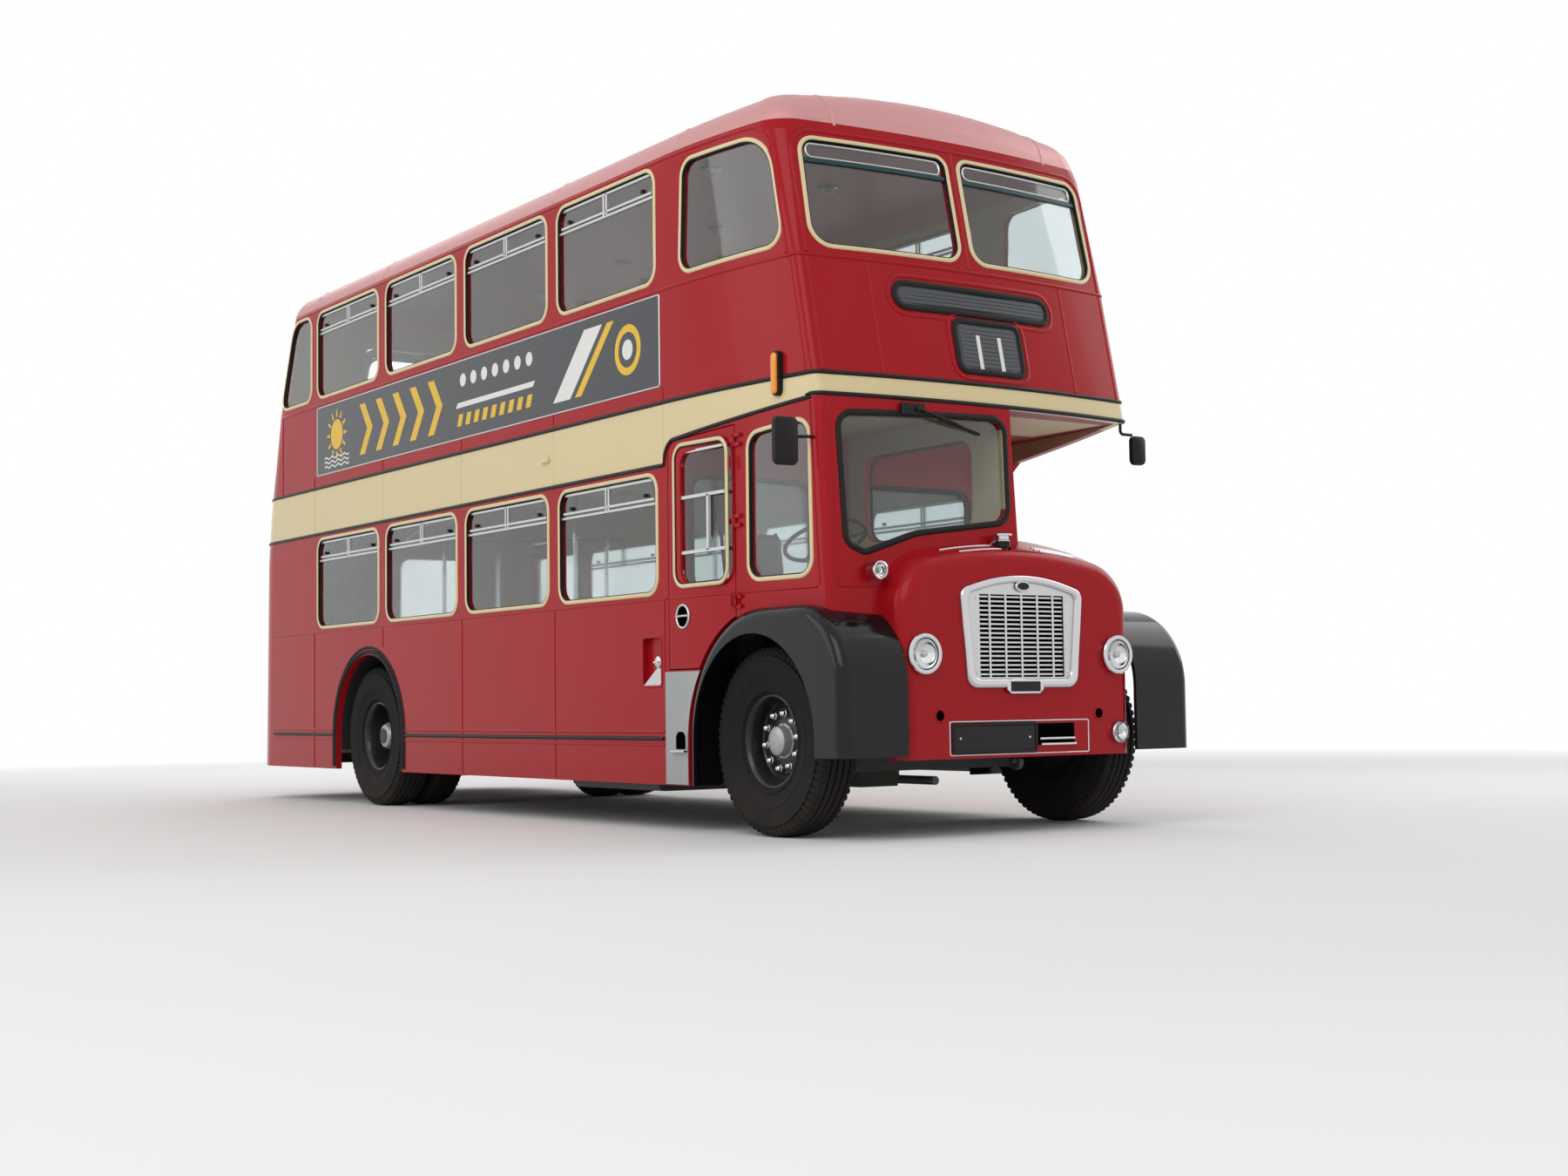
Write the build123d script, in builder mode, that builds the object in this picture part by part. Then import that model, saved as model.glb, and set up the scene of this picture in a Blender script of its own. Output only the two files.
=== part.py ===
"""Half-cab double-deck bus with a low floor, an enclosed rear platform and a folding door.

Millimetres. X is across the bus (nearside +X), Y runs from front (-Y) to rear (+Y), Z is up.
The origin is on the ground, under the middle of the bus.
"""

import os
from math import cos, radians, sin

from build123d import *

os.makedirs("parts", exist_ok=True)

# Overall body
half_width = 1219.0
rear_y = 4190.0
skirt_z = 260.0
roof_z = 4110.0
deck_z = 2310.0
cant_z = 3860.0
wall = 45.0
roof_camber_radius = 7000.0
roof_cove_radius = 230.0
inner_chamfer_share = 0.6

# Plan shape: side taper to the front corners, bowed front and rear, rounded rear corners
bulkhead_y = -2495.0
front_half_width = 1103.0
front_bow = 90.0
rear_bow = 50.0
rear_corner_radius = 450.0
rear_corner_turn = 84.0

# Height, front corner y, how far the rear has come forward, and the front corner's radius there
LEVELS = (
    (skirt_z, -3990.0, 0.0, 50.0),
    (1920.0, -3875.0, 40.0, 50.0),
    (deck_z, -3850.0, 100.0, 55.0),
    (3110.0, -3680.0, 300.0, 60.0),
    (3800.0, -3527.0, 593.0, 150.0),
    (roof_z + 190.0, -3416.0, 806.0, 600.0),
)
least_corner_radius = 8.0
front_joint_back = 60.0
rear_joint_back = 130.0

# Glass and windows
glass_thickness = 6.0
glass_set = 16.0
bay_pitch = 1310.0
bay_count = 4
window_length = 1144.0
window_radius = 90.0
lower_sill_z = 1358.0
lower_head_z = 2022.0
upper_sill_z = 3153.0
upper_head_z = 3800.0
front_pillar_half = 55.0
front_window_half = 1000.0

# Wheels and axles
wheelbase = 5080.0
front_axle_y = -3370.0
rear_axle_y = front_axle_y + wheelbase
tyre_radius = 510.0
tyre_width = 256.0
rim_radius = 262.0
hub_z = tyre_radius
front_wheel_x = 1000.0
rear_outer_x = 1040.0
twin_gap = 28.0
kingpin_x = 800.0
kingpin_radius = 20.0
pin_clearance = 0.3
arm_back = 180.0

# Chassis
rail_x = 470.0
rail_width = 70.0
rail_top_z = 380.0
rail_height = 90.0
front_rail_z = 560.0
front_rail_height = 130.0
front_rail_y = -4080.0
floor_thickness = 25.0
floor_top_z = rail_top_z + floor_thickness

# Cab, cowl and wings
cab_wall_x = 130.0
cab_wall = 35.0
cab_floor_z = 1060.0
cab_liner_x = half_width - wall - 6
cowl_half_width = 805.0
cowl_face_y = -4150.0
cowl_back_y = -3880.0
cowl_skin = 20.0
cowl_bottom_z = 410.0
cowl_top_z = 1600.0
cowl_drop = 100.0
cowl_edge_radius = 85.0
wing_outer_x = half_width + 6.0
wing_top_z = 1220.0
wing_skin = 22.0
wing_front_y = -4185.0
wing_rear_y = -2740.0
arch_radius = 575.0
rear_arch_radius = 600.0
wheel_box_x = 580.0
wheel_box_skin = 20.0
lid_gap = 6.0

# Doors
cab_door_front_y = -3195.0
cab_door_rear_y = -2540.0
cab_door_bottom_z = 905.0
cab_door_top_z = 2200.0
door_gap = 7.0
doorway_front_y = 2790.0
doorway_rear_y = 3670.0
doorway_top_z = 2150.0
leaf_thickness = 35.0
leaf_post_gap = 12.0
leaf_fold_gap = 10.0
nearside_end_y = 3650.0
emergency_half = 440.0
emergency_bottom_z = 3125.0
emergency_top_z = 3750.0

# Hinges: a pin between two fixed knuckles, and a moving knuckle around it
hinge_radius = 8.0
hinge_pin_radius = 4.0
hinge_fit = 0.05
hinge_moving_half = 14.0
hinge_end_gap = 1.0
hinge_fixed_length = 20.0
hinge_strap = 55.0
rake_out = (0.0, 0.9203, 0.3913)
rake_down = (0.0, 0.3913, -0.9203)
cab_door_axis = (-1203.0, -3191.5)
bonnet_axis = (139.0, 1610.0)
emergency_axis = (3630.2, 3750.4)
leaf_axis = (half_width - 8.0 - 17.5, doorway_front_y + 32.0)
fold_axis_x = half_width - 1.0
fold_radius = 6.0
leaf_pivot_radius = 8.0


def save(piece, name):
    """Labels one finished piece and writes it as its own file."""
    piece.part.label = name
    export_step(piece.part, f"parts/{name}.step")


def block(low, high, mode=Mode.ADD):
    """Adds a box between two corners to the open part."""
    middle = tuple((a + b) / 2 for a, b in zip(low, high))
    size = [b - a for a, b in zip(low, high)]
    with Locations(middle):
        Box(*size, mode=mode)


def outline(points, radius=0.0, mode=Mode.ADD):
    """Adds a closed outline with rounded corners to the open sketch."""
    with BuildLine() as border:
        if radius:
            FilletPolyline(*points, radius=radius, close=True)
        else:
            Polyline(*points, close=True)
    make_face(border.line, mode=mode)


def hinge_planes(origins, toward_moving, along):
    """Hinge frames: z along the pin, x towards the moving leaf, y out of the surface."""
    return [Plane(origin=origin, x_dir=toward_moving, z_dir=along) for origin in origins]


def fixed_knuckles(planes, depth, radius=hinge_radius):
    """Adds the pin, end knuckles and strap of each hinge to the open part that carries it."""
    middle = hinge_moving_half + hinge_end_gap + hinge_fixed_length / 2
    for plane in planes:
        with Locations(plane):
            Cylinder(hinge_pin_radius, 2 * middle)
            with Locations((0, 0, -middle), (0, 0, middle)):
                Cylinder(radius, hinge_fixed_length)
                with Locations((-(hinge_strap + radius) / 2, -depth / 2, 0)):
                    Box(hinge_strap, depth, hinge_fixed_length)


def moving_knuckles(planes, depth, radius=hinge_radius):
    """Adds the knuckle and strap that turn on each hinge's pin to the open moving part."""
    for plane in planes:
        with Locations(plane):
            Cylinder(radius, 2 * hinge_moving_half)
            with Locations((hinge_strap / 2, -depth / 2, 0)):
                Box(hinge_strap, depth, 2 * hinge_moving_half)
            Cylinder(hinge_pin_radius + hinge_fit, 4 * hinge_moving_half, mode=Mode.SUBTRACT)


cab_door_hinges = hinge_planes([(*cab_door_axis, z) for z in (1262.0, 1700.0, 2140.0)], (0, 1, 0), (0, 0, 1))
bonnet_hinges = hinge_planes([(bonnet_axis[0], y, bonnet_axis[1]) for y in (-3700.0, -2680.0)], (1, 0, 0), (0, -1, 0))
emergency_hinges = hinge_planes([(x, *emergency_axis) for x in (-300.0, 300.0)], rake_down, (1, 0, 0))


def level_at(z):
    """Front corner y and rear setback at a height, read between the body's levels."""
    for low, high in zip(LEVELS, LEVELS[1:]):
        if z <= high[0]:
            share = (z - low[0]) / (high[0] - low[0])
            return [a + (b - a) * share for a, b in zip(low[1:], high[1:])]
    return LEVELS[-1][1:]


def front_joint_y(z):
    """Where the front panels meet the side panels, just behind the front corner."""
    return level_at(z)[0] + front_joint_back


def rear_corner_y(z):
    """Where the rounded rear corner starts on the flat side."""
    return rear_y - level_at(z)[1] - rear_bow - rear_corner_radius


def rear_joint_y(z):
    """Where the rear panels meet the side panels, a little way round the rear corner."""
    return rear_corner_y(z) + rear_joint_back


def body_plan(corner_y, setback, inset):
    """The body's plan at one height as a closed wire of lines and arcs."""
    side = half_width - inset
    corner = front_half_width - inset
    front = corner_y + inset
    rear = rear_y - setback - inset
    turn_y = rear - rear_bow - rear_corner_radius
    with BuildLine() as plan:
        ThreePointArc((-corner, front), (0, front - front_bow), (corner, front))
        TangentArc((side, bulkhead_y), (corner, front), tangent=(0, -1))
        Line((side, bulkhead_y), (side, turn_y))
        right = JernArc((side, turn_y), (0, 1), rear_corner_radius, rear_corner_turn)
        left = JernArc((-side, turn_y), (0, 1), rear_corner_radius, -rear_corner_turn)
        ThreePointArc(right @ 1, (0, rear), left @ 1)
        Line((-side, turn_y), (-side, bulkhead_y))
        TangentArc((-side, bulkhead_y), (-corner, front), tangent=(0, -1))
    return plan.line


def envelope(inset, domed=True):
    """The whole body as one solid, drawn in by the inset, with or without its rounded roof."""
    with BuildPart() as body:
        for z, corner_y, setback, corner_radius in LEVELS:
            with BuildSketch(Plane.XY.offset(z)) as level:
                with BuildLine():
                    add(body_plan(corner_y, setback, inset))
                make_face()
                fillet(
                    level.vertices().filter_by(lambda point: point.Y < corner_y + inset + 1 and abs(point.X) > 500),
                    max(corner_radius - inset, least_corner_radius),
                )
        loft(ruled=True)
        if domed:
            camber = roof_camber_radius - inset
            with BuildSketch(Plane.XZ.offset(-rear_y)):
                with Locations((0, roof_z - inset - camber)):
                    Circle(camber)
            extrude(amount=2 * rear_y, mode=Mode.INTERSECT)
            eaves = body.faces().sort_by(Axis.Z)[-1].edges()
            if inset:
                chamfer(eaves, (roof_cove_radius - inset) * inner_chamfer_share)
            else:
                fillet(eaves, roof_cove_radius)
    return body.part


outer = envelope(0)
inner = envelope(wall)

# Window shapes, cut through the walls and filled by the glass
bay_middles = [bulkhead_y + bay_pitch * (bay + 0.5) for bay in range(bay_count)]
side_reach = 260.0

with BuildPart() as saloon_windows:
    for side in (-1, 1):
        side_plane = Plane.YZ.offset(min(side * 1000, side * (1000 + side_reach)))
        for sill, head in ((lower_sill_z, lower_head_z), (upper_sill_z, upper_head_z)):
            with BuildSketch(side_plane):
                for middle in bay_middles:
                    with Locations((middle, (sill + head) / 2)):
                        RectangleRounded(window_length, head - sill, window_radius)
            extrude(amount=side_reach)
        # Quarter windows at the front and rear of the upper deck, with one large corner radius each
        front_edge = level_at(upper_sill_z)[0] + 105
        with BuildSketch(side_plane):
            outline(
                (
                    (bulkhead_y - 205, upper_sill_z),
                    (front_edge, upper_sill_z + 10),
                    (front_edge + 130, upper_head_z - 30),
                    (bulkhead_y - 235, upper_head_z - 30),
                ),
                (window_radius, window_radius, 240.0, window_radius),
            )
        extrude(amount=side_reach)
        with BuildSketch(side_plane):
            outline(
                (
                    (bulkhead_y + bay_pitch * bay_count + 70, upper_sill_z),
                    (rear_corner_y(upper_sill_z) + 95, upper_sill_z),
                    (rear_corner_y(upper_head_z) + 95, upper_head_z),
                    (bulkhead_y + bay_pitch * bay_count + 70, upper_head_z),
                ),
                (window_radius, window_radius, 240.0, window_radius),
            )
        extrude(amount=side_reach)
    with BuildSketch(Plane.XZ.offset(3300)):
        for side in (-1, 1):
            outline(
                (
                    (side * front_pillar_half, upper_sill_z),
                    (side * front_window_half, upper_sill_z),
                    (side * (front_window_half - 15), 3745),
                    (side * front_pillar_half, 3745),
                ),
                (90.0, 110.0, 80.0, 60.0),
            )
    extrude(amount=900)
    # Fixed platform window in the lower rear
    with BuildSketch(Plane.XZ.offset(-rear_y)):
        with Locations((420, (lower_sill_z + lower_head_z) / 2)):
            RectangleRounded(600, lower_head_z - lower_sill_z, window_radius)
    extrude(amount=300)

with BuildPart() as cab_windows:
    with BuildSketch(Plane.XZ.offset(3600)):
        outline(
            ((-975, 1545), (-880, 1500), (-560, 1610), (60, 1690), (75, 2240), (-985, 2215)),
            (60.0, 60.0, 300.0, 90.0, 80.0, 80.0),
        )
    extrude(amount=600)
    with BuildSketch(Plane.YZ.offset(-1000 - side_reach)):
        outline(((-3315, 1385), (-3790, 1385), (-3770, 2190), (-3315, 2150)), 80.0)
    extrude(amount=side_reach)

door_window = ((-3165, 1385), (-2670, 1385), (-2670, 2120), (-3165, 2145))
with BuildPart() as cab_door_window:
    with BuildSketch(Plane.YZ.offset(-1000 - side_reach)):
        outline(door_window, 80.0)
    extrude(amount=side_reach)

with BuildPart() as blind_windows:
    with BuildSketch(Plane.XZ.offset(3300)):
        with Locations((0, 2905)):
            RectangleRounded(1100, 150, 70)
        with Locations((55, 2650)):
            RectangleRounded(470, 300, 50)
    extrude(amount=900)

with BuildPart() as shell:
    add(outer)
    add(inner, mode=Mode.SUBTRACT)
    add(saloon_windows.part, mode=Mode.SUBTRACT)
    add(cab_windows.part, mode=Mode.SUBTRACT)
    add(blind_windows.part, mode=Mode.SUBTRACT)

with BuildPart() as glass_film:
    add(envelope(glass_set, domed=False))
    add(envelope(glass_set + glass_thickness, domed=False), mode=Mode.SUBTRACT)


def side_wing_line(inset):
    """Side outline of a front wing, closed along the bottom."""
    rear = wing_rear_y - inset
    front = wing_front_y + inset
    top = wing_top_z - inset
    back_radius = 700.0 - inset
    nose_radius = 430.0 - inset
    with BuildLine() as line:
        Polyline(
            (front, top - nose_radius), (front, 430), (front, 200), (rear, 200), (rear, top - back_radius)
        )
        RadiusArc((rear, top - back_radius), (rear - back_radius, top), -back_radius)
        Line((rear - back_radius, top), (front + nose_radius, top))
        RadiusArc((front + nose_radius, top), (front, top - nose_radius), -nose_radius)
    return line.line


def wing_prism(low_x, high_x, inset=0.0):
    """A front wing's side outline carried across from one x to another."""
    with BuildPart() as prism:
        with BuildSketch(Plane.YZ.offset(low_x)):
            with BuildLine():
                add(side_wing_line(inset))
            make_face()
        extrude(amount=high_x - low_x)
    return prism.part


def side_zone(x_low, x_high, points, radius=0.0):
    """A side outline in y and z, carried across the bus, for cutting panels apart."""
    with BuildPart() as zone:
        with BuildSketch(Plane.YZ.offset(x_low)):
            outline(points, radius)
        extrude(amount=x_high - x_low)
    return zone.part


far = 6000.0
front_line = [(front_joint_y(z), z) for z in (deck_z, 3110.0, cant_z)]
rear_line = [(rear_joint_y(z), z) for z in (deck_z, 3110.0, cant_z)]
lower_rear_line = [(rear_joint_y(z), z) for z in (skirt_z, 1920.0, deck_z)]
cab_front_line = [(front_joint_y(z), z) for z in (cab_floor_z, 1920.0, deck_z)]

# Roof, with two low ventilators
with BuildPart() as roof:
    add(shell.part)
    block((-far, -far, cant_z), (far, far, far), mode=Mode.INTERSECT)
    for vent_y in (-1500.0, 1400.0):
        with BuildSketch(Plane.XY.offset(roof_z - 60)):
            with Locations((-480, vent_y)):
                RectangleRounded(300, 420, 60)
        extrude(amount=75)
    add(inner, mode=Mode.SUBTRACT)
save(roof, "roof")

# Upper deck panels
with BuildPart() as upper_front:
    add(shell.part)
    add(
        side_zone(-far, far, [(-far, deck_z), *front_line, (-far, cant_z)]),
        mode=Mode.INTERSECT,
    )
save(upper_front, "upper_front")

with BuildPart() as emergency_opening:
    with BuildSketch(Plane.XZ.offset(-rear_y)):
        outline(
            (
                (-emergency_half, emergency_bottom_z),
                (emergency_half, emergency_bottom_z),
                (emergency_half, emergency_top_z),
                (-emergency_half, emergency_top_z),
            ),
            70.0,
        )
    extrude(amount=1200)

with BuildPart() as upper_rear:
    add(shell.part)
    add(
        side_zone(-far, far, [(far, deck_z), *rear_line, (far, cant_z)]),
        mode=Mode.INTERSECT,
    )
    add(emergency_opening.part, mode=Mode.SUBTRACT)
    fixed_knuckles(emergency_hinges, 26.0)
save(upper_rear, "upper_rear")

for side, side_name in ((-1, "offside"), (1, "nearside")):
    with BuildPart() as upper_side:
        add(shell.part)
        add(
            side_zone(min(0, side * far), max(0, side * far), [*front_line, *reversed(rear_line)]),
            mode=Mode.INTERSECT,
        )
    save(upper_side, f"upper_side_{side_name}")

# Upper rear emergency window: a framed pane hinged along its top edge
with BuildPart() as emergency_frame_block:
    with BuildSketch(Plane.XZ.offset(-rear_y)):
        outline(
            (
                (-emergency_half + door_gap, emergency_bottom_z + door_gap),
                (emergency_half - door_gap, emergency_bottom_z + door_gap),
                (emergency_half - door_gap, emergency_top_z - door_gap),
                (-emergency_half + door_gap, emergency_top_z - door_gap),
            ),
            70.0 - door_gap,
        )
    extrude(amount=1200)
emergency_border = 65.0
with BuildPart() as emergency_pane_block:
    with BuildSketch(Plane.XZ.offset(-rear_y)):
        with Locations((0, (emergency_bottom_z + emergency_top_z) / 2)):
            RectangleRounded(
                2 * (emergency_half - emergency_border),
                emergency_top_z - emergency_bottom_z - 2 * emergency_border,
                60,
            )
    extrude(amount=1200)
with BuildPart() as upper_emergency_window:
    add(shell.part)
    add(emergency_frame_block.part, mode=Mode.INTERSECT)
    add(emergency_pane_block.part, mode=Mode.SUBTRACT)
    moving_knuckles(emergency_hinges, 30.0)
save(upper_emergency_window, "upper_emergency_window")
with BuildPart() as upper_emergency_glass:
    add(glass_film.part)
    add(emergency_pane_block.part, mode=Mode.INTERSECT)
save(upper_emergency_glass, "upper_emergency_glass")

# Lower saloon
with BuildPart() as rear_arches:
    for side in (-1, 1):
        with BuildSketch(Plane.YZ.offset(min(side * wheel_box_x, side * far))):
            with Locations((rear_axle_y, hub_z)):
                Circle(rear_arch_radius)
            with Locations((rear_axle_y, hub_z - 250)):
                Rectangle(2 * rear_arch_radius, 500)
        extrude(amount=far - wheel_box_x)

filler_recess_depth = 33.0
filler_recess = ((-2460, 815), (-2250, 815), (-2250, 1100), (-2460, 1100))
with BuildPart() as lower_side_offside:
    add(shell.part)
    add(
        side_zone(-far, 0, [(bulkhead_y, deck_z), (bulkhead_y, skirt_z), *lower_rear_line]),
        mode=Mode.INTERSECT,
    )
    add(rear_arches.part, mode=Mode.SUBTRACT)
    # Recess in front of the fuel filler
    add(
        side_zone(-far, -half_width + filler_recess_depth, filler_recess, 25.0),
        mode=Mode.SUBTRACT,
    )
save(lower_side_offside, "lower_side_offside")

valance = [(bulkhead_y, deck_z), (front_joint_y(deck_z), deck_z), (-2800, 2195), (-2640, 2075), (bulkhead_y, 2040)]
with BuildPart() as lower_side_nearside:
    add(shell.part)
    add(
        side_zone(
            0,
            far,
            [
                (bulkhead_y, deck_z), (bulkhead_y, skirt_z),
                (nearside_end_y, skirt_z), (nearside_end_y, deck_z),
            ],
        ),
        mode=Mode.INTERSECT,
    )
    add(rear_arches.part, mode=Mode.SUBTRACT)
    block(
        (1000, doorway_front_y, floor_top_z - floor_thickness),
        (far, doorway_rear_y, doorway_top_z),
        mode=Mode.SUBTRACT,
    )
    # Sockets for the front leaf's pivots
    with Locations((*leaf_axis, doorway_top_z), (*leaf_axis, floor_top_z - floor_thickness)):
        Cylinder(leaf_pivot_radius + hinge_fit, 50, mode=Mode.SUBTRACT)
save(lower_side_nearside, "lower_side_nearside")

# Nearside panels past the straight side: canopy valance, the foot behind the wing, rear door post
with BuildPart() as lower_ends_nearside:
    add(shell.part)
    with BuildSketch(Plane.YZ):
        outline(valance)
        outline(((bulkhead_y, 900), (wing_rear_y, 900), (wing_rear_y, skirt_z), (bulkhead_y, skirt_z)))
        outline(((nearside_end_y, deck_z), (nearside_end_y, skirt_z), *lower_rear_line))
    extrude(amount=far, mode=Mode.INTERSECT)
    block(
        (1000, doorway_front_y, floor_top_z - floor_thickness),
        (far, doorway_rear_y, doorway_top_z),
        mode=Mode.SUBTRACT,
    )
save(lower_ends_nearside, "lower_ends_nearside")

with BuildPart() as lower_rear:
    add(shell.part)
    add(
        side_zone(-far, far, [(far, deck_z), (far, skirt_z), *lower_rear_line]),
        mode=Mode.INTERSECT,
    )
save(lower_rear, "lower_rear")

with BuildPart() as lower_floor:
    add(inner)
    block((-far, bulkhead_y, rail_top_z), (far, far, floor_top_z), mode=Mode.INTERSECT)
    add(rear_arches.part, mode=Mode.SUBTRACT)
save(lower_floor, "lower_floor")

# Wheel boxes over the rear twins, standing on the floor
with BuildPart() as wheel_boxes:
    for side in (-1, 1):
        wall_in = side * (wheel_box_x - wheel_box_skin)
        wall_out = side * (half_width - wall)
        with BuildSketch(Plane.YZ.offset(min(wall_in, wall_out))):
            with Locations((rear_axle_y, hub_z)):
                Circle(rear_arch_radius + wheel_box_skin)
            with Locations((rear_axle_y, 0)):
                Rectangle(far, 2 * floor_top_z, mode=Mode.SUBTRACT)
        extrude(amount=abs(wall_out - wall_in))
    add(rear_arches.part, mode=Mode.SUBTRACT)
save(wheel_boxes, "wheel_boxes")

bulkhead_window_length = 850.0
with BuildPart() as lower_bulkhead:
    block(
        (-half_width + wall, bulkhead_y, floor_top_z),
        (half_width - wall, bulkhead_y + wall, deck_z),
    )
    with BuildSketch(Plane.XZ.offset(-bulkhead_y)):
        for side in (-1, 1):
            with Locations((side * 610, 1690)):
                RectangleRounded(bulkhead_window_length, lower_head_z - lower_sill_z, window_radius)
    extrude(amount=-wall, mode=Mode.SUBTRACT)
save(lower_bulkhead, "lower_bulkhead")

stair_x = -600.0
stairwell_front_y = 2360.0
with BuildPart() as upper_floor:
    add(inner)
    block((-far, -far, deck_z), (far, far, deck_z + 30), mode=Mode.INTERSECT)
    block((-1165, stairwell_front_y, deck_z), (stair_x, 3560, deck_z + 30), mode=Mode.SUBTRACT)
save(upper_floor, "upper_floor")

# Staircase: three steps across the rear corner, then a straight flight going forward
flight_steps = 6
corner_steps = 3
riser = (deck_z - floor_top_z) / (flight_steps + corner_steps)
going = 190.0
flight_rear_y = stairwell_front_y + flight_steps * going
with BuildPart() as staircase:
    steps = [(flight_rear_y, floor_top_z + corner_steps * riser)]
    for step in range(flight_steps):
        z = floor_top_z + (corner_steps + step + 1) * riser
        y = flight_rear_y - step * going
        steps += [(y, z), (y - going, z)]
    steps[-1] = (steps[-1][0], deck_z)
    steps += [(stairwell_front_y, deck_z - 60), (flight_rear_y, floor_top_z + corner_steps * riser - 60)]
    with BuildSketch(Plane.YZ.offset(-half_width + wall)):
        outline(steps)
    extrude(amount=stair_x + half_width - wall)
    corner_edges = (-290.0, -500.0, -710.0, -half_width)
    for step in range(corner_steps):
        block(
            (corner_edges[step + 1], flight_rear_y, floor_top_z),
            (corner_edges[step], far, floor_top_z + (step + 1) * riser),
        )
    add(inner, mode=Mode.INTERSECT)
save(staircase, "staircase")

# Fixed glass
with BuildPart() as body_glass:
    add(glass_film.part)
    with BuildPart(mode=Mode.PRIVATE) as openings:
        add(saloon_windows.part)
        add(cab_windows.part)
    add(openings.part, mode=Mode.INTERSECT)
    with BuildSketch(Plane.XZ.offset(-bulkhead_y - 20)):
        for side in (-1, 1):
            with Locations((side * 610, 1690)):
                RectangleRounded(bulkhead_window_length, lower_head_z - lower_sill_z, window_radius)
    extrude(amount=-glass_thickness)
save(body_glass, "body_glass")

# Destination and number boxes fill their holes in the upper front
with BuildPart() as destination_boxes:
    add(envelope(-5, domed=False))
    add(envelope(wall, domed=False), mode=Mode.SUBTRACT)
    add(blind_windows.part, mode=Mode.INTERSECT)
save(destination_boxes, "destination_boxes")

# Cab
with BuildPart() as cab_front:
    add(shell.part)
    add(
        side_zone(-far, cab_wall_x, [(-far, cab_floor_z), *cab_front_line, (-far, deck_z)]),
        mode=Mode.INTERSECT,
    )
    add(wing_prism(-wing_outer_x, -cowl_half_width), mode=Mode.SUBTRACT)
save(cab_front, "cab_front")

cab_door_line = [
    (cab_door_front_y, cab_door_bottom_z),
    (cab_door_rear_y, cab_door_bottom_z),
    (cab_door_rear_y, cab_door_top_z),
    (cab_door_front_y, cab_door_top_z + 30),
]
with BuildPart() as cab_side:
    add(shell.part)
    add(
        side_zone(
            -far,
            0,
            [(bulkhead_y, skirt_z), *[(front_joint_y(z), z) for z in (skirt_z, 1920.0, deck_z)], (bulkhead_y, deck_z)],
        ),
        mode=Mode.INTERSECT,
    )
    add(wing_prism(-half_width - 50, -cowl_half_width), mode=Mode.SUBTRACT)
    add(side_zone(-far, 0, cab_door_line, (1.0, 1.0, 90.0, 1.0)), mode=Mode.SUBTRACT)
    fixed_knuckles(cab_door_hinges, 22.0)
save(cab_side, "cab_side")

door_clear = [
    (cab_door_front_y + door_gap, cab_door_bottom_z + door_gap),
    (cab_door_rear_y - door_gap, cab_door_bottom_z + door_gap),
    (cab_door_rear_y - door_gap, cab_door_top_z - door_gap),
    (cab_door_front_y + door_gap, cab_door_top_z + 30 - door_gap),
]
with BuildPart() as cab_door:
    add(shell.part)
    add(side_zone(-far, 0, door_clear, (1.0, 1.0, 90.0 - door_gap, 1.0)), mode=Mode.INTERSECT)
    add(wing_prism(-half_width - 50, -cowl_half_width, inset=-12.0), mode=Mode.SUBTRACT)
    add(cab_door_window.part, mode=Mode.SUBTRACT)
    moving_knuckles(cab_door_hinges, 22.0)
save(cab_door, "cab_door")
with BuildPart() as cab_door_glass:
    add(glass_film.part)
    add(cab_door_window.part, mode=Mode.INTERSECT)
save(cab_door_glass, "cab_door_glass")

with BuildPart() as cab_inner_side:
    add(inner)
    block((cab_wall_x - cab_wall, -far, cab_floor_z), (cab_wall_x, bulkhead_y, deck_z), mode=Mode.INTERSECT)
    with BuildSketch(Plane.YZ.offset(cab_wall_x)):
        outline(((-3650, 1660), (-2650, 1660), (-2650, 2180), (-3650, 2180)), 110.0)
    extrude(amount=-cab_wall, mode=Mode.SUBTRACT)
    fixed_knuckles(bonnet_hinges, 22.0)
save(cab_inner_side, "cab_inner_side")

with BuildPart() as cab_floor:
    block((-800, -3850, cab_floor_z), (cab_wall_x - cab_wall, bulkhead_y, cab_floor_z + 25))
    block((-cab_liner_x, wing_rear_y, 860), (-600, bulkhead_y, 885))
    block((-640, wing_rear_y, 885), (-600, bulkhead_y, cab_floor_z))
save(cab_floor, "cab_floor")


def cowl_outline(top, inset):
    """Front outline of the cowl and bonnet, with a crowned top, on the XZ plane."""
    side = cowl_half_width - inset
    crown = top - inset
    with BuildLine() as line:
        Polyline((-side, crown - 340), (-side, cowl_bottom_z), (side, cowl_bottom_z), (side, crown - 340))
        TangentArc((side, crown - 340), (side - 250, crown - 55), tangent=(0, 1))
        ThreePointArc((side - 250, crown - 55), (0, crown), (-side + 250, crown - 55))
        TangentArc((-side, crown - 340), (-side + 250, crown - 55), tangent=(0, 1))
    return line.line


def cowl_solid(inset):
    """The cowl as a solid from its face back to the bonnet lid, lower at the face."""
    with BuildPart() as solid:
        for y, top in ((cowl_face_y + inset, cowl_top_z - cowl_drop), (cowl_back_y, cowl_top_z)):
            with BuildSketch(Plane.XZ.offset(-y)):
                with BuildLine():
                    add(cowl_outline(top, inset))
                make_face()
        loft(ruled=True)
        rim = solid.faces().sort_by(Axis.Y)[0].edges().filter_by(lambda edge: edge.center().Z > cowl_bottom_z + 5)
        if inset:
            chamfer(rim, (cowl_edge_radius - inset) * inner_chamfer_share)
        else:
            fillet(rim, cowl_edge_radius)
    return solid.part


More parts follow.
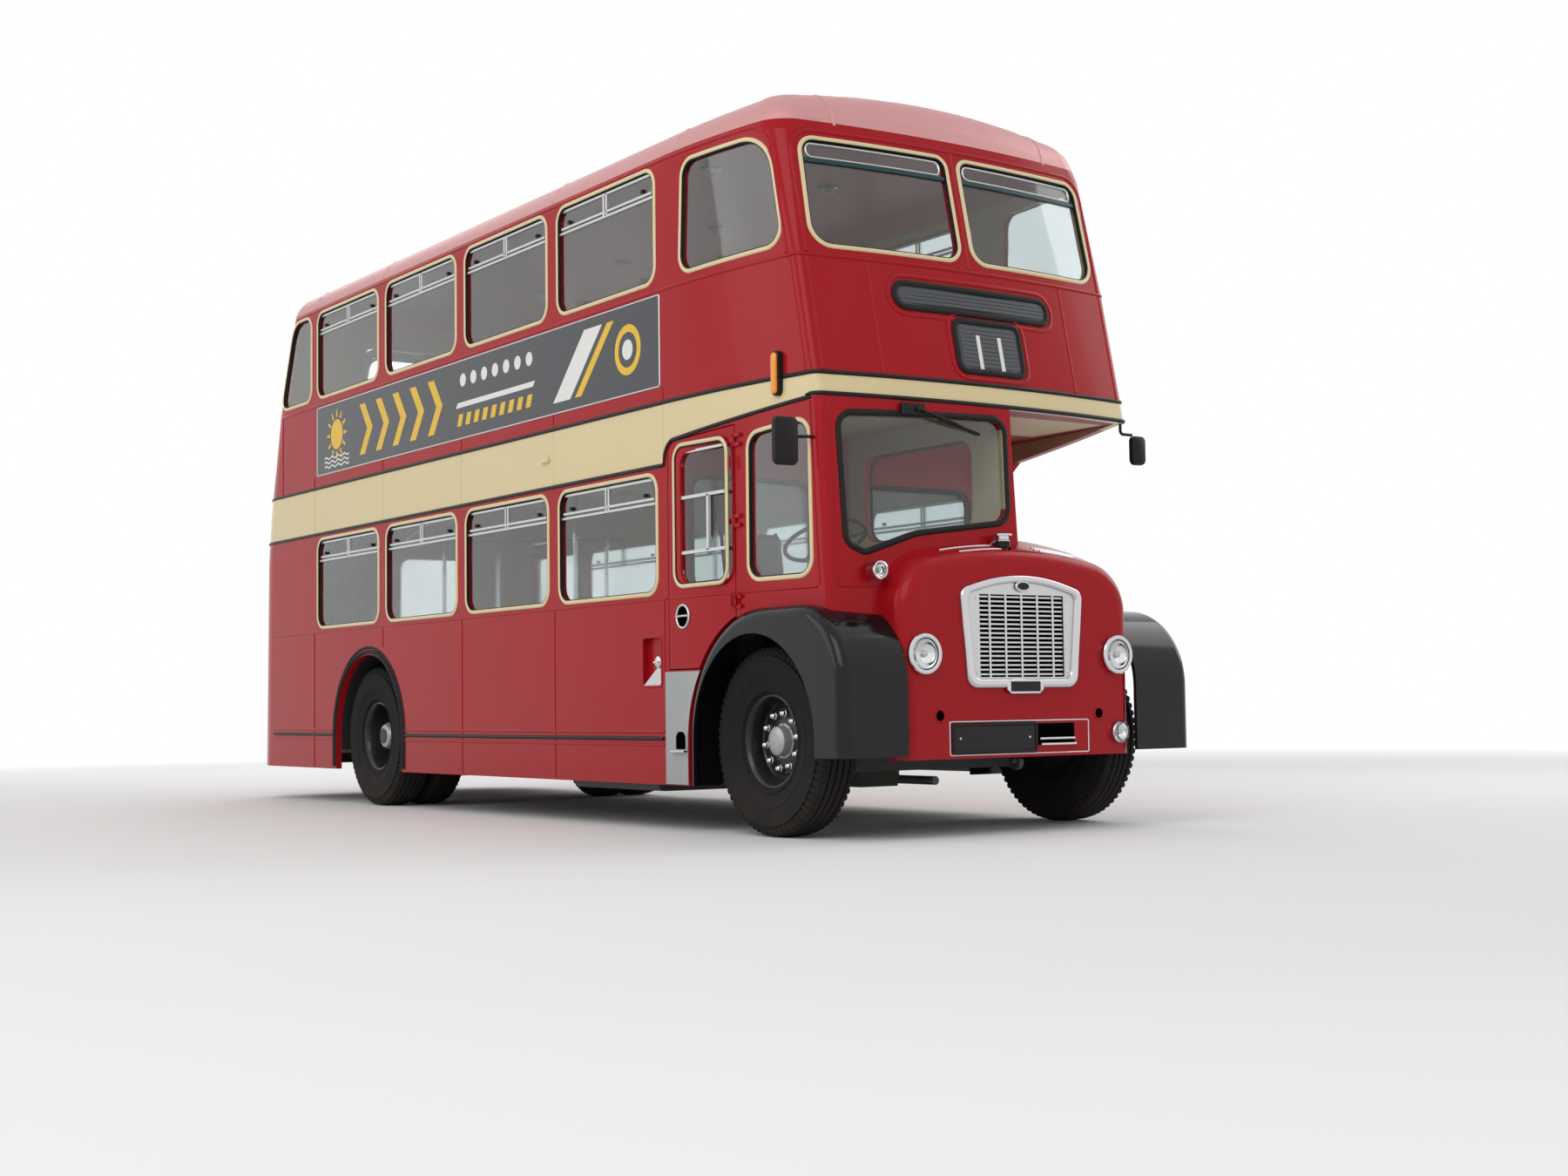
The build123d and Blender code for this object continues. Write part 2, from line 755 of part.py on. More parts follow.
grille_line = ((-360, 800), (360, 800), (405, 1290), (0, 1365), (-405, 1290))
with BuildPart() as front_cowl:
    add(cowl_solid(0))
    add(cowl_solid(cowl_skin), mode=Mode.SUBTRACT)
    block((-700, cowl_face_y + cowl_skin, 0), (700, far, cowl_bottom_z + 1), mode=Mode.SUBTRACT)
    with BuildPart(mode=Mode.PRIVATE) as cab_block:
        add(outer)
        block((-far, -far, 0), (cab_wall_x + lid_gap, 0, far), mode=Mode.INTERSECT)
    add(cab_block.part, mode=Mode.SUBTRACT)
    with BuildSketch(Plane.XZ.offset(-cowl_face_y - cowl_skin - 1)):
        outline(grille_line, (60.0, 60.0, 60.0, 200.0, 60.0))
        with Locations((-570, 635), (550, 635)):
            Circle(28)
    extrude(amount=60, mode=Mode.SUBTRACT)
    # Room for the steered tyres
    for side in (-1, 1):
        low, high = sorted((side * 600, side * 900))
        block((low, front_axle_y - 615, 0), (high, 0, 1045), mode=Mode.SUBTRACT)
    with BuildSketch(Plane.XY.offset(cowl_top_z - 300)):
        with Locations((-40, cowl_face_y + 95)):
            Circle(48)
    extrude(amount=400, mode=Mode.SUBTRACT)
save(front_cowl, "front_cowl")

# Grille: a surround, upright bars and level slats behind them
slat_count = 22
bar_count = 5
with BuildPart() as radiator_grille:
    with BuildSketch(Plane.XZ.offset(-cowl_face_y)):
        outline(((-385, 775), (385, 775), (432, 1300), (0, 1385), (-432, 1300)), (70.0, 70.0, 70.0, 220.0, 70.0))
        outline(
            ((-335, 825), (335, 825), (378, 1275), (0, 1340), (-378, 1275)),
            (45.0, 45.0, 45.0, 180.0, 45.0),
            mode=Mode.SUBTRACT,
        )
    extrude(amount=24)
    for bar in range(bar_count):
        bar_x = -335 + 670 * (bar + 1) / (bar_count + 1)
        block((bar_x - 8, cowl_face_y - 14, 815), (bar_x + 8, cowl_face_y, 1300))
    for slat in range(slat_count):
        slat_z = 840 + (1270 - 840) * slat / (slat_count - 1)
        reach = 340 + (slat_z - 825) * 0.09
        block((-reach, cowl_face_y, slat_z - 5), (reach, cowl_face_y + 16, slat_z + 5))
save(radiator_grille, "radiator_grille")

with BuildPart() as radiator:
    block((-400, -4112, 700), (380, -4032, 1380))
    for x in (-300.0, 280.0):
        block((x - 25, front_rail_y, front_rail_z + 90), (x + 25, front_rail_y + 40, 700))
    with Locations((-40, cowl_face_y + 95, 1445)):
        Cylinder(32, 190)
    with Locations((-40, cowl_face_y + 95, 1550)):
        Cylinder(44, 30)
save(radiator, "radiator")

# Lamps on the front, the cab and the rear
with BuildPart() as lamps:
    for x, z, radius, depth in (
        (-680, 955, 108, 38),
        (680, 955, 108, 38),
        (690, 530, 62, 38),
    ):
        with BuildSketch(Plane.XZ.offset(-cowl_face_y)):
            with Locations((x, z)):
                Circle(radius)
        extrude(amount=depth)
    rims = lamps.faces().filter_by(Axis.Y).group_by(Axis.Y)[0].edges()
    chamfer(rims, 14)
    with BuildSketch(Plane.XZ.offset(3700)):
        with Locations((-860, 1390)):
            Circle(50)
    extrude(amount=275)
    for side in (-1, 1):
        with BuildSketch(Plane.XZ.offset(-rear_y + 6)):
            with Locations((side * 640, 620), (side * 640, 740)):
                Circle(48)
        extrude(amount=200)
        with BuildSketch(Plane.YZ.offset(min(side * 1100, side * 1195))):
            with Locations((-3560, 2455)):
                SlotOverall(240, 60, rotation=90)
        extrude(amount=95)
    add(outer, mode=Mode.SUBTRACT)
save(lamps, "lamps")

# Front wings
for side, side_name in ((-1, "offside"), (1, "nearside")):
    low_x, high_x = sorted((side * cowl_half_width, side * wing_outer_x))
    with BuildPart() as front_wing:
        add(wing_prism(low_x, high_x))
        outer_rim = front_wing.faces().sort_by(Axis.X)[0 if side < 0 else -1].edges()
        fillet(outer_rim.filter_by(lambda edge: edge.center().Z > 300), 60.0)
        inside_low, inside_high = sorted((side * (cowl_half_width - 1), side * (wing_outer_x - wing_skin)))
        add(wing_prism(inside_low, inside_high, inset=wing_skin), mode=Mode.SUBTRACT)
        block((-far, -far, 0), (far, front_axle_y, 430), mode=Mode.SUBTRACT)
        block((-far, -far, 0), (far, 0, skirt_z), mode=Mode.SUBTRACT)
        with BuildSketch(Plane.YZ.offset(min(0, side * far))):
            with Locations((front_axle_y, hub_z)):
                Circle(arch_radius)
            with Locations((front_axle_y, hub_z - 250)):
                Rectangle(2 * arch_radius, 500)
        extrude(amount=far, mode=Mode.SUBTRACT)
        if side > 0:
            block((cowl_half_width - 20, cowl_back_y, 1045), (cowl_half_width, bulkhead_y, wing_top_z + 6))
            block((cowl_half_width, wing_rear_y, 878), (cab_liner_x, bulkhead_y, 900))
            block((cowl_half_width - 20, wing_rear_y, 878), (cowl_half_width, bulkhead_y, 1045))
    save(front_wing, f"front_wing_{side_name}")

with BuildPart() as bonnet_lid:
    for inset, mode in ((0, Mode.ADD), (cowl_skin, Mode.SUBTRACT)):
        with BuildSketch(Plane.XZ.offset(-cowl_back_y - lid_gap)):
            with BuildLine():
                add(cowl_outline(cowl_top_z, inset))
            make_face()
        extrude(amount=-(bulkhead_y - cowl_back_y - 2 * lid_gap), mode=mode)
    block(
        (cab_wall_x + lid_gap, -far, wing_top_z + 2 * lid_gap),
        (far, 0, far),
        mode=Mode.INTERSECT,
    )
    moving_knuckles(bonnet_hinges, 22.0)
save(bonnet_lid, "bonnet_lid")

# Chassis
rail_bottom = rail_top_z - rail_height
rail_line = (
    (front_rail_y, front_rail_z),
    (-2750, front_rail_z),
    (-2480, rail_bottom),
    (3900, rail_bottom),
    (3900, rail_top_z),
    (-2510, rail_top_z),
    (-2700, front_rail_z + front_rail_height),
    (front_rail_y, front_rail_z + front_rail_height),
)
with BuildPart() as chassis_frame:
    for side in (-1, 1):
        with BuildSketch(Plane.YZ.offset(side * rail_x - rail_width / 2)):
            outline(rail_line)
        extrude(amount=rail_width)
    for y in (-1185.0, 125.0, 2745.0, 3600.0):
        block((-half_width + wall, y - 30, rail_bottom + 5), (half_width - wall, y + 30, rail_top_z - 5))
    block((-rail_x, front_rail_y, front_rail_z), (rail_x, front_rail_y + 60, front_rail_z + 90))
save(chassis_frame, "chassis_frame")

with BuildPart() as towing_eye:
    with BuildSketch(Plane.YZ.offset(-15)):
        outline(((-4120, 350), (-4050, 350), (-4020, front_rail_z), (-4080, front_rail_z)), 10.0)
        with Locations((-4090, 380)):
            Circle(40)
        with Locations((-4090, 380)):
            Circle(20, mode=Mode.SUBTRACT)
    extrude(amount=30)
save(towing_eye, "towing_eye")

with BuildPart() as engine:
    block((-330, -3940, 480), (420, -2620, 1040))
    block((140, -3800, 1040), (400, -2700, 1340))
save(engine, "engine")

with BuildPart() as driveline:
    block((60, -2620, 205), (340, -2500, 640))
    block((60, -2500, 205), (340, -2000, 370))
    with BuildSketch(Plane.XZ.offset(2000)):
        with Locations((200, 245)):
            Circle(40)
    extrude(amount=-(2000 + rear_axle_y - 110))
save(driveline, "driveline")

with BuildPart() as fuel_tank:
    with BuildSketch(Plane.XZ.offset(1300)):
        outline(((-1150, 215), (-560, 215), (-560, rail_top_z), (-1150, rail_top_z)), 45.0)
    extrude(amount=1000)
save(fuel_tank, "fuel_tank")

exhaust_x = 650.0
exhaust_z = 226.0
with BuildPart() as exhaust:
    with BuildLine():
        FilletPolyline((exhaust_x, -2600, exhaust_z), (exhaust_x, 850, exhaust_z), (1165, 850, exhaust_z), radius=150)
    with BuildSketch(Plane.XZ.offset(2600)):
        with Locations((exhaust_x, exhaust_z)):
            Circle(27)
    sweep()
    with BuildSketch(Plane.XZ.offset(1000)):
        with Locations((exhaust_x, exhaust_z + 20)):
            Circle(80)
    extrude(amount=-900)
    block((rail_x + rail_width / 2, -2240, exhaust_z), (exhaust_x, -2200, rail_bottom + 20))
save(exhaust, "exhaust")

# Front axle: dropped beam with kingpin eyes, and leaf springs on its pads
beam_z = 380.0
with BuildPart() as front_axle:
    with BuildSketch(Plane.XZ.offset(-front_axle_y - 45)):
        outline(
            (
                (-kingpin_x - 30, hub_z - 45), (-kingpin_x + 60, hub_z - 45), (-600, beam_z - 50), (600, beam_z - 50),
                (kingpin_x - 60, hub_z - 45), (kingpin_x + 30, hub_z - 45), (kingpin_x + 30, hub_z + 45),
                (kingpin_x - 80, hub_z + 45), (560, beam_z + 50), (-560, beam_z + 50),
                (-kingpin_x + 80, hub_z + 45), (-kingpin_x - 30, hub_z + 45),
            )
        )
    extrude(amount=90)
    for side in (-1, 1):
        with Locations((side * kingpin_x, front_axle_y, hub_z)):
            Cylinder(46, 90)
            Cylinder(kingpin_radius + pin_clearance, 200, mode=Mode.SUBTRACT)
        with BuildSketch(Plane.YZ.offset(side * rail_x - 35)):
            outline(
                (
                    (front_axle_y - 620, front_rail_z), (front_axle_y - 620, front_rail_z - 50),
                    (front_axle_y - 45, beam_z + 50), (front_axle_y + 45, beam_z + 50),
                    (front_axle_y + 620, front_rail_z - 50), (front_axle_y + 620, front_rail_z),
                    (front_axle_y + 560, front_rail_z), (front_axle_y + 540, front_rail_z - 30),
                    (front_axle_y + 60, beam_z + 105), (front_axle_y - 60, beam_z + 105),
                    (front_axle_y - 540, front_rail_z - 30), (front_axle_y - 560, front_rail_z),
                )
            )
        extrude(amount=70)
save(front_axle, "front_axle")

# Rear axle: low centre beam under the floor, with legs up to the hubs
rear_stub_radius = 55.0
with BuildPart() as rear_axle:
    block((-620, rear_axle_y - 60, 200), (620, rear_axle_y + 60, 280))
    block((120, rear_axle_y - 110, 190), (400, rear_axle_y + 110, 365))
    for side in (-1, 1):
        low, high = sorted((side * 584, side * 622))
        block((low, rear_axle_y - 75, 200), (high, rear_axle_y + 75, hub_z + 75))
        with BuildSketch(Plane.YZ.offset(min(side * 600, side * (rear_outer_x + 60)))):
            with Locations((rear_axle_y, hub_z)):
                Circle(rear_stub_radius)
        extrude(amount=rear_outer_x + 60 - 600)
        spring_in = side * (rail_x + rail_width / 2)
        with BuildSketch(Plane.YZ.offset(min(spring_in, spring_in + side * 50))):
            outline(
                (
                    (rear_axle_y - 600, 345), (rear_axle_y - 600, 305), (rear_axle_y - 60, 280),
                    (rear_axle_y + 60, 280), (rear_axle_y + 600, 305), (rear_axle_y + 600, 345),
                    (rear_axle_y + 60, 335), (rear_axle_y - 60, 335),
                )
            )
        extrude(amount=50)
save(rear_axle, "rear_axle")

# Knuckles, each with a kingpin, a stub axle and a steering arm
stub_radius = 40.0
for side, side_name in ((-1, "offside"), (1, "nearside")):
    x = side * kingpin_x
    with BuildPart() as knuckle:
        for z_low in (hub_z - 82, hub_z + 50):
            low, high = sorted((x - side * 40, x + side * 75))
            block((low, front_axle_y - 40, z_low), (high, front_axle_y + 40, z_low + 32))
        low, high = sorted((x + side * 53, x + side * 75))
        block((low, front_axle_y - 60, hub_z - 82), (high, front_axle_y + 60, hub_z + 82))
        with Locations((x, front_axle_y, hub_z)):
            Cylinder(kingpin_radius, 160)
        with BuildSketch(Plane.YZ.offset(min(x + side * 60, side * (front_wheel_x + 60)))):
            with Locations((front_axle_y, hub_z)):
                Circle(stub_radius)
        extrude(amount=front_wheel_x + 60 - kingpin_x - 60)
        with BuildSketch(Plane.XY.offset(hub_z - 108)):
            outline(
                (
                    (x + side * 40, front_axle_y - 40), (x - side * 40, front_axle_y - 40),
                    (x - side * 28, front_axle_y + arm_back + 25), (x + side * 28, front_axle_y + arm_back + 25),
                )
            )
            with Locations((x, front_axle_y + arm_back)):
                Circle(15 + pin_clearance, mode=Mode.SUBTRACT)
        extrude(amount=26)
    save(knuckle, f"knuckle_{side_name}")

with BuildPart() as track_rod:
    rod_z = hub_z - 108 - 28
    with BuildSketch(Plane.YZ.offset(-kingpin_x)):
        with Locations((front_axle_y + arm_back, rod_z)):
            Circle(18)
    extrude(amount=2 * kingpin_x)
    for side in (-1, 1):
        with Locations((side * kingpin_x, front_axle_y + arm_back, rod_z)):
            Cylinder(24, 46)
        with Locations((side * kingpin_x, front_axle_y + arm_back, rod_z + 35)):
            Cylinder(15, 40)
save(track_rod, "track_rod")

# Road wheels: one revolved section each, with ten stud caps on the front wheels
half_tyre = tyre_width / 2


def ring_section(points, x_middle, side, axle_y):
    """A solid of revolution about the axle line through one hub."""
    hub_plane = Plane(origin=(side * x_middle, axle_y, hub_z), x_dir=(side, 0, 0), z_dir=(0, -side, 0))
    with BuildPart() as ring:
        with BuildSketch(hub_plane):
            outline(points)
        revolve(axis=Axis((side * x_middle, axle_y, hub_z), (1, 0, 0)))
    return ring.part


disc_x = 10.0
front_section = (
    (-95, stub_radius + pin_clearance), (75, stub_radius + pin_clearance), (75, 62), (30, 62), (30, 95),
    (disc_x, 95), (disc_x, 215), (88, 240), (88, rim_radius), (-88, rim_radius), (-88, 200), (-95, 200),
)
tyre_section = (
    (-half_tyre, rim_radius), (half_tyre, rim_radius), (half_tyre, tyre_radius - 22),
    (half_tyre - 22, tyre_radius), (-half_tyre, tyre_radius),
)
inner_tyre_section = (
    (-half_tyre + 10, rim_radius), (half_tyre - 10, rim_radius),
    (half_tyre - 10, tyre_radius), (-half_tyre + 10, tyre_radius),
)
rear_inner_x = rear_outer_x - tyre_width - twin_gap
rear_section = (
    (-tyre_width - twin_gap - 80, rear_stub_radius + pin_clearance), (60, rear_stub_radius + pin_clearance),
    (60, 105), (-130, 105), (-130, rim_radius - 14), (88, rim_radius - 14), (88, rim_radius),
    (-tyre_width - twin_gap - 88, rim_radius), (-tyre_width - twin_gap - 88, 200),
    (-tyre_width - twin_gap - 80, 200),
)
for side, side_name in ((-1, "offside"), (1, "nearside")):
    with BuildPart() as front_wheel:
        add(ring_section(front_section, front_wheel_x, side, front_axle_y))
        stud_face = Plane(
            origin=(side * (front_wheel_x + disc_x), front_axle_y, hub_z), x_dir=(0, 1, 0), z_dir=(side, 0, 0)
        )
        with BuildSketch(stud_face):
            with PolarLocations(150, 10):
                RegularPolygon(16, 6)
        extrude(amount=40)
    save(front_wheel, f"front_wheel_{side_name}")
    with BuildPart() as front_tyre:
        add(ring_section(tyre_section, front_wheel_x, side, front_axle_y))
    save(front_tyre, f"front_tyre_{side_name}")
    with BuildPart() as rear_wheels:
        add(ring_section(rear_section, rear_outer_x, side, rear_axle_y))
    save(rear_wheels, f"rear_wheels_{side_name}")
    with BuildPart() as rear_tyres:
        add(ring_section(tyre_section, rear_outer_x, side, rear_axle_y))
        add(ring_section(inner_tyre_section, rear_inner_x, side, rear_axle_y))
    save(rear_tyres, f"rear_tyres_{side_name}")

# Driver's place
wheel_lean = 25.0
steering_centre = (-690.0, -3330.0, 1600.0)
column_dir = (0.0, sin(radians(wheel_lean)), cos(radians(wheel_lean)))
column_length = 500.0
hub_shaft_radius = 10.0
column_foot = [c - d * column_length for c, d in zip(steering_centre, column_dir)]
with BuildPart() as steering_column:
    with BuildSketch(Plane(origin=column_foot, z_dir=column_dir)):
        Circle(24)
    extrude(amount=column_length - 30)
    with BuildSketch(Plane(origin=column_foot, z_dir=column_dir)):
        Circle(hub_shaft_radius)
    extrude(amount=column_length + 8)
    block((-720, column_foot[1] - 60, cab_floor_z + 25), (-660, column_foot[1] + 60, column_foot[2] + 60))
save(steering_column, "steering_column")
with BuildPart() as steering_wheel:
    wheel_plane = Plane(origin=steering_centre, z_dir=column_dir)
    with BuildSketch(wheel_plane.offset(-12)):
        Circle(240)
        Circle(216, mode=Mode.SUBTRACT)
        with PolarLocations(0, 3, start_angle=90):
            with Locations((110, 0)):
                Rectangle(220, 22)
    extrude(amount=24)
    with BuildSketch(wheel_plane.offset(-29)):
        Circle(34)
    extrude(amount=41)
    with BuildSketch(wheel_plane.offset(-29)):
        Circle(hub_shaft_radius + hinge_fit)
    extrude(amount=38, mode=Mode.SUBTRACT)
save(steering_wheel, "steering_wheel")
with BuildPart() as driver_seat:
    with BuildSketch(Plane.YZ.offset(-930)):
        outline(((-3070, 1235), (-2680, 1235), (-2600, 1720), (-2680, 1720), (-2740, 1340), (-3070, 1340)), 30.0)
    extrude(amount=440)
    block((-790, -2950, cab_floor_z + 25), (-600, -2760, 1235))
save(driver_seat, "driver_seat")

# Passenger seats: an L-shaped cushion and back in one, on two legs, with a grab rail on top
seat_height = 330.0
seat_outer_x = 1155.0
seat_inner_x = 330.0
lower_rows = [-1650.0 + 750 * row for row in range(4)]
upper_rows = [-2950.0 + 750 * row for row in range(8)]
seat_places = [(y, floor_top_z, side) for y in lower_rows for side in (-1, 1)]
seat_places += [
    (y, deck_z + 30, side)
    for y in upper_rows
    for side in (-1, 1)
    if not (side < 0 and y + 90 > stairwell_front_y)
]


def seat_line(y, base):
    """Side outline of a seat whose back stands at y, on a deck at the base height."""
    return (
        (y - 430, base + seat_height), (y + 30, base + seat_height), (y + 90, base + seat_height + 560),
        (y + 20, base + seat_height + 560), (y - 20, base + seat_height + 110), (y - 430, base + seat_height + 110),
    )


with BuildPart() as seat_cushions:
    for y, base, side in seat_places:
        low_x = min(side * seat_inner_x, side * seat_outer_x)
        if base > deck_z and y < bulkhead_y - 200:
            low_x += 60 if side < 0 else 0
        with BuildSketch(Plane.YZ.offset(low_x)):
            outline(seat_line(y, base))
        shorter = 60 if base > deck_z and y < bulkhead_y - 200 else 0
        extrude(amount=seat_outer_x - seat_inner_x - shorter)
save(seat_cushions, "seat_cushions")
with BuildPart() as seat_frames:
    for y, base, side in seat_places:
        for x in (side * (seat_inner_x + 40), side * (seat_outer_x - 160)):
            block((x - 15, y - 330, base), (x + 15, y - 40, base + seat_height))
        top = base + seat_height + 560
        x = side * (seat_inner_x + 120)
        block((x - 90, y + 45, top), (x - 70, y + 65, top + 70))
        block((x + 70, y + 45, top), (x + 90, y + 65, top + 70))
        block((x - 90, y + 45, top + 50), (x + 90, y + 65, top + 70))
save(seat_frames, "seat_frames")

# Mirrors on arms at both front corners
with BuildPart() as mirrors:
    with BuildSketch(Plane.XZ.offset(3800)):
        with Locations((-1290, 2060)):
            RectangleRounded(150, 250, 40)
    extrude(amount=35)
    block((-1290, -3830, 2120), (-1080, -3812, 2138))
    add(outer, mode=Mode.SUBTRACT)
    with BuildSketch(Plane.XZ.offset(3800)):
        with Locations((1225, 2160)):
            RectangleRounded(110, 170, 35)
    extrude(amount=30)
    block((1080, -3825, 2240), (1235, -3807, 2258))
    block((1080, -3825, 2240), (1098, -3807, deck_z))
save(mirrors, "mirrors")

# Folding platform door: two leaves joined edge to edge
leaf_face_x = half_width - 8.0
leaf_length = (doorway_rear_y - doorway_front_y - 2 * leaf_post_gap - leaf_fold_gap) / 2
fold_axis_y = doorway_front_y + leaf_post_gap + leaf_length + leaf_fold_gap / 2
fold_hinges = hinge_planes(
    [(fold_axis_x, fold_axis_y, z) for z in (600.0, 1250.0, 1980.0)], (0, 1, 0), (0, 0, -1)
)
for index, leaf_name in ((0, "front"), (1, "rear")):
    leaf_low_y = doorway_front_y + leaf_post_gap + index * (leaf_length + leaf_fold_gap)
    with BuildPart() as leaf:
        block(
            (leaf_face_x - leaf_thickness, leaf_low_y, floor_top_z + 8),
            (leaf_face_x, leaf_low_y + leaf_length, doorway_top_z - 8),
        )
        with BuildSketch(Plane.YZ.offset(leaf_face_x)):
            with Locations((leaf_low_y + leaf_length / 2, 1500)):
                RectangleRounded(leaf_length - 140, 1040, 60)
        extrude(amount=-leaf_thickness, mode=Mode.SUBTRACT)
        if index == 0:
            with Locations((*leaf_axis, doorway_top_z), (*leaf_axis, floor_top_z - floor_thickness)):
                Cylinder(leaf_pivot_radius, 40)
            with Locations((*leaf_axis, doorway_top_z - 15), (*leaf_axis, floor_top_z)):
                Cylinder(leaf_pivot_radius, 40)
            fixed_knuckles(fold_hinges, 12.0, fold_radius)
        else:
            moving_knuckles(fold_hinges, 12.0, fold_radius)
    save(leaf, f"platform_leaf_{leaf_name}")
    with BuildPart() as leaf_glass:
        with BuildSketch(Plane.YZ.offset(leaf_face_x - 15)):
            with Locations((leaf_low_y + leaf_length / 2, 1500)):
                RectangleRounded(leaf_length - 140, 1040, 60)
        extrude(amount=-glass_thickness)
    save(leaf_glass, f"platform_leaf_glass_{leaf_name}")
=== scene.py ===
"""Looks for a half-cab double-deck bus in red with a cream band.

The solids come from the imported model. This script dresses them: it paints every panel, and adds
window trims, beads, lamps, tyres with tread, padded seats and the cab's fittings, all in metres.
"""

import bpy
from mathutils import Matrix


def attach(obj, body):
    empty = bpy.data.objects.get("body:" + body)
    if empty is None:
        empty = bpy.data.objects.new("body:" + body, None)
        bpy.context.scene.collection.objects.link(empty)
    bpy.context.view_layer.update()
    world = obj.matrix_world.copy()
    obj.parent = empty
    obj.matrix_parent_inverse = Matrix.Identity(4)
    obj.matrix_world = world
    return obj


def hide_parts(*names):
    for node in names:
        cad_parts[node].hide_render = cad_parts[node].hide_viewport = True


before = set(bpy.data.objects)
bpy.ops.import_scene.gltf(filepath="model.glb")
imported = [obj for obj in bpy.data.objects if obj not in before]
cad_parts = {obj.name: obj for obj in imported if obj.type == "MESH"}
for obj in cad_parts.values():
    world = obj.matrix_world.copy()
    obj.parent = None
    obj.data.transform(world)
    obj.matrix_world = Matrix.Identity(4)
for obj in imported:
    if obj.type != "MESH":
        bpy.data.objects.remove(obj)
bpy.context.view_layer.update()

import logging
import math
from collections.abc import Callable, Iterable, Sequence
from dataclasses import dataclass, field
from enum import Enum
from functools import cache, partial

import bmesh
import bpy
from bpy.types import Material, Node, NodeSocket, NodeTree
from mathutils import Matrix, Vector
from mathutils.bvhtree import BVHTree

LOG = logging.getLogger("bus")
Point2 = tuple[float, float]
Colour = tuple[float, float, float]
OFF_AND_NEAR = (("offside", -1), ("nearside", 1))


@dataclass(frozen=True)
class BodyLines:
    """Heights and stations of the coachwork that several sub-assemblies share, in metres."""

    bulkhead_y: float = -2.495
    bay_pitch: float = 1.31
    bay_count: int = 4
    window_length: float = 1.144
    window_radius: float = 0.09
    lower_window: Point2 = (1.358, 2.022)
    upper_window: Point2 = (3.153, 3.8)
    band_low: float = 2.075
    band_high: float = 2.435
    step_y: float = -2.505
    step_length: float = 0.11
    step_rise: float = 0.135
    slope_length: float = 1.24
    slope_rise: float = 0.10
    canopy_bead: float = 2.32
    rub_rail: float = 0.52
    waist_bead: float = 3.085
    front_axle_y: float = -3.37
    rear_axle_y: float = 1.71
    axle_z: float = 0.51
    levels: tuple[Point2, ...] = ((0.26, -3.99), (1.92, -3.875), (2.31, -3.85), (3.11, -3.68),
                                  (3.8, -3.527), (4.3, -3.416))

    def corner_y(self, z: float) -> float:
        """Station of the front corners at a height.

        Args:
            z: Height.

        Returns:
            The station, read between the body's levels.
        """
        for (low, first), (high, second) in zip(self.levels, self.levels[1:]):
            if z <= high:
                return first + (second - first) * (z - low) / (high - low)
        return self.levels[-1][1]

    def pillars(self) -> list[float]:
        """Stations of the body pillars, front to rear."""
        return [self.bulkhead_y + self.bay_pitch * bay for bay in range(self.bay_count + 1)]

    def band_edge(self, y: float) -> float:
        """Height of the cream band's lower edge at a station on the side.

        Args:
            y: Station along the bus.

        Returns:
            The height, level along the saloon and stepping up over the cab door.
        """
        step = min(1.0, max(0.0, (self.step_y - y) / self.step_length))
        slope = min(1.0, max(0.0, (self.step_y - self.step_length - y) / self.slope_length))
        return self.band_low + self.step_rise * math.sqrt(1.0 - (1.0 - step) ** 2) + self.slope_rise * slope


LINES = BodyLines()


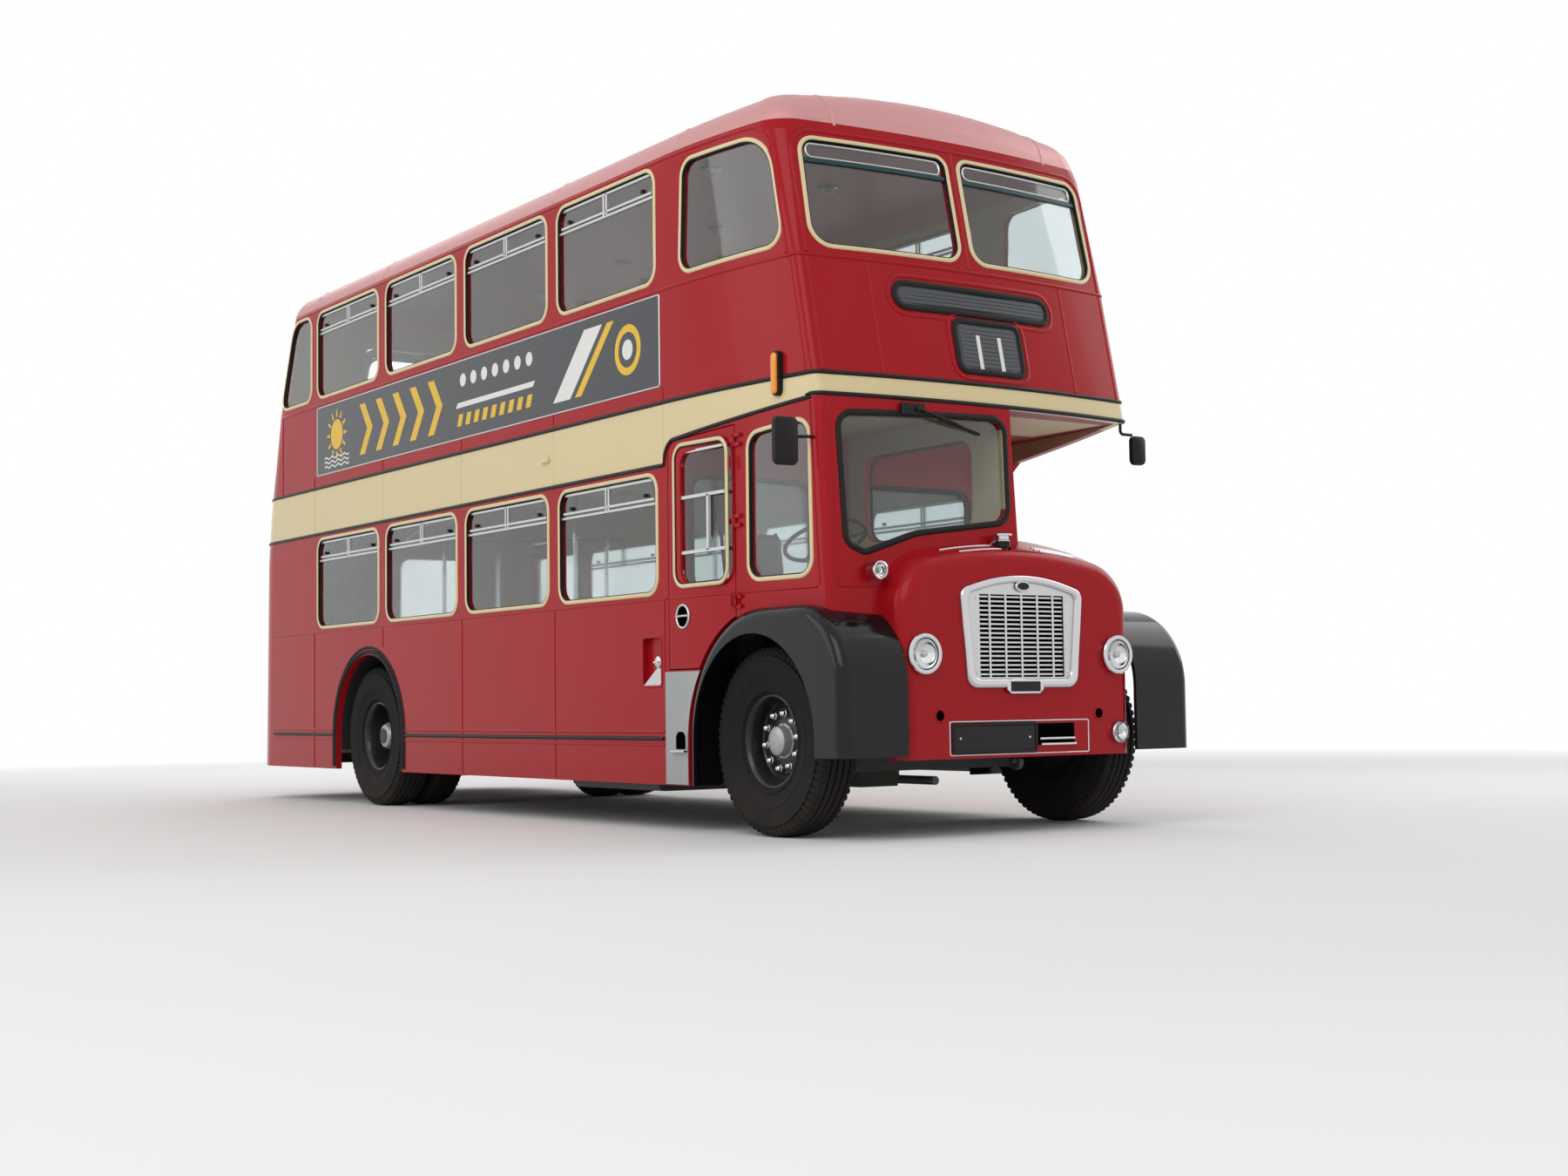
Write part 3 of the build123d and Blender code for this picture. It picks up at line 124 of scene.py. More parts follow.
class Net:
    """Short calls for adding and joining shader nodes in one tree."""

    def __init__(self, tree: NodeTree) -> None:
        """Keeps the tree that nodes are added to."""
        self.tree = tree

    def node(self, kind: str, **sockets: object) -> Node:
        """Adds a node and sets or links its named inputs.

        Args:
            kind: Node type.
            **sockets: Values or output sockets, with underscores for spaces in the inputs' names.

        Returns:
            The node.
        """
        made = self.tree.nodes.new(kind)
        for label, value in sockets.items():
            self.put(value, made.inputs[label.replace("_", " ")])
        return made

    def put(self, value: object, target: NodeSocket) -> None:
        """Links an output socket to an input, or sets the input's value.

        Args:
            value: A socket or a value.
            target: The input.
        """
        if isinstance(value, NodeSocket):
            self.tree.links.new(value, target)
        else:
            target.default_value = value

    def maths(self, operation: str, first: object, second: object = 0.0, clamp: bool = False) -> NodeSocket:
        """Adds a maths node.

        Args:
            operation: What it does.
            first: Value or socket.
            second: Value or socket, unused by one-sided operations.
            clamp: Whether the result stays from 0 to 1.

        Returns:
            The result socket.
        """
        made = self.tree.nodes.new("ShaderNodeMath")
        made.operation, made.use_clamp = operation, clamp
        self.put(first, made.inputs[0])
        self.put(second, made.inputs[1])
        return made.outputs[0]

    def vector(self, operation: str, first: NodeSocket, second: NodeSocket | None = None) -> NodeSocket:
        """Adds a vector maths node.

        Args:
            operation: What it does.
            first: Socket.
            second: Socket, for operations on two vectors.

        Returns:
            The result: a vector for MULTIPLY, else a value.
        """
        made = self.tree.nodes.new("ShaderNodeVectorMath")
        made.operation = operation
        self.put(first, made.inputs[0])
        if second is not None:
            self.put(second, made.inputs[1])
        return made.outputs["Vector" if operation == "MULTIPLY" else "Value"]

    def mix(self, share: object, first: object, second: object) -> NodeSocket:
        """Mixes two colours.

        Args:
            share: How much of the second, as a value or a socket.
            first: Colour or socket.
            second: Colour or socket.

        Returns:
            The mixed colour's socket.
        """
        made = self.tree.nodes.new("ShaderNodeMix")
        made.data_type = "RGBA"
        for label, value in (("Factor", share), ("A", first), ("B", second)):
            self.put(value, made.inputs[label])
        return made.outputs["Result"]

    def group(self, tree: NodeTree, **sockets: object) -> bpy.types.NodeOutputs:
        """Places a shared group and sets its inputs.

        Args:
            tree: The group.
            **sockets: Values or output sockets, with underscores for spaces in the inputs' names.

        Returns:
            The group's outputs, by name.
        """
        made = self.tree.nodes.new("ShaderNodeGroup")
        made.node_tree = tree
        for label, value in sockets.items():
            self.put(value, made.inputs[label.replace("_", " ")])
        return made.outputs

    def coords(self, label: str = "Object") -> NodeSocket:
        """A texture coordinate or the normal in the object's own frame."""
        return self.node("ShaderNodeTexCoord").outputs[label]

    def parts(self, label: str = "Object") -> bpy.types.NodeOutputs:
        """The X, Y and Z of a coordinate or normal, by name."""
        return self.node("ShaderNodeSeparateXYZ", Vector=self.coords(label)).outputs

    def noise(self, scale: object, detail: float = 2.0) -> NodeSocket:
        """Noise from 0 to 1 in the object's own frame."""
        return self.node("ShaderNodeTexNoise", Vector=self.coords(), Scale=scale,
                         Detail=detail).outputs["Fac"]


class GroupNet(Net):
    """A new node group with typed inputs that hands out its results by name."""

    KINDS = {3: "NodeSocketVector", 4: "NodeSocketColor"}

    def __init__(self, name: str, **inputs: object) -> None:
        """Makes the group and its inputs.

        Args:
            name: Group name.
            **inputs: Default of each input, with underscores for spaces in its name.
        """
        super().__init__(bpy.data.node_groups.new(name, "ShaderNodeTree"))
        for label, value in inputs.items():
            kind = self.KINDS[len(value)] if isinstance(value, tuple) else "NodeSocketFloat"
            socket = self.tree.interface.new_socket(label.replace("_", " "), in_out="INPUT", socket_type=kind)
            socket.default_value = value
        self.given = self.tree.nodes.new("NodeGroupInput").outputs

    def results(self, **sockets: NodeSocket) -> NodeTree:
        """Joins the group's outputs.

        Args:
            **sockets: What each output shows. The one called Colour is a colour, the others are values.

        Returns:
            The finished group.
        """
        for label in sockets:
            kind = "NodeSocketColor" if label == "Colour" else "NodeSocketFloat"
            self.tree.interface.new_socket(label, in_out="OUTPUT", socket_type=kind)
        end = self.tree.nodes.new("NodeGroupOutput")
        for label, socket in sockets.items():
            self.put(socket, end.inputs[label])
        return self.tree


@cache
def weather() -> NodeTree:
    """Dust and road film that is thickest low down, with a faint mottle in the colour.

    Returns:
        A group with Colour and Roughness outputs.
    """
    net = GroupNet("weather", Colour=(0.5, 0.5, 0.5, 1.0), Dirt_Colour=(0.16, 0.13, 0.10, 1.0), Dirt=0.3,
                   Top_Height=0.9, Mottle=0.08, Roughness=0.3, Scale=6.0)
    given, maths = net.given, net.maths
    fine, broad = net.noise(given["Scale"], 6.0), net.noise(1.3)
    low = maths("DIVIDE", maths("SUBTRACT", given["Top Height"], net.parts()["Z"]), given["Top Height"], True)
    streak = maths("MULTIPLY", maths("POWER", low, 1.6), fine)
    patch = maths("MULTIPLY", maths("SUBTRACT", broad, 0.42, True), 0.35)
    mask = maths("MULTIPLY", maths("ADD", streak, patch), given["Dirt"], True)
    shade = maths("ADD", 1.0, maths("MULTIPLY", maths("SUBTRACT", broad, 0.5), given["Mottle"]))
    toned = net.node("ShaderNodeHueSaturation", Color=given["Colour"], Value=shade).outputs["Color"]
    rough = maths("ADD", given["Roughness"], maths("MULTIPLY", mask, 0.55), True)
    grain = maths("MULTIPLY", maths("SUBTRACT", fine, 0.5), 0.06)
    return net.results(Colour=net.mix(mask, toned, given["Dirt Colour"]),
                       Roughness=maths("ADD", rough, grain))


@cache
def ripple() -> NodeTree:
    """The faint waviness of hand-beaten panels, with orange peel on top.

    Returns:
        A group with a Height output.
    """
    net = GroupNet("ripple", Wave=1.0, Peel=0.15, Scale=2.2)
    wave = net.maths("MULTIPLY", net.noise(net.given["Scale"], 1.0), net.given["Wave"])
    fine = net.maths("MULTIPLY", net.noise(240.0), net.maths("MULTIPLY", net.given["Peel"], 0.02))
    return net.results(Height=net.maths("ADD", wave, fine))


@cache
def ribs() -> NodeTree:
    """Parallel ribs along one direction, for ribbed alloy and slatted floors.

    Returns:
        A group with Height and Groove outputs.
    """
    net = GroupNet("ribs", Direction=(1.0, 0.0, 0.0), Pitch=0.03, Groove_Width=0.25)
    turn = net.maths("DIVIDE", net.vector("DOT_PRODUCT", net.coords(), net.given["Direction"]),
                     net.given["Pitch"])
    edge = net.maths("ABSOLUTE", net.maths("SUBTRACT", net.maths("FRACT", turn), 0.5))
    limit = net.maths("SUBTRACT", 0.5, net.maths("MULTIPLY", net.given["Groove Width"], 0.5))
    groove = net.maths("GREATER_THAN", edge, limit)
    return net.results(Height=net.maths("SUBTRACT", 1.0, groove), Groove=groove)


@cache
def weave() -> NodeTree:
    """Moquette pile with a small repeating check.

    Returns:
        A group with Pattern and Height outputs.
    """
    net = GroupNet("weave", Scale=26.0, Pile=900.0)
    cells = net.node("ShaderNodeTexVoronoi", Vector=net.coords(), Scale=net.given["Scale"])
    cells.distance = "MANHATTAN"
    pattern = net.maths("LESS_THAN", cells.outputs["Distance"], 0.33)
    pile = net.maths("ADD", net.noise(net.given["Pile"]), net.maths("MULTIPLY", pattern, 0.2))
    return net.results(Pattern=pattern, Height=pile)


@cache
def inside() -> NodeTree:
    """Tells a panel's inner face from its outer one, by which way it looks from the middle.

    Returns:
        A group with a Mask output, 1 on faces that look inward.
    """
    net = GroupNet("inside", Weight=(1.0, 1.0, 0.0))
    scaled = net.vector("MULTIPLY", net.coords(), net.given["Weight"])
    turned = net.vector("DOT_PRODUCT", scaled, net.coords("Normal"))
    return net.results(Mask=net.maths("LESS_THAN", turned, -0.06))


def rgba(colour: Colour) -> tuple[float, float, float, float]:
    """The colour with full alpha."""
    return (*colour, 1.0)


BODY_RED: Colour = (0.375, 0.006, 0.012)
BAND_CREAM: Colour = (0.74, 0.62, 0.36)
FLOOR_BROWN: Colour = (0.13, 0.075, 0.04)
GROOVE_DARK: Colour = (0.02, 0.02, 0.02)
SIDE_INNER = (1.0, 0.0, 0.0)
END_INNER = (1.0, 1.0, 0.0)
ROOF_INNER = (1.0, 1.0, 1.0)


@dataclass(frozen=True)
class Finish:
    """A surface finish, built into one material the first time it is used."""

    name: str
    colour: Colour
    roughness: float = 0.3
    metallic: float = 0.0
    coat: float = 0.0
    specular: float = 0.3
    dirt: float = 0.25
    dirt_height: float = 0.9
    mottle: float = 0.1
    bump: float = 0.0
    wave_scale: float = 2.2
    inner: tuple[float, float, float] | None = None
    inner_colour: Colour = (0.50, 0.42, 0.28)

    def material(self) -> Material:
        """Builds the material once. Where the CAD carries a material of that name, that one is shown as it is.

        Returns:
            The material.
        """
        found = bpy.data.materials.get(self.name)
        if found:
            return found
        made = bpy.data.materials.new(self.name)
        made.use_nodes = True
        self.shade(Net(made.node_tree), made.node_tree.nodes["Principled BSDF"])
        return made

    def shade(self, net: Net, shader: Node) -> None:
        """Sets the shader up with this finish's colour, gloss, film of dirt and relief.

        Args:
            net: The material's nodes.
            shader: Its main shader.
        """
        for label, value in (("Metallic", self.metallic), ("Coat Weight", self.coat),
                             ("Coat Roughness", 0.06),
                             ("Specular IOR Level", self.specular)):
            shader.inputs[label].default_value = value
        shade = self.base(net)
        if self.inner:
            shade = net.mix(net.group(inside(), Weight=self.inner)["Mask"], shade, rgba(self.inner_colour))
        film = net.group(weather(), Colour=shade, Dirt=self.dirt, Top_Height=self.dirt_height,
                         Mottle=self.mottle, Roughness=self.roughness)
        net.put(film["Colour"], shader.inputs["Base Color"])
        net.put(film["Roughness"], shader.inputs["Roughness"])
        if self.bump:
            bump = net.node("ShaderNodeBump", Height=self.height(net), Strength=1.0, Distance=self.bump)
            net.put(bump.outputs["Normal"], shader.inputs["Normal"])

    def base(self, net: Net) -> object:
        """The colour before dirt, as a value or a socket."""
        return rgba(self.colour)

    def height(self, net: Net) -> NodeSocket:
        """The relief that the bump shows."""
        return net.group(ripple(), Wave=1.0, Scale=self.wave_scale)["Height"]


@dataclass(frozen=True)
class Livery(Finish):
    """Body red with the cream band, whose lower edge steps up over the cab door."""

    def base(self, net: Net) -> object:
        """Red, with cream between the band's two edges.

        Args:
            net: The material's nodes.

        Returns:
            The colour's socket.
        """
        place, maths = net.parts(), net.maths
        y, z = place["Y"], place["Z"]
        step = maths("DIVIDE", maths("SUBTRACT", LINES.step_y, y), LINES.step_length, True)
        rise = maths("SQRT", maths("SUBTRACT", 1.0, maths("POWER", maths("SUBTRACT", 1.0, step), 2.0)))
        slope = maths("DIVIDE", maths("SUBTRACT", LINES.step_y - LINES.step_length, y), LINES.slope_length,
                      True)
        edge = maths("ADD", maths("MULTIPLY", rise, LINES.step_rise),
                     maths("MULTIPLY", slope, LINES.slope_rise))
        above = maths("GREATER_THAN", z, maths("ADD", edge, LINES.band_low))
        band = maths("MULTIPLY", above, maths("LESS_THAN", z, LINES.band_high))
        return net.mix(band, rgba(self.colour), rgba(BAND_CREAM))


@dataclass(frozen=True)
class DeckUnderside(Finish):
    """A slatted floor above, with the saloon's ceiling and the red canopy painted below it."""

    ceiling: Colour = (0.62, 0.55, 0.40)
    canopy: Colour = (0.30, 0.012, 0.018)
    # patch: a painted reflection, a cream area on the canopy's underside near its front
    patch: Colour = (0.66, 0.55, 0.32)
    reflection_middle: Point2 = (0.62, -3.42)
    reflection_half: Point2 = (0.42, 0.3)

    def base(self, net: Net) -> object:
        """Floor colour above; below, red ahead of the bulkhead with a cream patch of painted reflection, else
        ceiling.

        Args:
            net: The material's nodes.

        Returns:
            The colour's socket.
        """
        place, maths = net.parts(), net.maths
        below = maths("LESS_THAN", net.parts("Normal")["Z"], -0.5)
        ahead = maths("MULTIPLY", maths("LESS_THAN", place["Y"], LINES.bulkhead_y),
                      maths("GREATER_THAN", place["X"], 0.1))
        across, along = (maths("LESS_THAN", maths("ABSOLUTE", maths("SUBTRACT", place[axis], middle)), half)
                         for axis, middle, half in zip("XY", self.reflection_middle, self.reflection_half))
        # the cream patch of painted reflection inside the red canopy
        under = net.mix(maths("MULTIPLY", across, along), rgba(self.canopy), rgba(self.patch))
        lower = net.mix(ahead, rgba(self.ceiling), under)
        groove = net.group(ribs(), Direction=(1.0, 0.0, 0.0), Pitch=0.05, Groove_Width=0.16)["Groove"]
        return net.mix(below, net.mix(groove, rgba(self.colour), rgba(GROOVE_DARK)), lower)


@dataclass(frozen=True)
class Ribbed(Finish):
    """A finish with parallel ribs or board joints across the bus."""

    pitch: float = 0.03
    groove: float = 0.25
    groove_colour: Colour = GROOVE_DARK

    def lines(self, net: Net) -> bpy.types.NodeOutputs:
        """The ribs' Height and Groove."""
        return net.group(ribs(), Direction=(1.0, 0.0, 0.0), Pitch=self.pitch, Groove_Width=self.groove)

    def base(self, net: Net) -> object:
        """The colour, darker in the grooves."""
        return net.mix(self.lines(net)["Groove"], rgba(self.colour), rgba(self.groove_colour))

    def height(self, net: Net) -> NodeSocket:
        """The ribs' relief."""
        return self.lines(net)["Height"]


@dataclass(frozen=True)
class Moquette(Finish):
    """Patterned seat cloth with a short pile."""

    accent: Colour = (0.42, 0.27, 0.10)

    def base(self, net: Net) -> object:
        """The ground colour with small accents."""
        return net.mix(net.group(weave())["Pattern"], rgba(self.colour), rgba(self.accent))

    def height(self, net: Net) -> NodeSocket:
        """The pile's relief."""
        return net.group(weave())["Height"]


@dataclass(frozen=True)
class Glass(Finish):
    """Clear glass that lets lamplight through to the inside."""

    shadow: Colour = (0.86, 0.9, 0.88)

    def shade(self, net: Net, shader: Node) -> None:
        """Sets the shader up as faintly smeared glass that casts only a light shadow.

        Args:
            net: The material's nodes.
            shader: Its main shader.
        """
        for label, value in (("Transmission Weight", 1.0), ("IOR", 1.45), ("Metallic", 0.0)):
            shader.inputs[label].default_value = value
        smear = net.noise(3.0)
        net.put(net.maths("MULTIPLY", smear, 0.06), shader.inputs["Roughness"])
        net.put(net.mix(smear, rgba(self.colour), rgba(tuple(c * 0.9 for c in self.colour))),
                shader.inputs["Base Color"])
        clear = net.node("ShaderNodeBsdfTransparent", Color=rgba(self.shadow))
        path = net.node("ShaderNodeLightPath")
        blend = net.node("ShaderNodeMixShader", Fac=path.outputs["Is Shadow Ray"])
        net.put(shader.outputs["BSDF"], blend.inputs[1])
        net.put(clear.outputs["BSDF"], blend.inputs[2])
        net.put(blend.outputs["Shader"], net.tree.nodes["Material Output"].inputs["Surface"])


RED_GLOSS = {"roughness": 0.2, "coat": 0.07, "specular": 0.12, "dirt": 0.15}


class Coat(Enum):
    """The finishes of this bus, each one a named material."""

    LIVERY = Livery("livery_paint", BODY_RED, bump=0.0012, inner=SIDE_INNER, **RED_GLOSS)
    LIVERY_END = Livery("livery_paint_ends", BODY_RED, bump=0.0012, inner=END_INNER, **RED_GLOSS)
    LIVERY_TRIM = Livery("livery_trim_paint", BODY_RED, roughness=0.22, coat=0.06, specular=0.12, dirt=0.15)
    RED = Finish("red_paint", BODY_RED, bump=0.001, **RED_GLOSS)
    RED_WALL = Finish("red_wall_paint", BODY_RED, roughness=0.25, coat=0.06, specular=0.12, dirt=0.2,
                      bump=0.001,
                      inner=END_INNER)
    ROOF = Finish("roof_paint", (0.375, 0.008, 0.014), roughness=0.25, coat=0.06, specular=0.12, dirt=0.0,
                  bump=0.001, inner=ROOF_INNER, inner_colour=(0.66, 0.60, 0.46))
    CREAM = Finish("cream_paint", BAND_CREAM, roughness=0.3, coat=0.3, dirt=0.2)
    BLACK = Finish("black_gloss", (0.005, 0.005, 0.007), roughness=0.12, coat=0.12, specular=0.22, dirt=0.08,
                   bump=0.001)
    BEAD = Finish("bead_black", (0.010, 0.009, 0.009), roughness=0.4, specular=0.2, dirt=0.1)
    # Near-black painted shade, put in holes and recesses, behind the grille louvres and as the lamps' dark
    # rings.
    PAINTED_SHADE = Finish("painted_shade", (0.002, 0.002, 0.002), roughness=1.0, specular=0.0, dirt=0.0)
    CHASSIS = Finish("chassis_black", (0.018, 0.018, 0.018), roughness=0.6, dirt=1.0, dirt_height=1.3,
                     bump=0.0006, wave_scale=40.0)
    CAST = Finish("engine_paint", (0.10, 0.12, 0.11), roughness=0.6, dirt=0.8, dirt_height=1.6, bump=0.002,
                  wave_scale=30.0)
    STEEL = Finish("worn_steel", (0.42, 0.41, 0.40), roughness=0.45, metallic=1.0, dirt=0.8, dirt_height=1.0,
                   bump=0.0004, wave_scale=60.0)
    CHROME = Finish("chrome", (0.60, 0.60, 0.62), roughness=0.10, metallic=1.0, dirt=0.1)
    ALLOY = Finish("alloy", (0.32, 0.33, 0.34), roughness=0.38, metallic=0.85, dirt=0.15)
    KICK = Finish("kick_panel_alloy", (0.40, 0.42, 0.42), roughness=0.5, metallic=0.35, dirt=0.3, mottle=0.3)
    TREADPLATE = Ribbed("tread_alloy", (0.40, 0.41, 0.42), roughness=0.4, metallic=0.8, dirt=0.2, bump=0.002,
                        pitch=0.022, groove=0.45, groove_colour=(0.14, 0.14, 0.14))
    FLOOR = Ribbed("slatted_floor", FLOOR_BROWN, roughness=0.6, dirt=0.5, dirt_height=3.2, bump=0.003,
                   pitch=0.06, groove=0.18)
    DECK = DeckUnderside("deck_boards", FLOOR_BROWN, roughness=0.45, dirt=0.1, dirt_height=3.2)
    RUBBER = Finish("rubber_seal", (0.012, 0.011, 0.011), roughness=0.6, specular=0.2, dirt=0.1)
    TEAL = Finish("teal_bar", (0.010, 0.045, 0.048), roughness=0.35, dirt=0.1)
    TYRE = Finish("tyre_rubber", (0.012, 0.012, 0.013), roughness=0.75, specular=0.12, bump=0.0006,
                  wave_scale=90.0)
    WHEEL = Finish("wheel_black", (0.010, 0.010, 0.011), roughness=0.28, coat=0.2, dirt=0.2, bump=0.0005,
                   wave_scale=30.0)
    HUB = Finish("hub_silver", (0.42, 0.42, 0.43), roughness=0.38, metallic=0.5, dirt=0.2)
    MOQUETTE = Moquette("moquette", (0.16, 0.030, 0.018), roughness=0.95, dirt=0.1, bump=0.0008)
    HIDE = Finish("seat_hide", (0.07, 0.022, 0.014), roughness=0.5, dirt=0.1, mottle=0.4, bump=0.0006,
                  wave_scale=70.0)
    BLIND = Finish("blind_cloth", (0.075, 0.082, 0.09), roughness=0.5, dirt=0.05, mottle=0.25)
    WHITE = Finish("white_paint", (0.78, 0.78, 0.76), roughness=0.35, dirt=0.1)
    YELLOW = Finish("yellow_paint", (0.80, 0.50, 0.03), roughness=0.35, dirt=0.1)
    AMBER = Finish("amber_lens", (0.90, 0.30, 0.01), roughness=0.15, coat=0.8, dirt=0.1)
    LENS = Glass("lamp_glass", (0.90, 0.93, 0.93))
    REFLECTOR = Finish("lamp_bowl", (0.85, 0.85, 0.86), roughness=0.1, metallic=1.0, dirt=0.05)
    RED_LENS = Finish("red_lens", (0.45, 0.01, 0.01), roughness=0.15, coat=0.8, dirt=0.2)
    GLASS = Glass("window_glass", (0.80, 0.86, 0.86))
    BOARD = Finish("board_slate", (0.030, 0.034, 0.042), roughness=0.3, coat=0.3, dirt=0.1, mottle=0.2)

    def material(self) -> Material:
        """The material of this finish."""
        return self.value.material()


def dress_node(node: str, coat: Coat) -> None:
    """Gives a carried-over CAD node one of the finishes.

    Args:
        node: The node's name.
        coat: Its finish.
    """
    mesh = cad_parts[node].data
    mesh.materials.clear()
    mesh.materials.append(coat.material())
    mesh.set_sharp_from_angle(angle=math.radians(28))


def spokes(axis: Vector, count: int, first: float = 0.0) -> list[Vector]:
    """Directions evenly round an axis.

    Args:
        axis: The axis, of length one.
        count: How many directions.
        first: Where the first one is, in steps.

    Returns:
        The directions, each of length one.
    """
    side = axis.orthogonal().normalized()
    other = axis.cross(side)
    turns = [2 * math.pi * (i + first) / count for i in range(count)]
    return [side * math.cos(t) + other * math.sin(t) for t in turns]


class Maker:
    """Collects the points and faces of one piece, then turns them into an object on a body."""

    def __init__(self) -> None:
        """Starts empty."""
        self.points: list[Vector] = []
        self.faces: list[tuple[int, ...]] = []
        self.slots: list[int] = []
        self.coats: list[Coat] = []
        self.coat = 0

    def use(self, coat: Coat) -> "Maker":
        """Chooses the finish of the faces added next.

        Args:
            coat: The finish.

        Returns:
            The maker itself, so that a shape can follow in the same line.
        """
        if coat not in self.coats:
            self.coats.append(coat)
        self.coat = self.coats.index(coat)
        return self

    def add(self, points: Iterable[Vector], faces: Iterable[Sequence[int]]) -> None:
        """Adds points and the faces between them.

        Args:
            points: New points.
            faces: Faces, as indices into the new points.
        """
        base = len(self.points)
        self.points.extend(Vector(p) for p in points)
        for face in faces:
            self.faces.append(tuple(base + i for i in face))
            self.slots.append(self.coat)

    def loft(self, rings: Sequence[Sequence[Vector]], closed: bool = False, cap: bool = True) -> None:
        """Joins equal rings of points into a skin.

        Args:
            rings: Rings of the same number of points.
            closed: Whether the last ring joins the first.
            cap: Whether open ends are closed with a face.
        """
        count, size = len(rings), len(rings[0])
        faces = []
        for i in range(count if closed else count - 1):
            a, b = i * size, ((i + 1) % count) * size
            for j in range(size):
                k = (j + 1) % size
                faces.append((a + j, a + k, b + k, b + j))
        if cap and not closed:
            faces.append(tuple(reversed(range(size))))
            faces.append(tuple((count - 1) * size + j for j in range(size)))
        self.add([p for ring in rings for p in ring], faces)

    def box(self, low: Sequence[float], high: Sequence[float], bevel: float = 0.0) -> None:
        """Adds a box.

        Args:
            low: Its lowest corner.
            high: Its highest corner.
            bevel: Chamfer of its upright edges.
        """
        (x0, y0, z0), (x1, y1, z1), b = low, high, bevel
        outline = [(x0, y0), (x1, y0), (x1, y1), (x0, y1)]
        if b > 0:
            outline = [(x0 + b, y0), (x1 - b, y0), (x1, y0 + b), (x1, y1 - b),
                       (x1 - b, y1), (x0 + b, y1), (x0, y1 - b), (x0, y0 + b)]
        self.loft([[Vector((x, y, z)) for x, y in outline] for z in (z0, z1)])

    def lathe(self, profile: Sequence[Point2], centre: Vector, axis: Vector, steps: int = 48,
              closed: bool = False) -> None:
        """Turns a profile of (along, radius) points about an axis.

        Args:
            profile: Points along the axis and out from it.
            centre: Where along is zero.
            axis: Direction of along.
            steps: Segments round the axis.
            closed: Whether the profile's ends are joined.
        """
        axis, size, faces = axis.normalized(), len(profile), []
        points = [centre + axis * a + out * r for out in spokes(axis, steps) for a, r in profile]
        for i in range(steps):
            a, b = i * size, ((i + 1) % steps) * size
            for j in range(size if closed else size - 1):
                k = (j + 1) % size
                faces.append((a + j, b + j, b + k, a + k))
        self.add(points, faces)

    def tube(self, path: Sequence[Sequence[float]], radius: float, steps: int = 10,
             closed: bool = False) -> None:
        """Runs a round bar along points.

        Args:
            path: The bar's middle line.
            radius: Its radius.
            steps: Sides of the bar.
            closed: Whether the path is a loop.
        """
        points = [Vector(p) for p in path]
        count = len(points)
        turns = [2 * math.pi * j / steps for j in range(steps)]
        side = None
        rings = []
        for i, here in enumerate(points):
            ahead = points[(i + 1) % count] if closed or i + 1 < count else here
            behind = points[i - 1] if closed or i else here
            along = (ahead - behind).normalized()
            side = side or along.orthogonal().normalized()
            side = (side - along * side.dot(along)).normalized()
            other = along.cross(side)
            rings.append([here + side * (radius * math.cos(t)) + other * (radius * math.sin(t))
                          for t in turns])
        self.loft(rings, closed=closed)

    def plate(self, face: "Face", path: Sequence[Point2], low: float, high: float,
              edge: float = 0.0) -> None:
        """Adds a flat plate with eased front edges.

        Args:
            face: The working plane that it lies on.
            path: Its outline.
            low: Where its back is, out of the plane.
            high: Where its front is.
            edge: How much its front edges are eased.
        """
        rings = [(path, low), (path, high - edge)]
        if edge:
            rings.append((grown(path, -edge), high))
        self.loft([[face.at(u, v, w) for u, v in ring] for ring, w in rings])

    def rim(self, face: "Face", path: Sequence[Point2], section: Sequence[Point2], lift: float = 0.0) -> None:
        """Runs a section round a closed outline on a working plane."""
        sweep(self, [(face.at(u, v, lift), face.out) for u, v in path], section, True)

    def finish(self, name: str, body: str = "body", slot: str | None = None, smooth: float = 35.0,
               replaces: Sequence[str] = ()) -> bpy.types.Object:
        """Makes the object, cleans its mesh and puts it on a body.

        Args:
            name: Piece name.
            body: CAD body it rides on.
            slot: The record's material slot; not used.
            smooth: Angle in degrees above which edges stay sharp.
            replaces: CAD nodes that it stands for.

        Returns:
            The object.
        """
        mesh = bpy.data.meshes.new(name)
        mesh.from_pydata(self.points, [], self.faces)
        for coat in self.coats:
            mesh.materials.append(coat.material())
        mesh.polygons.foreach_set("material_index", self.slots)
        tidy = bmesh.new()
        tidy.from_mesh(mesh)
        bmesh.ops.remove_doubles(tidy, verts=tidy.verts, dist=1e-6)
        bmesh.ops.dissolve_degenerate(tidy, edges=tidy.edges, dist=1e-7)
        bmesh.ops.recalc_face_normals(tidy, faces=tidy.faces)
        tidy.to_mesh(mesh)
        tidy.free()
        mesh.shade_smooth()
        mesh.set_sharp_from_angle(angle=math.radians(smooth))
        piece = bpy.data.objects.new(name, mesh)
        bpy.context.scene.collection.objects.link(piece)
        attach(piece, body)
        if replaces:
            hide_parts(*replaces)
        LOG.info("%s: %d faces on %s", name, len(mesh.polygons), body)
        return piece


def half_round(width: float, height: float, steps: int = 6, sunk: float = 0.002) -> list[Point2]:
    """A half-round section.

    Args:
        width: Its width.
        height: Its height above the surface.
        steps: Pieces of its curve.
        sunk: How far its flat side is below the surface.

    Returns:
        Its (across, up) points.
    """
    turns = [math.pi * i / steps for i in range(steps + 1)]
    arc = [(-width / 2 * math.cos(t), height * math.sin(t)) for t in turns]
    return [(-width / 2, -sunk), *arc, (width / 2, -sunk)]


def flat_bar(width: float, height: float, sunk: float = 0.002, chamfer: float = 0.0015) -> list[Point2]:
    """A flat bar section with chamfered top edges: (across, up) points."""
    w, c = width / 2, chamfer
    return [(-w, -sunk), (-w, height - c), (-w + c, height), (w - c, height), (w, height - c), (w, -sunk)]


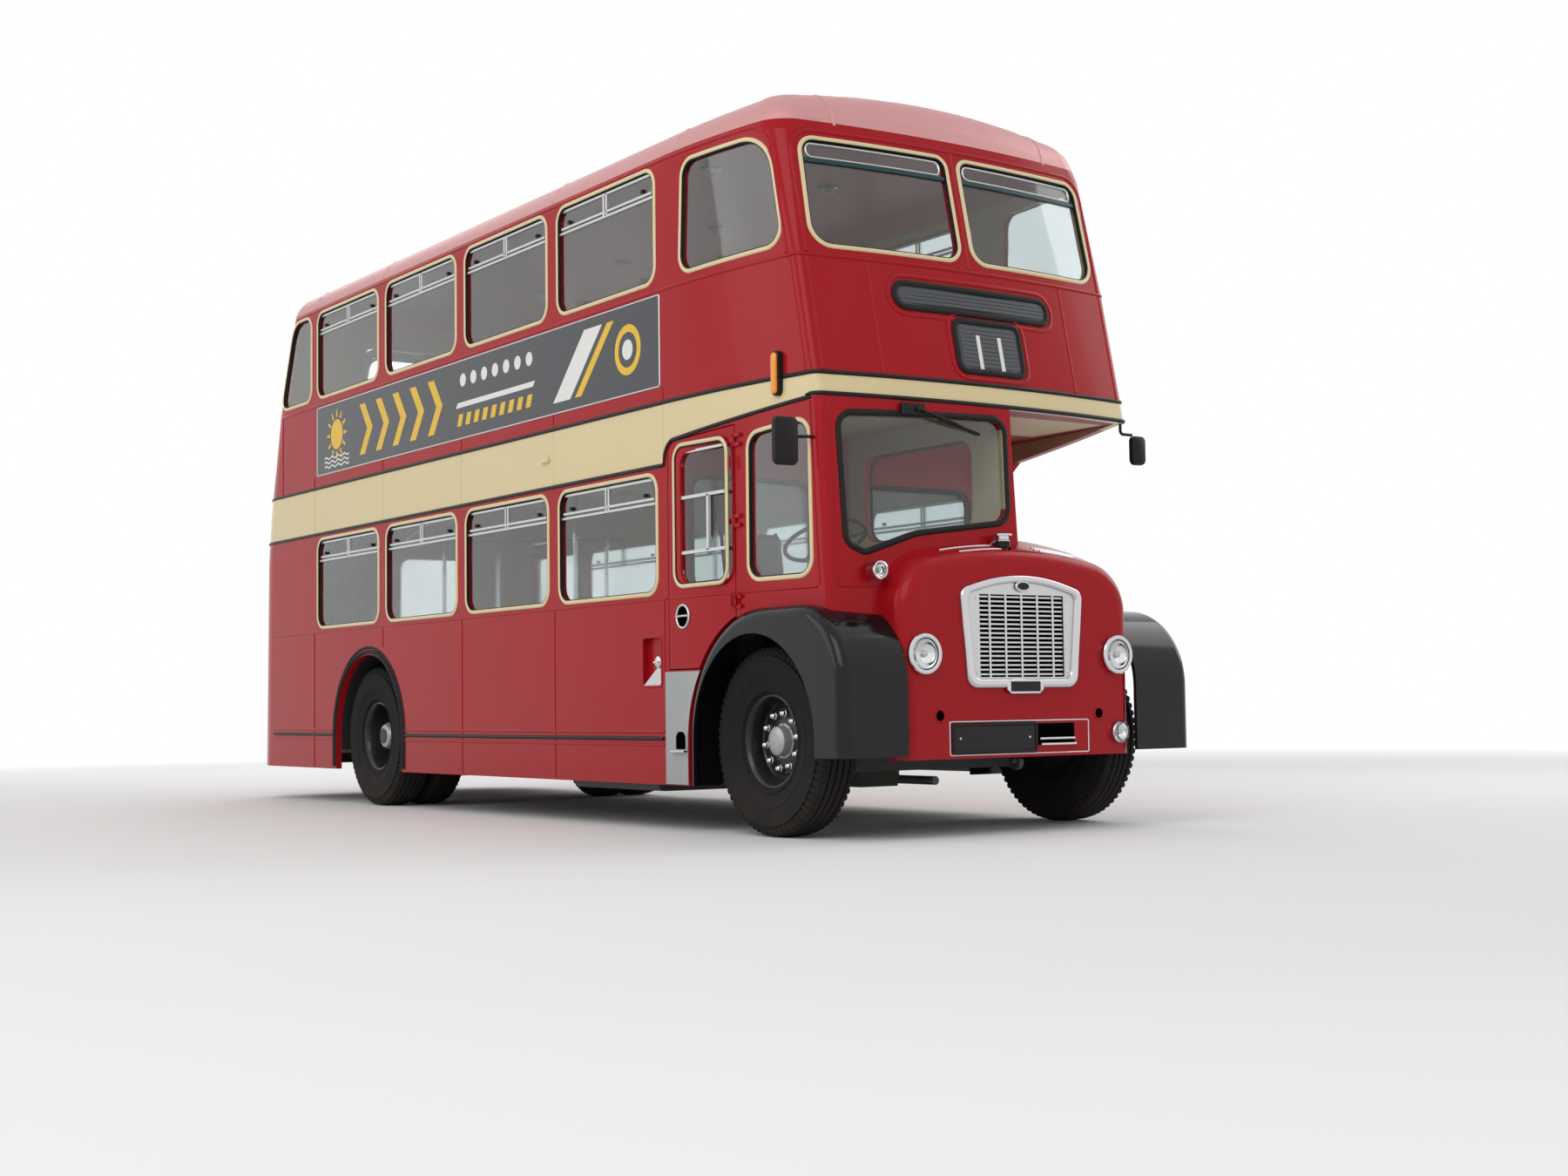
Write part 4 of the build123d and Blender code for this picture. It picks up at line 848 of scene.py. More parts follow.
def rounded(points: Sequence[Point2], radii: Sequence[float] | float, steps: int = 8,
            run: float = 0.12) -> list[Point2]:
    """A closed outline with rounded corners and points along its runs.

    Args:
        points: Corners in order.
        radii: One radius, or one for each corner.
        steps: Segments of each corner.
        run: Longest spacing along the straight runs.

    Returns:
        The outline's points in order.
    """
    count = len(points)
    sizes = [radii] * count if isinstance(radii, (int, float)) else list(radii)
    corners: list[list[Vector]] = []
    for i, size in enumerate(sizes):
        here, before, after = (Vector(points[j % count]) for j in (i, i - 1, i + 1))
        a, b = (before - here).normalized(), (after - here).normalized()
        half = a.angle(b) / 2
        reach = size / math.tan(half)
        centre = here + (a + b).normalized() * (size / math.sin(half))
        start, end = here + a * reach - centre, here + b * reach - centre
        turn = start.angle_signed(end)
        corners.append([centre + Matrix.Rotation(-turn * j / steps, 2) @ start for j in range(steps + 1)])
    path: list[Point2] = []
    for i, corner in enumerate(corners):
        path += [tuple(p) for p in corner]
        start, end = corner[-1], corners[(i + 1) % count][0]
        pieces = max(1, int((end - start).length / run))
        path += [tuple(start.lerp(end, j / pieces)) for j in range(1, pieces)]
    return path


def grown(path: Sequence[Point2], by: float) -> list[Point2]:
    """A closed outline moved outward.

    Args:
        path: The outline.
        by: The distance, negative for inward.

    Returns:
        The moved outline.
    """
    count = len(path)
    after = [*path[1:], path[0]]
    area = sum(a[0] * b[1] - b[0] * a[1] for a, b in zip(path, after))
    sign = 1.0 if area > 0 else -1.0
    moved = []
    for i in range(count):
        ahead, behind = Vector(path[(i + 1) % count]), Vector(path[i - 1])
        along = (ahead - behind).normalized()
        moved.append((path[i][0] + along.y * by * sign, path[i][1] - along.x * by * sign))
    return moved


def disc(radius: float, centre: Point2 = (0.0, 0.0), steps: int = 32,
         tall: float | None = None) -> list[Point2]:
    """A round or oval outline about a centre."""
    turns = [2 * math.pi * i / steps for i in range(steps)]
    return [(centre[0] + radius * math.cos(t), centre[1] + (tall or radius) * math.sin(t)) for t in turns]


def block_outline(low: Point2, high: Point2, radius: float) -> list[Point2]:
    """A rectangle with rounded corners between two corners."""
    return rounded([low, (high[0], low[1]), high, (low[0], high[1])], radius, steps=5)


def bent(points: Sequence[Sequence[float]], radius: float, steps: int = 6) -> list[Vector]:
    """A path in space with its inner corners bent to a radius.

    Args:
        points: The corners, with the two ends.
        radius: The bend radius, kept under half of each run.
        steps: Segments of each bend.

    Returns:
        The points of the bent path.
    """
    corners = [Vector(p) for p in points]
    path = [corners[0]]
    for before, here, after in zip(corners, corners[1:], corners[2:]):
        a, b = before - here, after - here
        reach = min(radius, a.length * 0.49, b.length * 0.49)
        start, end = here + a.normalized() * reach, here + b.normalized() * reach
        for i in range(steps + 1):
            t = i / steps
            path.append(start * (1 - t) ** 2 + here * (2 * t * (1 - t)) + end * t ** 2)
    path.append(corners[-1])
    return path


@dataclass(frozen=True)
class Face:
    """A flat working plane on the bus: its middle, which way is across, and which way is up."""

    middle: tuple[float, float, float]
    across: tuple[float, float, float]
    up: tuple[float, float, float] = (0.0, 0.0, 1.0)

    @property
    def out(self) -> Vector:
        """The direction out of the plane, towards the viewer."""
        return Vector(self.across).cross(Vector(self.up)).normalized()

    def at(self, u: float, v: float, w: float = 0.0) -> Vector:
        """The point u across, v up and w out of the plane."""
        return Vector(self.middle) + Vector(self.across) * u + Vector(self.up) * v + self.out * w

    @staticmethod
    def front(y: float) -> "Face":
        """The plane of the front at a station, with x and z as its own."""
        return Face((0.0, y, 0.0), (1.0, 0.0, 0.0))


class Facing(Enum):
    """Which way a face of the coachwork looks, as an axis and a sign."""

    OFFSIDE = (0, -1)
    NEARSIDE = (0, 1)
    FRONT = (1, -1)
    REAR = (1, 1)


class Skin:
    """The coachwork's outer surface, found by looking at it from outside."""

    def __init__(self, nodes: Sequence[str]) -> None:
        """Gathers the nodes' faces.

        Args:
            nodes: CAD nodes that make up the surface.
        """
        points, faces = [], []
        for node in nodes:
            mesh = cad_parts[node].data
            base = len(points)
            points += [v.co.copy() for v in mesh.vertices]
            faces += [tuple(base + i for i in p.vertices) for p in mesh.polygons]
        self.tree = BVHTree.FromPolygons(points, faces)

    def at(self, facing: Facing, across: float, z: float) -> tuple[Vector, Vector]:
        """The surface point and outward normal seen square on.

        Args:
            facing: The face looked at.
            across: Station along the bus for a side, or offset from the middle for an end.
            z: Height.

        Returns:
            The point and its normal.
        """
        axis, sign = facing.value
        start = Vector((8.0 * sign, across, z)) if axis == 0 else Vector((across, 8.0 * sign, z))
        way = Vector((-sign, 0, 0)) if axis == 0 else Vector((0, -sign, 0))
        return self.look(start, way)

    def look(self, start: Vector, way: Vector) -> tuple[Vector, Vector]:
        """The first surface point along a line of sight.

        Args:
            start: Where the line starts.
            way: Its direction.

        Returns:
            The point and its normal, facing the viewer.
        """
        hit, normal, _, _ = self.tree.ray_cast(start, way)
        if hit is None:
            raise ValueError(f"nothing seen from {tuple(start)} along {tuple(way)}")
        return hit, normal if normal.dot(way) < 0 else -normal


def sweep(maker: Maker, path: Sequence[tuple[Vector, Vector]], section: Sequence[Point2],
          closed: bool) -> None:
    """Runs a section along surface points and their normals.

    Args:
        maker: Where the faces go.
        path: Points and outward normals.
        section: (across, up) points, closed.
        closed: Whether the path is a loop.
    """
    count = len(path)
    rings = []
    for i, (here, normal) in enumerate(path):
        ahead = path[(i + 1) % count][0] if closed or i + 1 < count else here
        behind = path[i - 1][0] if closed or i > 0 else here
        along = (ahead - behind).normalized()
        across = along.cross(normal).normalized()
        up = across.cross(along).normalized()
        rings.append([here + across * u + up * v for u, v in section])
    maker.loft(rings, closed=closed)
SIDE_X = 1.2185
AHEAD = Vector((0, -1, 0))
PANEL_NODES = ("lower_side_offside", "lower_side_nearside", "lower_ends_nearside", "lower_rear",
               "upper_side_offside", "upper_side_nearside", "upper_front", "upper_rear", "roof", "cab_front",
               "cab_side", "cab_door")
NODE_COATS: dict[Coat, str] = {
    Coat.LIVERY: "lower_side_offside lower_side_nearside lower_ends_nearside upper_side_offside "
                 "upper_side_nearside cab_side cab_door",
    Coat.LIVERY_END: "lower_rear upper_front upper_rear cab_front",
    Coat.RED_WALL: "lower_bulkhead cab_inner_side upper_emergency_window",
    Coat.RED: "front_cowl bonnet_lid platform_leaf_front platform_leaf_rear",
    Coat.ROOF: "roof",
    Coat.BLACK: "front_wing_offside front_wing_nearside",
    Coat.CHASSIS: "steering_column fuel_tank chassis_frame front_axle rear_axle towing_eye knuckle_offside "
                  "knuckle_nearside track_rod wheel_boxes",
    Coat.CAST: "engine driveline",
    Coat.BEAD: "radiator",
    Coat.STEEL: "exhaust",
    Coat.GLASS: "body_glass cab_door_glass upper_emergency_glass platform_leaf_glass_front "
                "platform_leaf_glass_rear",
    Coat.DECK: "upper_floor",
    Coat.FLOOR: "lower_floor",
    Coat.TREADPLATE: "cab_floor staircase",
    Coat.CHROME: "radiator_grille lamps seat_frames mirrors steering_wheel",
    Coat.BLIND: "destination_boxes",
    Coat.MOQUETTE: "seat_cushions driver_seat",
    Coat.WHEEL: "front_wheel_offside front_wheel_nearside rear_wheels_offside rear_wheels_nearside",
    Coat.TYRE: "front_tyre_offside front_tyre_nearside rear_tyres_offside rear_tyres_nearside",
}


@dataclass
class Coachwork:
    """Paint, beads and cover strips of the body panels."""

    skin: Skin
    bead: list[Point2] = field(default_factory=lambda: half_round(0.024, 0.011))
    strip: list[Point2] = field(default_factory=lambda: half_round(0.022, 0.007))
    seam: list[Point2] = field(default_factory=lambda: half_round(0.016, 0.005))
    corner_inset: float = 0.10
    front_half: float = 1.103
    side_rear: float = 3.60
    line_under_windows: float = 1.312
    arch_rings: tuple[Point2, ...] = ((0.622, 0.034), (0.654, 0.020))
    seam_stations: tuple[float, ...] = (-2.63, -1.185, 1.435, 2.745)
    side: Face = Face((-1.219, 0.0, 0.0), (0.0, -1.0, 0.0))

    def build(self) -> None:
        """Paints the panels and adds the beads, strips, seams and arch mouldings."""
        for coat, nodes in NODE_COATS.items():
            for node in nodes.split():
                dress_node(node, coat)
        for part in (self.bands, self.side_lines, self.pillar_strips, self.gutters, self.roof_seams,
                     self.arches, self.kick_panel, self.filler):
            part()
        cover = Maker().use(Coat.CREAM)
        cover.plate(self.side, block_outline((1.04, 2.232), (1.14, 2.278), 0.02), 0.0, 0.022, 0.008)
        cover.finish("band_lamp_cover", slot="body_red")

    def around(self, z: float) -> list[tuple[Vector, Vector]]:
        """Surface points at one height from the offside rear, round the front, to the nearside rear.

        Args:
            z: The height.

        Returns:
            The points and their normals.
        """
        nose = LINES.corner_y(z) + self.corner_inset
        stations = [self.side_rear + (nose + 0.02 - self.side_rear) * i / 40 for i in range(41)]
        path = [self.skin.at(Facing.OFFSIDE, y, z) for y in stations]
        for side in (-1, 1):
            middle = Vector((side * (self.front_half - self.corner_inset), nose, z))
            for i in range(1, 8) if side < 0 else range(7, 0, -1):
                turn = math.pi / 2 * i / 8
                out = Vector((side * math.cos(turn), -math.sin(turn), 0.0))
                path.append(self.skin.look(middle + out * 2, -out))
            if side < 0:
                path += [self.skin.at(Facing.FRONT, -1.0 + i / 12, z) for i in range(25)]
        return path + [self.skin.at(Facing.NEARSIDE, y, z) for y in reversed(stations)]

    def behind(self, z: float, last: float) -> list[tuple[Vector, Vector]]:
        """Surface points at one height from the offside round the rear.

        Args:
            z: The height.
            last: The bearing in degrees where they end, with zero at the nearside.

        Returns:
            The points and their normals.
        """
        middle = Vector((0.0, self.side_rear, z))
        turns = [math.radians(180 + (last - 180) * i / 48) for i in range(49)]
        ways = [Vector((math.cos(t), math.sin(t), 0.0)) for t in turns]
        return [self.skin.look(middle + way * 3, -way) for way in ways]

    def along(self, maker: Maker, facing: Facing, start: float, end: float,
              height: Callable[[float], float] | float, section: Sequence[Point2], steps: int = 16) -> None:
        """Runs a section along a face between two stations.

        Args:
            maker: Where the faces go.
            facing: The face.
            start: First station.
            end: Last station.
            height: The height, or the height at each station.
            section: The section.
            steps: How many pieces the run has.
        """
        rise = height if callable(height) else (lambda _: height)
        stations = [start + (end - start) * i / steps for i in range(steps + 1)]
        sweep(maker, [self.skin.at(facing, y, rise(y)) for y in stations], section, False)

    def up(self, maker: Maker, facing: Facing, across: Callable[[float], float] | float, low: float,
           high: float, section: Sequence[Point2]) -> None:
        """Runs a section up a face between two heights.

        Args:
            maker: Where the faces go.
            facing: The face.
            across: The station, or the station at each height.
            low: Lowest height.
            high: Highest height.
            section: The section.
        """
        place = across if callable(across) else (lambda _: across)
        heights = [low + (high - low) * i / 10 for i in range(11)]
        sweep(maker, [self.skin.at(facing, place(z), z) for z in heights], section, False)

    def bands(self) -> None:
        """Black beads at the cream band's edges and the red waist bead, right round the front."""
        black, red, rail = Maker().use(Coat.BEAD), Maker().use(Coat.RED), self.side_rear
        sweep(black, self.around(LINES.band_high), self.bead, False)
        sweep(red, self.around(LINES.waist_bead), self.strip, False)
        bend = [-2.615 + 0.11 * i / 12 for i in range(13)]
        stations = [-3.80, -3.6, -3.3, -3.0, -2.8, -2.66, *bend, -2.4, -1.0, 0.5, 2.0, rail]
        lower = [self.skin.at(Facing.OFFSIDE, y, LINES.band_edge(y)) for y in reversed(stations)]
        sweep(black, lower + self.around(LINES.canopy_bead)[41:80], self.bead, False)
        sweep(black,
              [self.skin.at(Facing.NEARSIDE, y, LINES.band_low) for y in (-2.35, -1.0, 0.5, 2.0, rail)],
              self.bead, False)
        self.along(black, Facing.NEARSIDE, -3.72, -2.50, LINES.canopy_bead, self.bead)
        sweep(black, self.behind(LINES.band_high, 0.0), self.bead, False)
        sweep(black, self.behind(LINES.band_low, 28.0), self.bead, False)
        waist = self.behind(LINES.waist_bead, 0.0)
        for part in (waist[:15], waist[34:]):
            sweep(red, part, self.strip, False)
        for z in (2.43, 2.71):
            self.along(red, Facing.REAR, -0.9, 0.9, z, self.seam, 20)
        black.finish("band_beads", slot="black_paint")
        red.finish("waist_bead", slot="body_red")

    def side_lines(self) -> None:
        """The line under the windows and the skirt rails along both sides."""
        black, red, door = Maker().use(Coat.BEAD), Maker().use(Coat.RED), Maker().use(Coat.RED)
        for facing in (Facing.OFFSIDE, Facing.NEARSIDE):
            offside = facing is Facing.OFFSIDE
            rear = self.side_rear if offside else 2.74
            self.along(red, facing, -2.52, rear, self.line_under_windows, self.seam, 40)
            for start, end in ((-2.48, 1.06), (2.36, rear)):
                self.along(black, facing, start, end, LINES.rub_rail, self.bead)
                for z in (LINES.rub_rail + 0.037, LINES.rub_rail - 0.036):
                    self.along(red, facing, start, end, z, self.seam)
        self.along(red, Facing.OFFSIDE, -3.84, -3.21, self.line_under_windows, self.seam)
        self.along(door, Facing.OFFSIDE, -3.17, -2.56, self.line_under_windows, self.seam)
        self.along(red, Facing.FRONT, -1.04, -0.83, self.line_under_windows, self.seam, 4)
        self.along(red, Facing.REAR, -0.7, 0.7, self.line_under_windows - 0.05, self.seam)
        black.finish("skirt_rails", slot="black_paint")
        red.finish("side_lines", slot="body_red")
        door.finish("cab_door_line", "cab_door", slot="body_red")

    def pillar_strips(self) -> None:
        """Upright cover strips at each pillar, at the corners and beside the blinds."""
        strips = Maker().use(Coat.LIVERY_TRIM)
        for facing in (Facing.OFFSIDE, Facing.NEARSIDE):
            for y in LINES.pillars():
                spans = [(2.45, 2.522), (2.09, 2.42)]
                if not (facing is Facing.NEARSIDE and y > 2.5):
                    spans.append((1.16 if abs(y - 1.71) < 0.62 else 0.27, 1.30))
                for low, high in spans:
                    self.up(strips, facing, y + 0.001, low, high, self.seam)
            for across in (self.by_corner, 3.42):
                self.up(strips, facing, across, 2.45, 3.07, self.seam)
        for x in (-1.052, -0.69, 1.052, 0.69):
            self.up(strips, Facing.FRONT, x, 2.45, 3.07, self.seam)
        self.up(strips, Facing.OFFSIDE, self.by_corner, 1.32, 2.28, self.seam)
        self.up(strips, Facing.FRONT, -1.052, 1.32, 2.30, self.seam)
        for x in (-0.62, 0.82):
            self.up(strips, Facing.REAR, x, 0.30, 2.06, self.seam)
        strips.finish("cover_strips", slot="body_red")

    @staticmethod
    def by_corner(z: float) -> float:
        """Station of the strip behind a front corner."""
        return LINES.corner_y(z) + 0.062

    def gutters(self) -> None:
        """Drip mouldings over the windows, turned down at the front corners."""
        red = Maker().use(Coat.RED)
        high, low = 3.838, 3.10
        quarter = [math.pi / 2 * i / 8 for i in range(1, 9)]
        path = [(3.1 - 6.40 * i / 40, high) for i in range(41)]
        path += [(-3.30 - 0.165 * math.sin(t), high - 0.16 + 0.16 * math.cos(t)) for t in quarter]
        heights = [high - 0.18 - (high - 0.18 - low) * i / 8 for i in range(1, 9)]
        path += [(LINES.corner_y(z) + 0.078, z) for z in heights]
        for facing in (Facing.OFFSIDE, Facing.NEARSIDE):
            sweep(red, [self.skin.at(facing, y, z) for y, z in path], self.strip, False)
        front: list[Point2] = [(-1.05, low + 0.56 * i / 8) for i in range(9)]
        front += [(-0.91 - 0.14 * math.cos(t), 3.66 + 0.14 * math.sin(t)) for t in quarter]
        front += [(-0.91 + 0.91 * i / 12, 3.80) for i in range(1, 12)]
        front += [(-x, z) for x, z in reversed(front)]
        sweep(red, [self.skin.at(Facing.FRONT, x, z) for x, z in front], self.strip, False)
        self.up(red, Facing.FRONT, 0.0, low, 3.79, self.seam)
        red.finish("drip_mouldings", slot="body_red")

    def roof_seams(self) -> None:
        """Seams of the roof panels: across the bus at four stations, and over the front dome."""
        red = Maker().use(Coat.ROOF)
        over = [math.radians(29 + 122 * i / 36) for i in range(37)]
        ahead = [math.radians(32 + 74 * i / 24) for i in range(25)]
        runs = [(Vector((0.0, y, 3.2)), [Vector((math.cos(t), 0.0, math.sin(t))) for t in over])
                for y in self.seam_stations]
        runs += [(Vector((x, -2.85, 3.4)), [Vector((0.0, -math.cos(t), math.sin(t))) for t in ahead])
                 for x in (-0.76, 0.76)]
        for middle, ways in runs:
            sweep(red, [self.skin.look(middle + way * 3, -way) for way in ways], self.seam, False)
        red.finish("roof_seams", slot="roof_paint")

    def arches(self) -> None:
        """Rubber mouldings round the rear wheel arches."""
        rubber = Maker().use(Coat.RUBBER)
        legs, axle = [0.28 + 0.05 * i for i in range(5)], LINES.rear_axle_y
        turns = [math.pi * i / 48 for i in range(49)]
        for facing in (Facing.OFFSIDE, Facing.NEARSIDE):
            for radius, width in self.arch_rings:
                section = half_round(width, 0.016 if width > 0.03 else 0.008)
                arc = [(axle + radius * math.cos(t), LINES.axle_z + radius * math.sin(t)) for t in turns]
                points = [(axle + radius, z) for z in legs] + arc + [(axle - radius, z) for z in legs[::-1]]
                sweep(rubber, [self.skin.at(facing, y, z) for y, z in points], section, False)
        rubber.finish("rear_arch_mouldings", slot="black_paint")

    def kick_panel(self) -> None:
        """The bright kick panel ahead of the saloon, with its foot hole, drawn as a dark plate of painted
        shade, and its ledge.
        """
        face = Face((-SIDE_X, 0.0, 0.0), (0.0, -1.0, 0.0))
        alloy = Maker().use(Coat.KICK)
        edge = [(self.panel_end(0.266 + 0.63 * i / 9), 0.266 + 0.63 * i / 9) for i in range(10)]
        alloy.plate(face, [(2.500, 0.266), *edge, (2.500, 0.896)], 0.0005, 0.0035)
        corners = [(2.612, 0.462), (2.716, 0.462), (2.716, 0.560), (2.612, 0.560)]
        arch = rounded(corners, [0.004, 0.004, 0.04, 0.04], 5)
        alloy.rim(face, grown(arch, 0.008), flat_bar(0.016, 0.004), 0.0035)
        # the foot hole: a near-black plate of painted shade inside the rim
        alloy.use(Coat.PAINTED_SHADE).plate(face, arch, 0.003, 0.0042)
        alloy.use(Coat.CHROME).box((-1.248, -2.730, 0.447), (-1.219, -2.585, 0.456))
        alloy.finish("kick_panel", slot="alloy")

    @staticmethod
    def panel_end(z: float) -> float:
        """How far forward the flat side reaches beside the front wing's curved edge."""
        return -LINES.front_axle_y - math.sqrt(0.636 ** 2 - max(z - LINES.axle_z, 0.0) ** 2)

    def filler(self) -> None:
        """The fuel filler's lip, chute and cap in their recess."""
        lip = Maker().use(Coat.RED)
        lip.rim(self.side, block_outline((2.250, 0.815), (2.460, 1.100), 0.025), half_round(0.016, 0.005))
        lip.finish("filler_lip", slot="body_red")
        metal = Maker().use(Coat.ALLOY)
        chute = [(2.262, 0.822), (2.452, 0.822), (2.452, 0.915), (2.425, 0.925), (2.40, 0.915)]
        metal.plate(self.side, chute, -0.030, 0.002, 0.002)
        metal.lathe([(-0.032, 0.030), (-0.012, 0.036), (-0.002, 0.034), (0.004, 0.026), (0.006, 0.0)],
                    Vector((-1.219, -2.412, 0.955)), Vector((-1, 0, 0)), 28)
        metal.box((-1.232, -2.440, 0.950), (-1.222, -2.384, 0.960))
        metal.finish("filler_cap", slot="alloy")


@dataclass
class SideBoard:
    """The board between decks on each side, with a plain geometric design."""

    front_y: float = -2.47
    rear_y: float = 2.68
    low: float = 2.532
    high: float = 3.062
    lift: float = 0.0045
    ink: float = 0.0006
    sunk: float = 0.0004
    sun: Point2 = (-2.18, 0.02)
    rays: int = 12
    target: Point2 = (2.22, 0.0)

    def build(self) -> None:
        """Puts a board and its design on both sides."""
        half, tall = (self.rear_y - self.front_y) / 2, (self.high - self.low) / 2
        outline = block_outline((-half, -tall), (half, tall), 0.012)
        for name, side in OFF_AND_NEAR:
            middle = (side * SIDE_X, (self.front_y + self.rear_y) / 2, (self.low + self.high) / 2)
            face = Face(middle, (0.0, float(side), 0.0))
            board = Maker().use(Coat.BOARD)
            board.plate(face, outline, 0.0, self.lift, 0.0015)
            board.use(Coat.ALLOY).rim(face, outline, half_round(0.010, 0.004), self.lift - 0.002)
            board.finish(f"side_board_{name}", slot="black_paint")
            design = Maker()
            for coat, layer, path in self.shapes():
                low = self.lift + layer * self.ink
                design.use(coat).plate(face, path, low - self.sunk, low + self.ink)
            design.finish(f"board_design_{name}", slot="black_paint")

    def shapes(self) -> Iterable[tuple[Coat, int, Sequence[Point2]]]:
        """The design: a sun over waves, chevrons, discs and a slanted band.

        Yields:
            Each shape's colour, its layer over the board and its outline from the board's middle.
        """
        u, v = self.sun
        yield Coat.YELLOW, 0, disc(0.115, self.sun)
        for turn in (2 * math.pi * i / self.rays for i in range(self.rays)):
            across, up = math.cos(turn), math.sin(turn)
            yield Coat.YELLOW, 0, [(u + across * a - up * b, v + up * a + across * b) for a, b in
                                   ((0.135, -0.014), (0.135, 0.014), (0.195, 0.006), (0.195, -0.006))]
        for start in (-1.74 + 0.30 * i for i in range(5)):
            for way in (1, -1):
                yield Coat.YELLOW, 0, [(start, 0.19 * way), (start + 0.10, 0.19 * way), (start + 0.24, 0.0),
                                       (start + 0.14, 0.0)][::way]
        for level in (-0.155 - 0.034 * row for row in range(3)):
            wave = [(-2.42 + 0.48 * i / 24, level + 0.009 * math.sin(i * math.pi / 3)) for i in range(25)]
            yield Coat.WHITE, 1, wave + [(a, b + 0.012) for a, b in reversed(wave)]
        for i in range(7):
            yield Coat.WHITE, 0, disc(0.045, (0.02 + 0.16 * i, 0.13), 24)
        yield Coat.WHITE, 0, [(-0.06, -0.02), (1.06, -0.02), (1.03, -0.055), (-0.09, -0.055)]
        for left in (-0.04 + 0.125 * i for i in range(9)):
            yield Coat.YELLOW, 0, [(left - 0.03, -0.18), (left + 0.035, -0.18), (left + 0.065, -0.10),
                                   (left, -0.10)]
        yield Coat.WHITE, 0, [(1.30, -0.20), (1.52, -0.20), (1.92, 0.20), (1.70, 0.20)]
        yield Coat.YELLOW, 0, [(1.58, -0.20), (1.66, -0.20), (2.06, 0.20), (1.98, 0.20)]
        for layer, (coat, radius, steps) in enumerate(((Coat.YELLOW, 0.15, 40), (Coat.BOARD, 0.105, 40),
                                                       (Coat.WHITE, 0.06, 32))):
            yield coat, layer, disc(radius, self.target, steps)


@dataclass
class Opening:
    """One window's opening: the face it is in, its outline and whether it has a sliding vent."""

    facing: Facing
    path: list[Point2]
    vented: bool = False


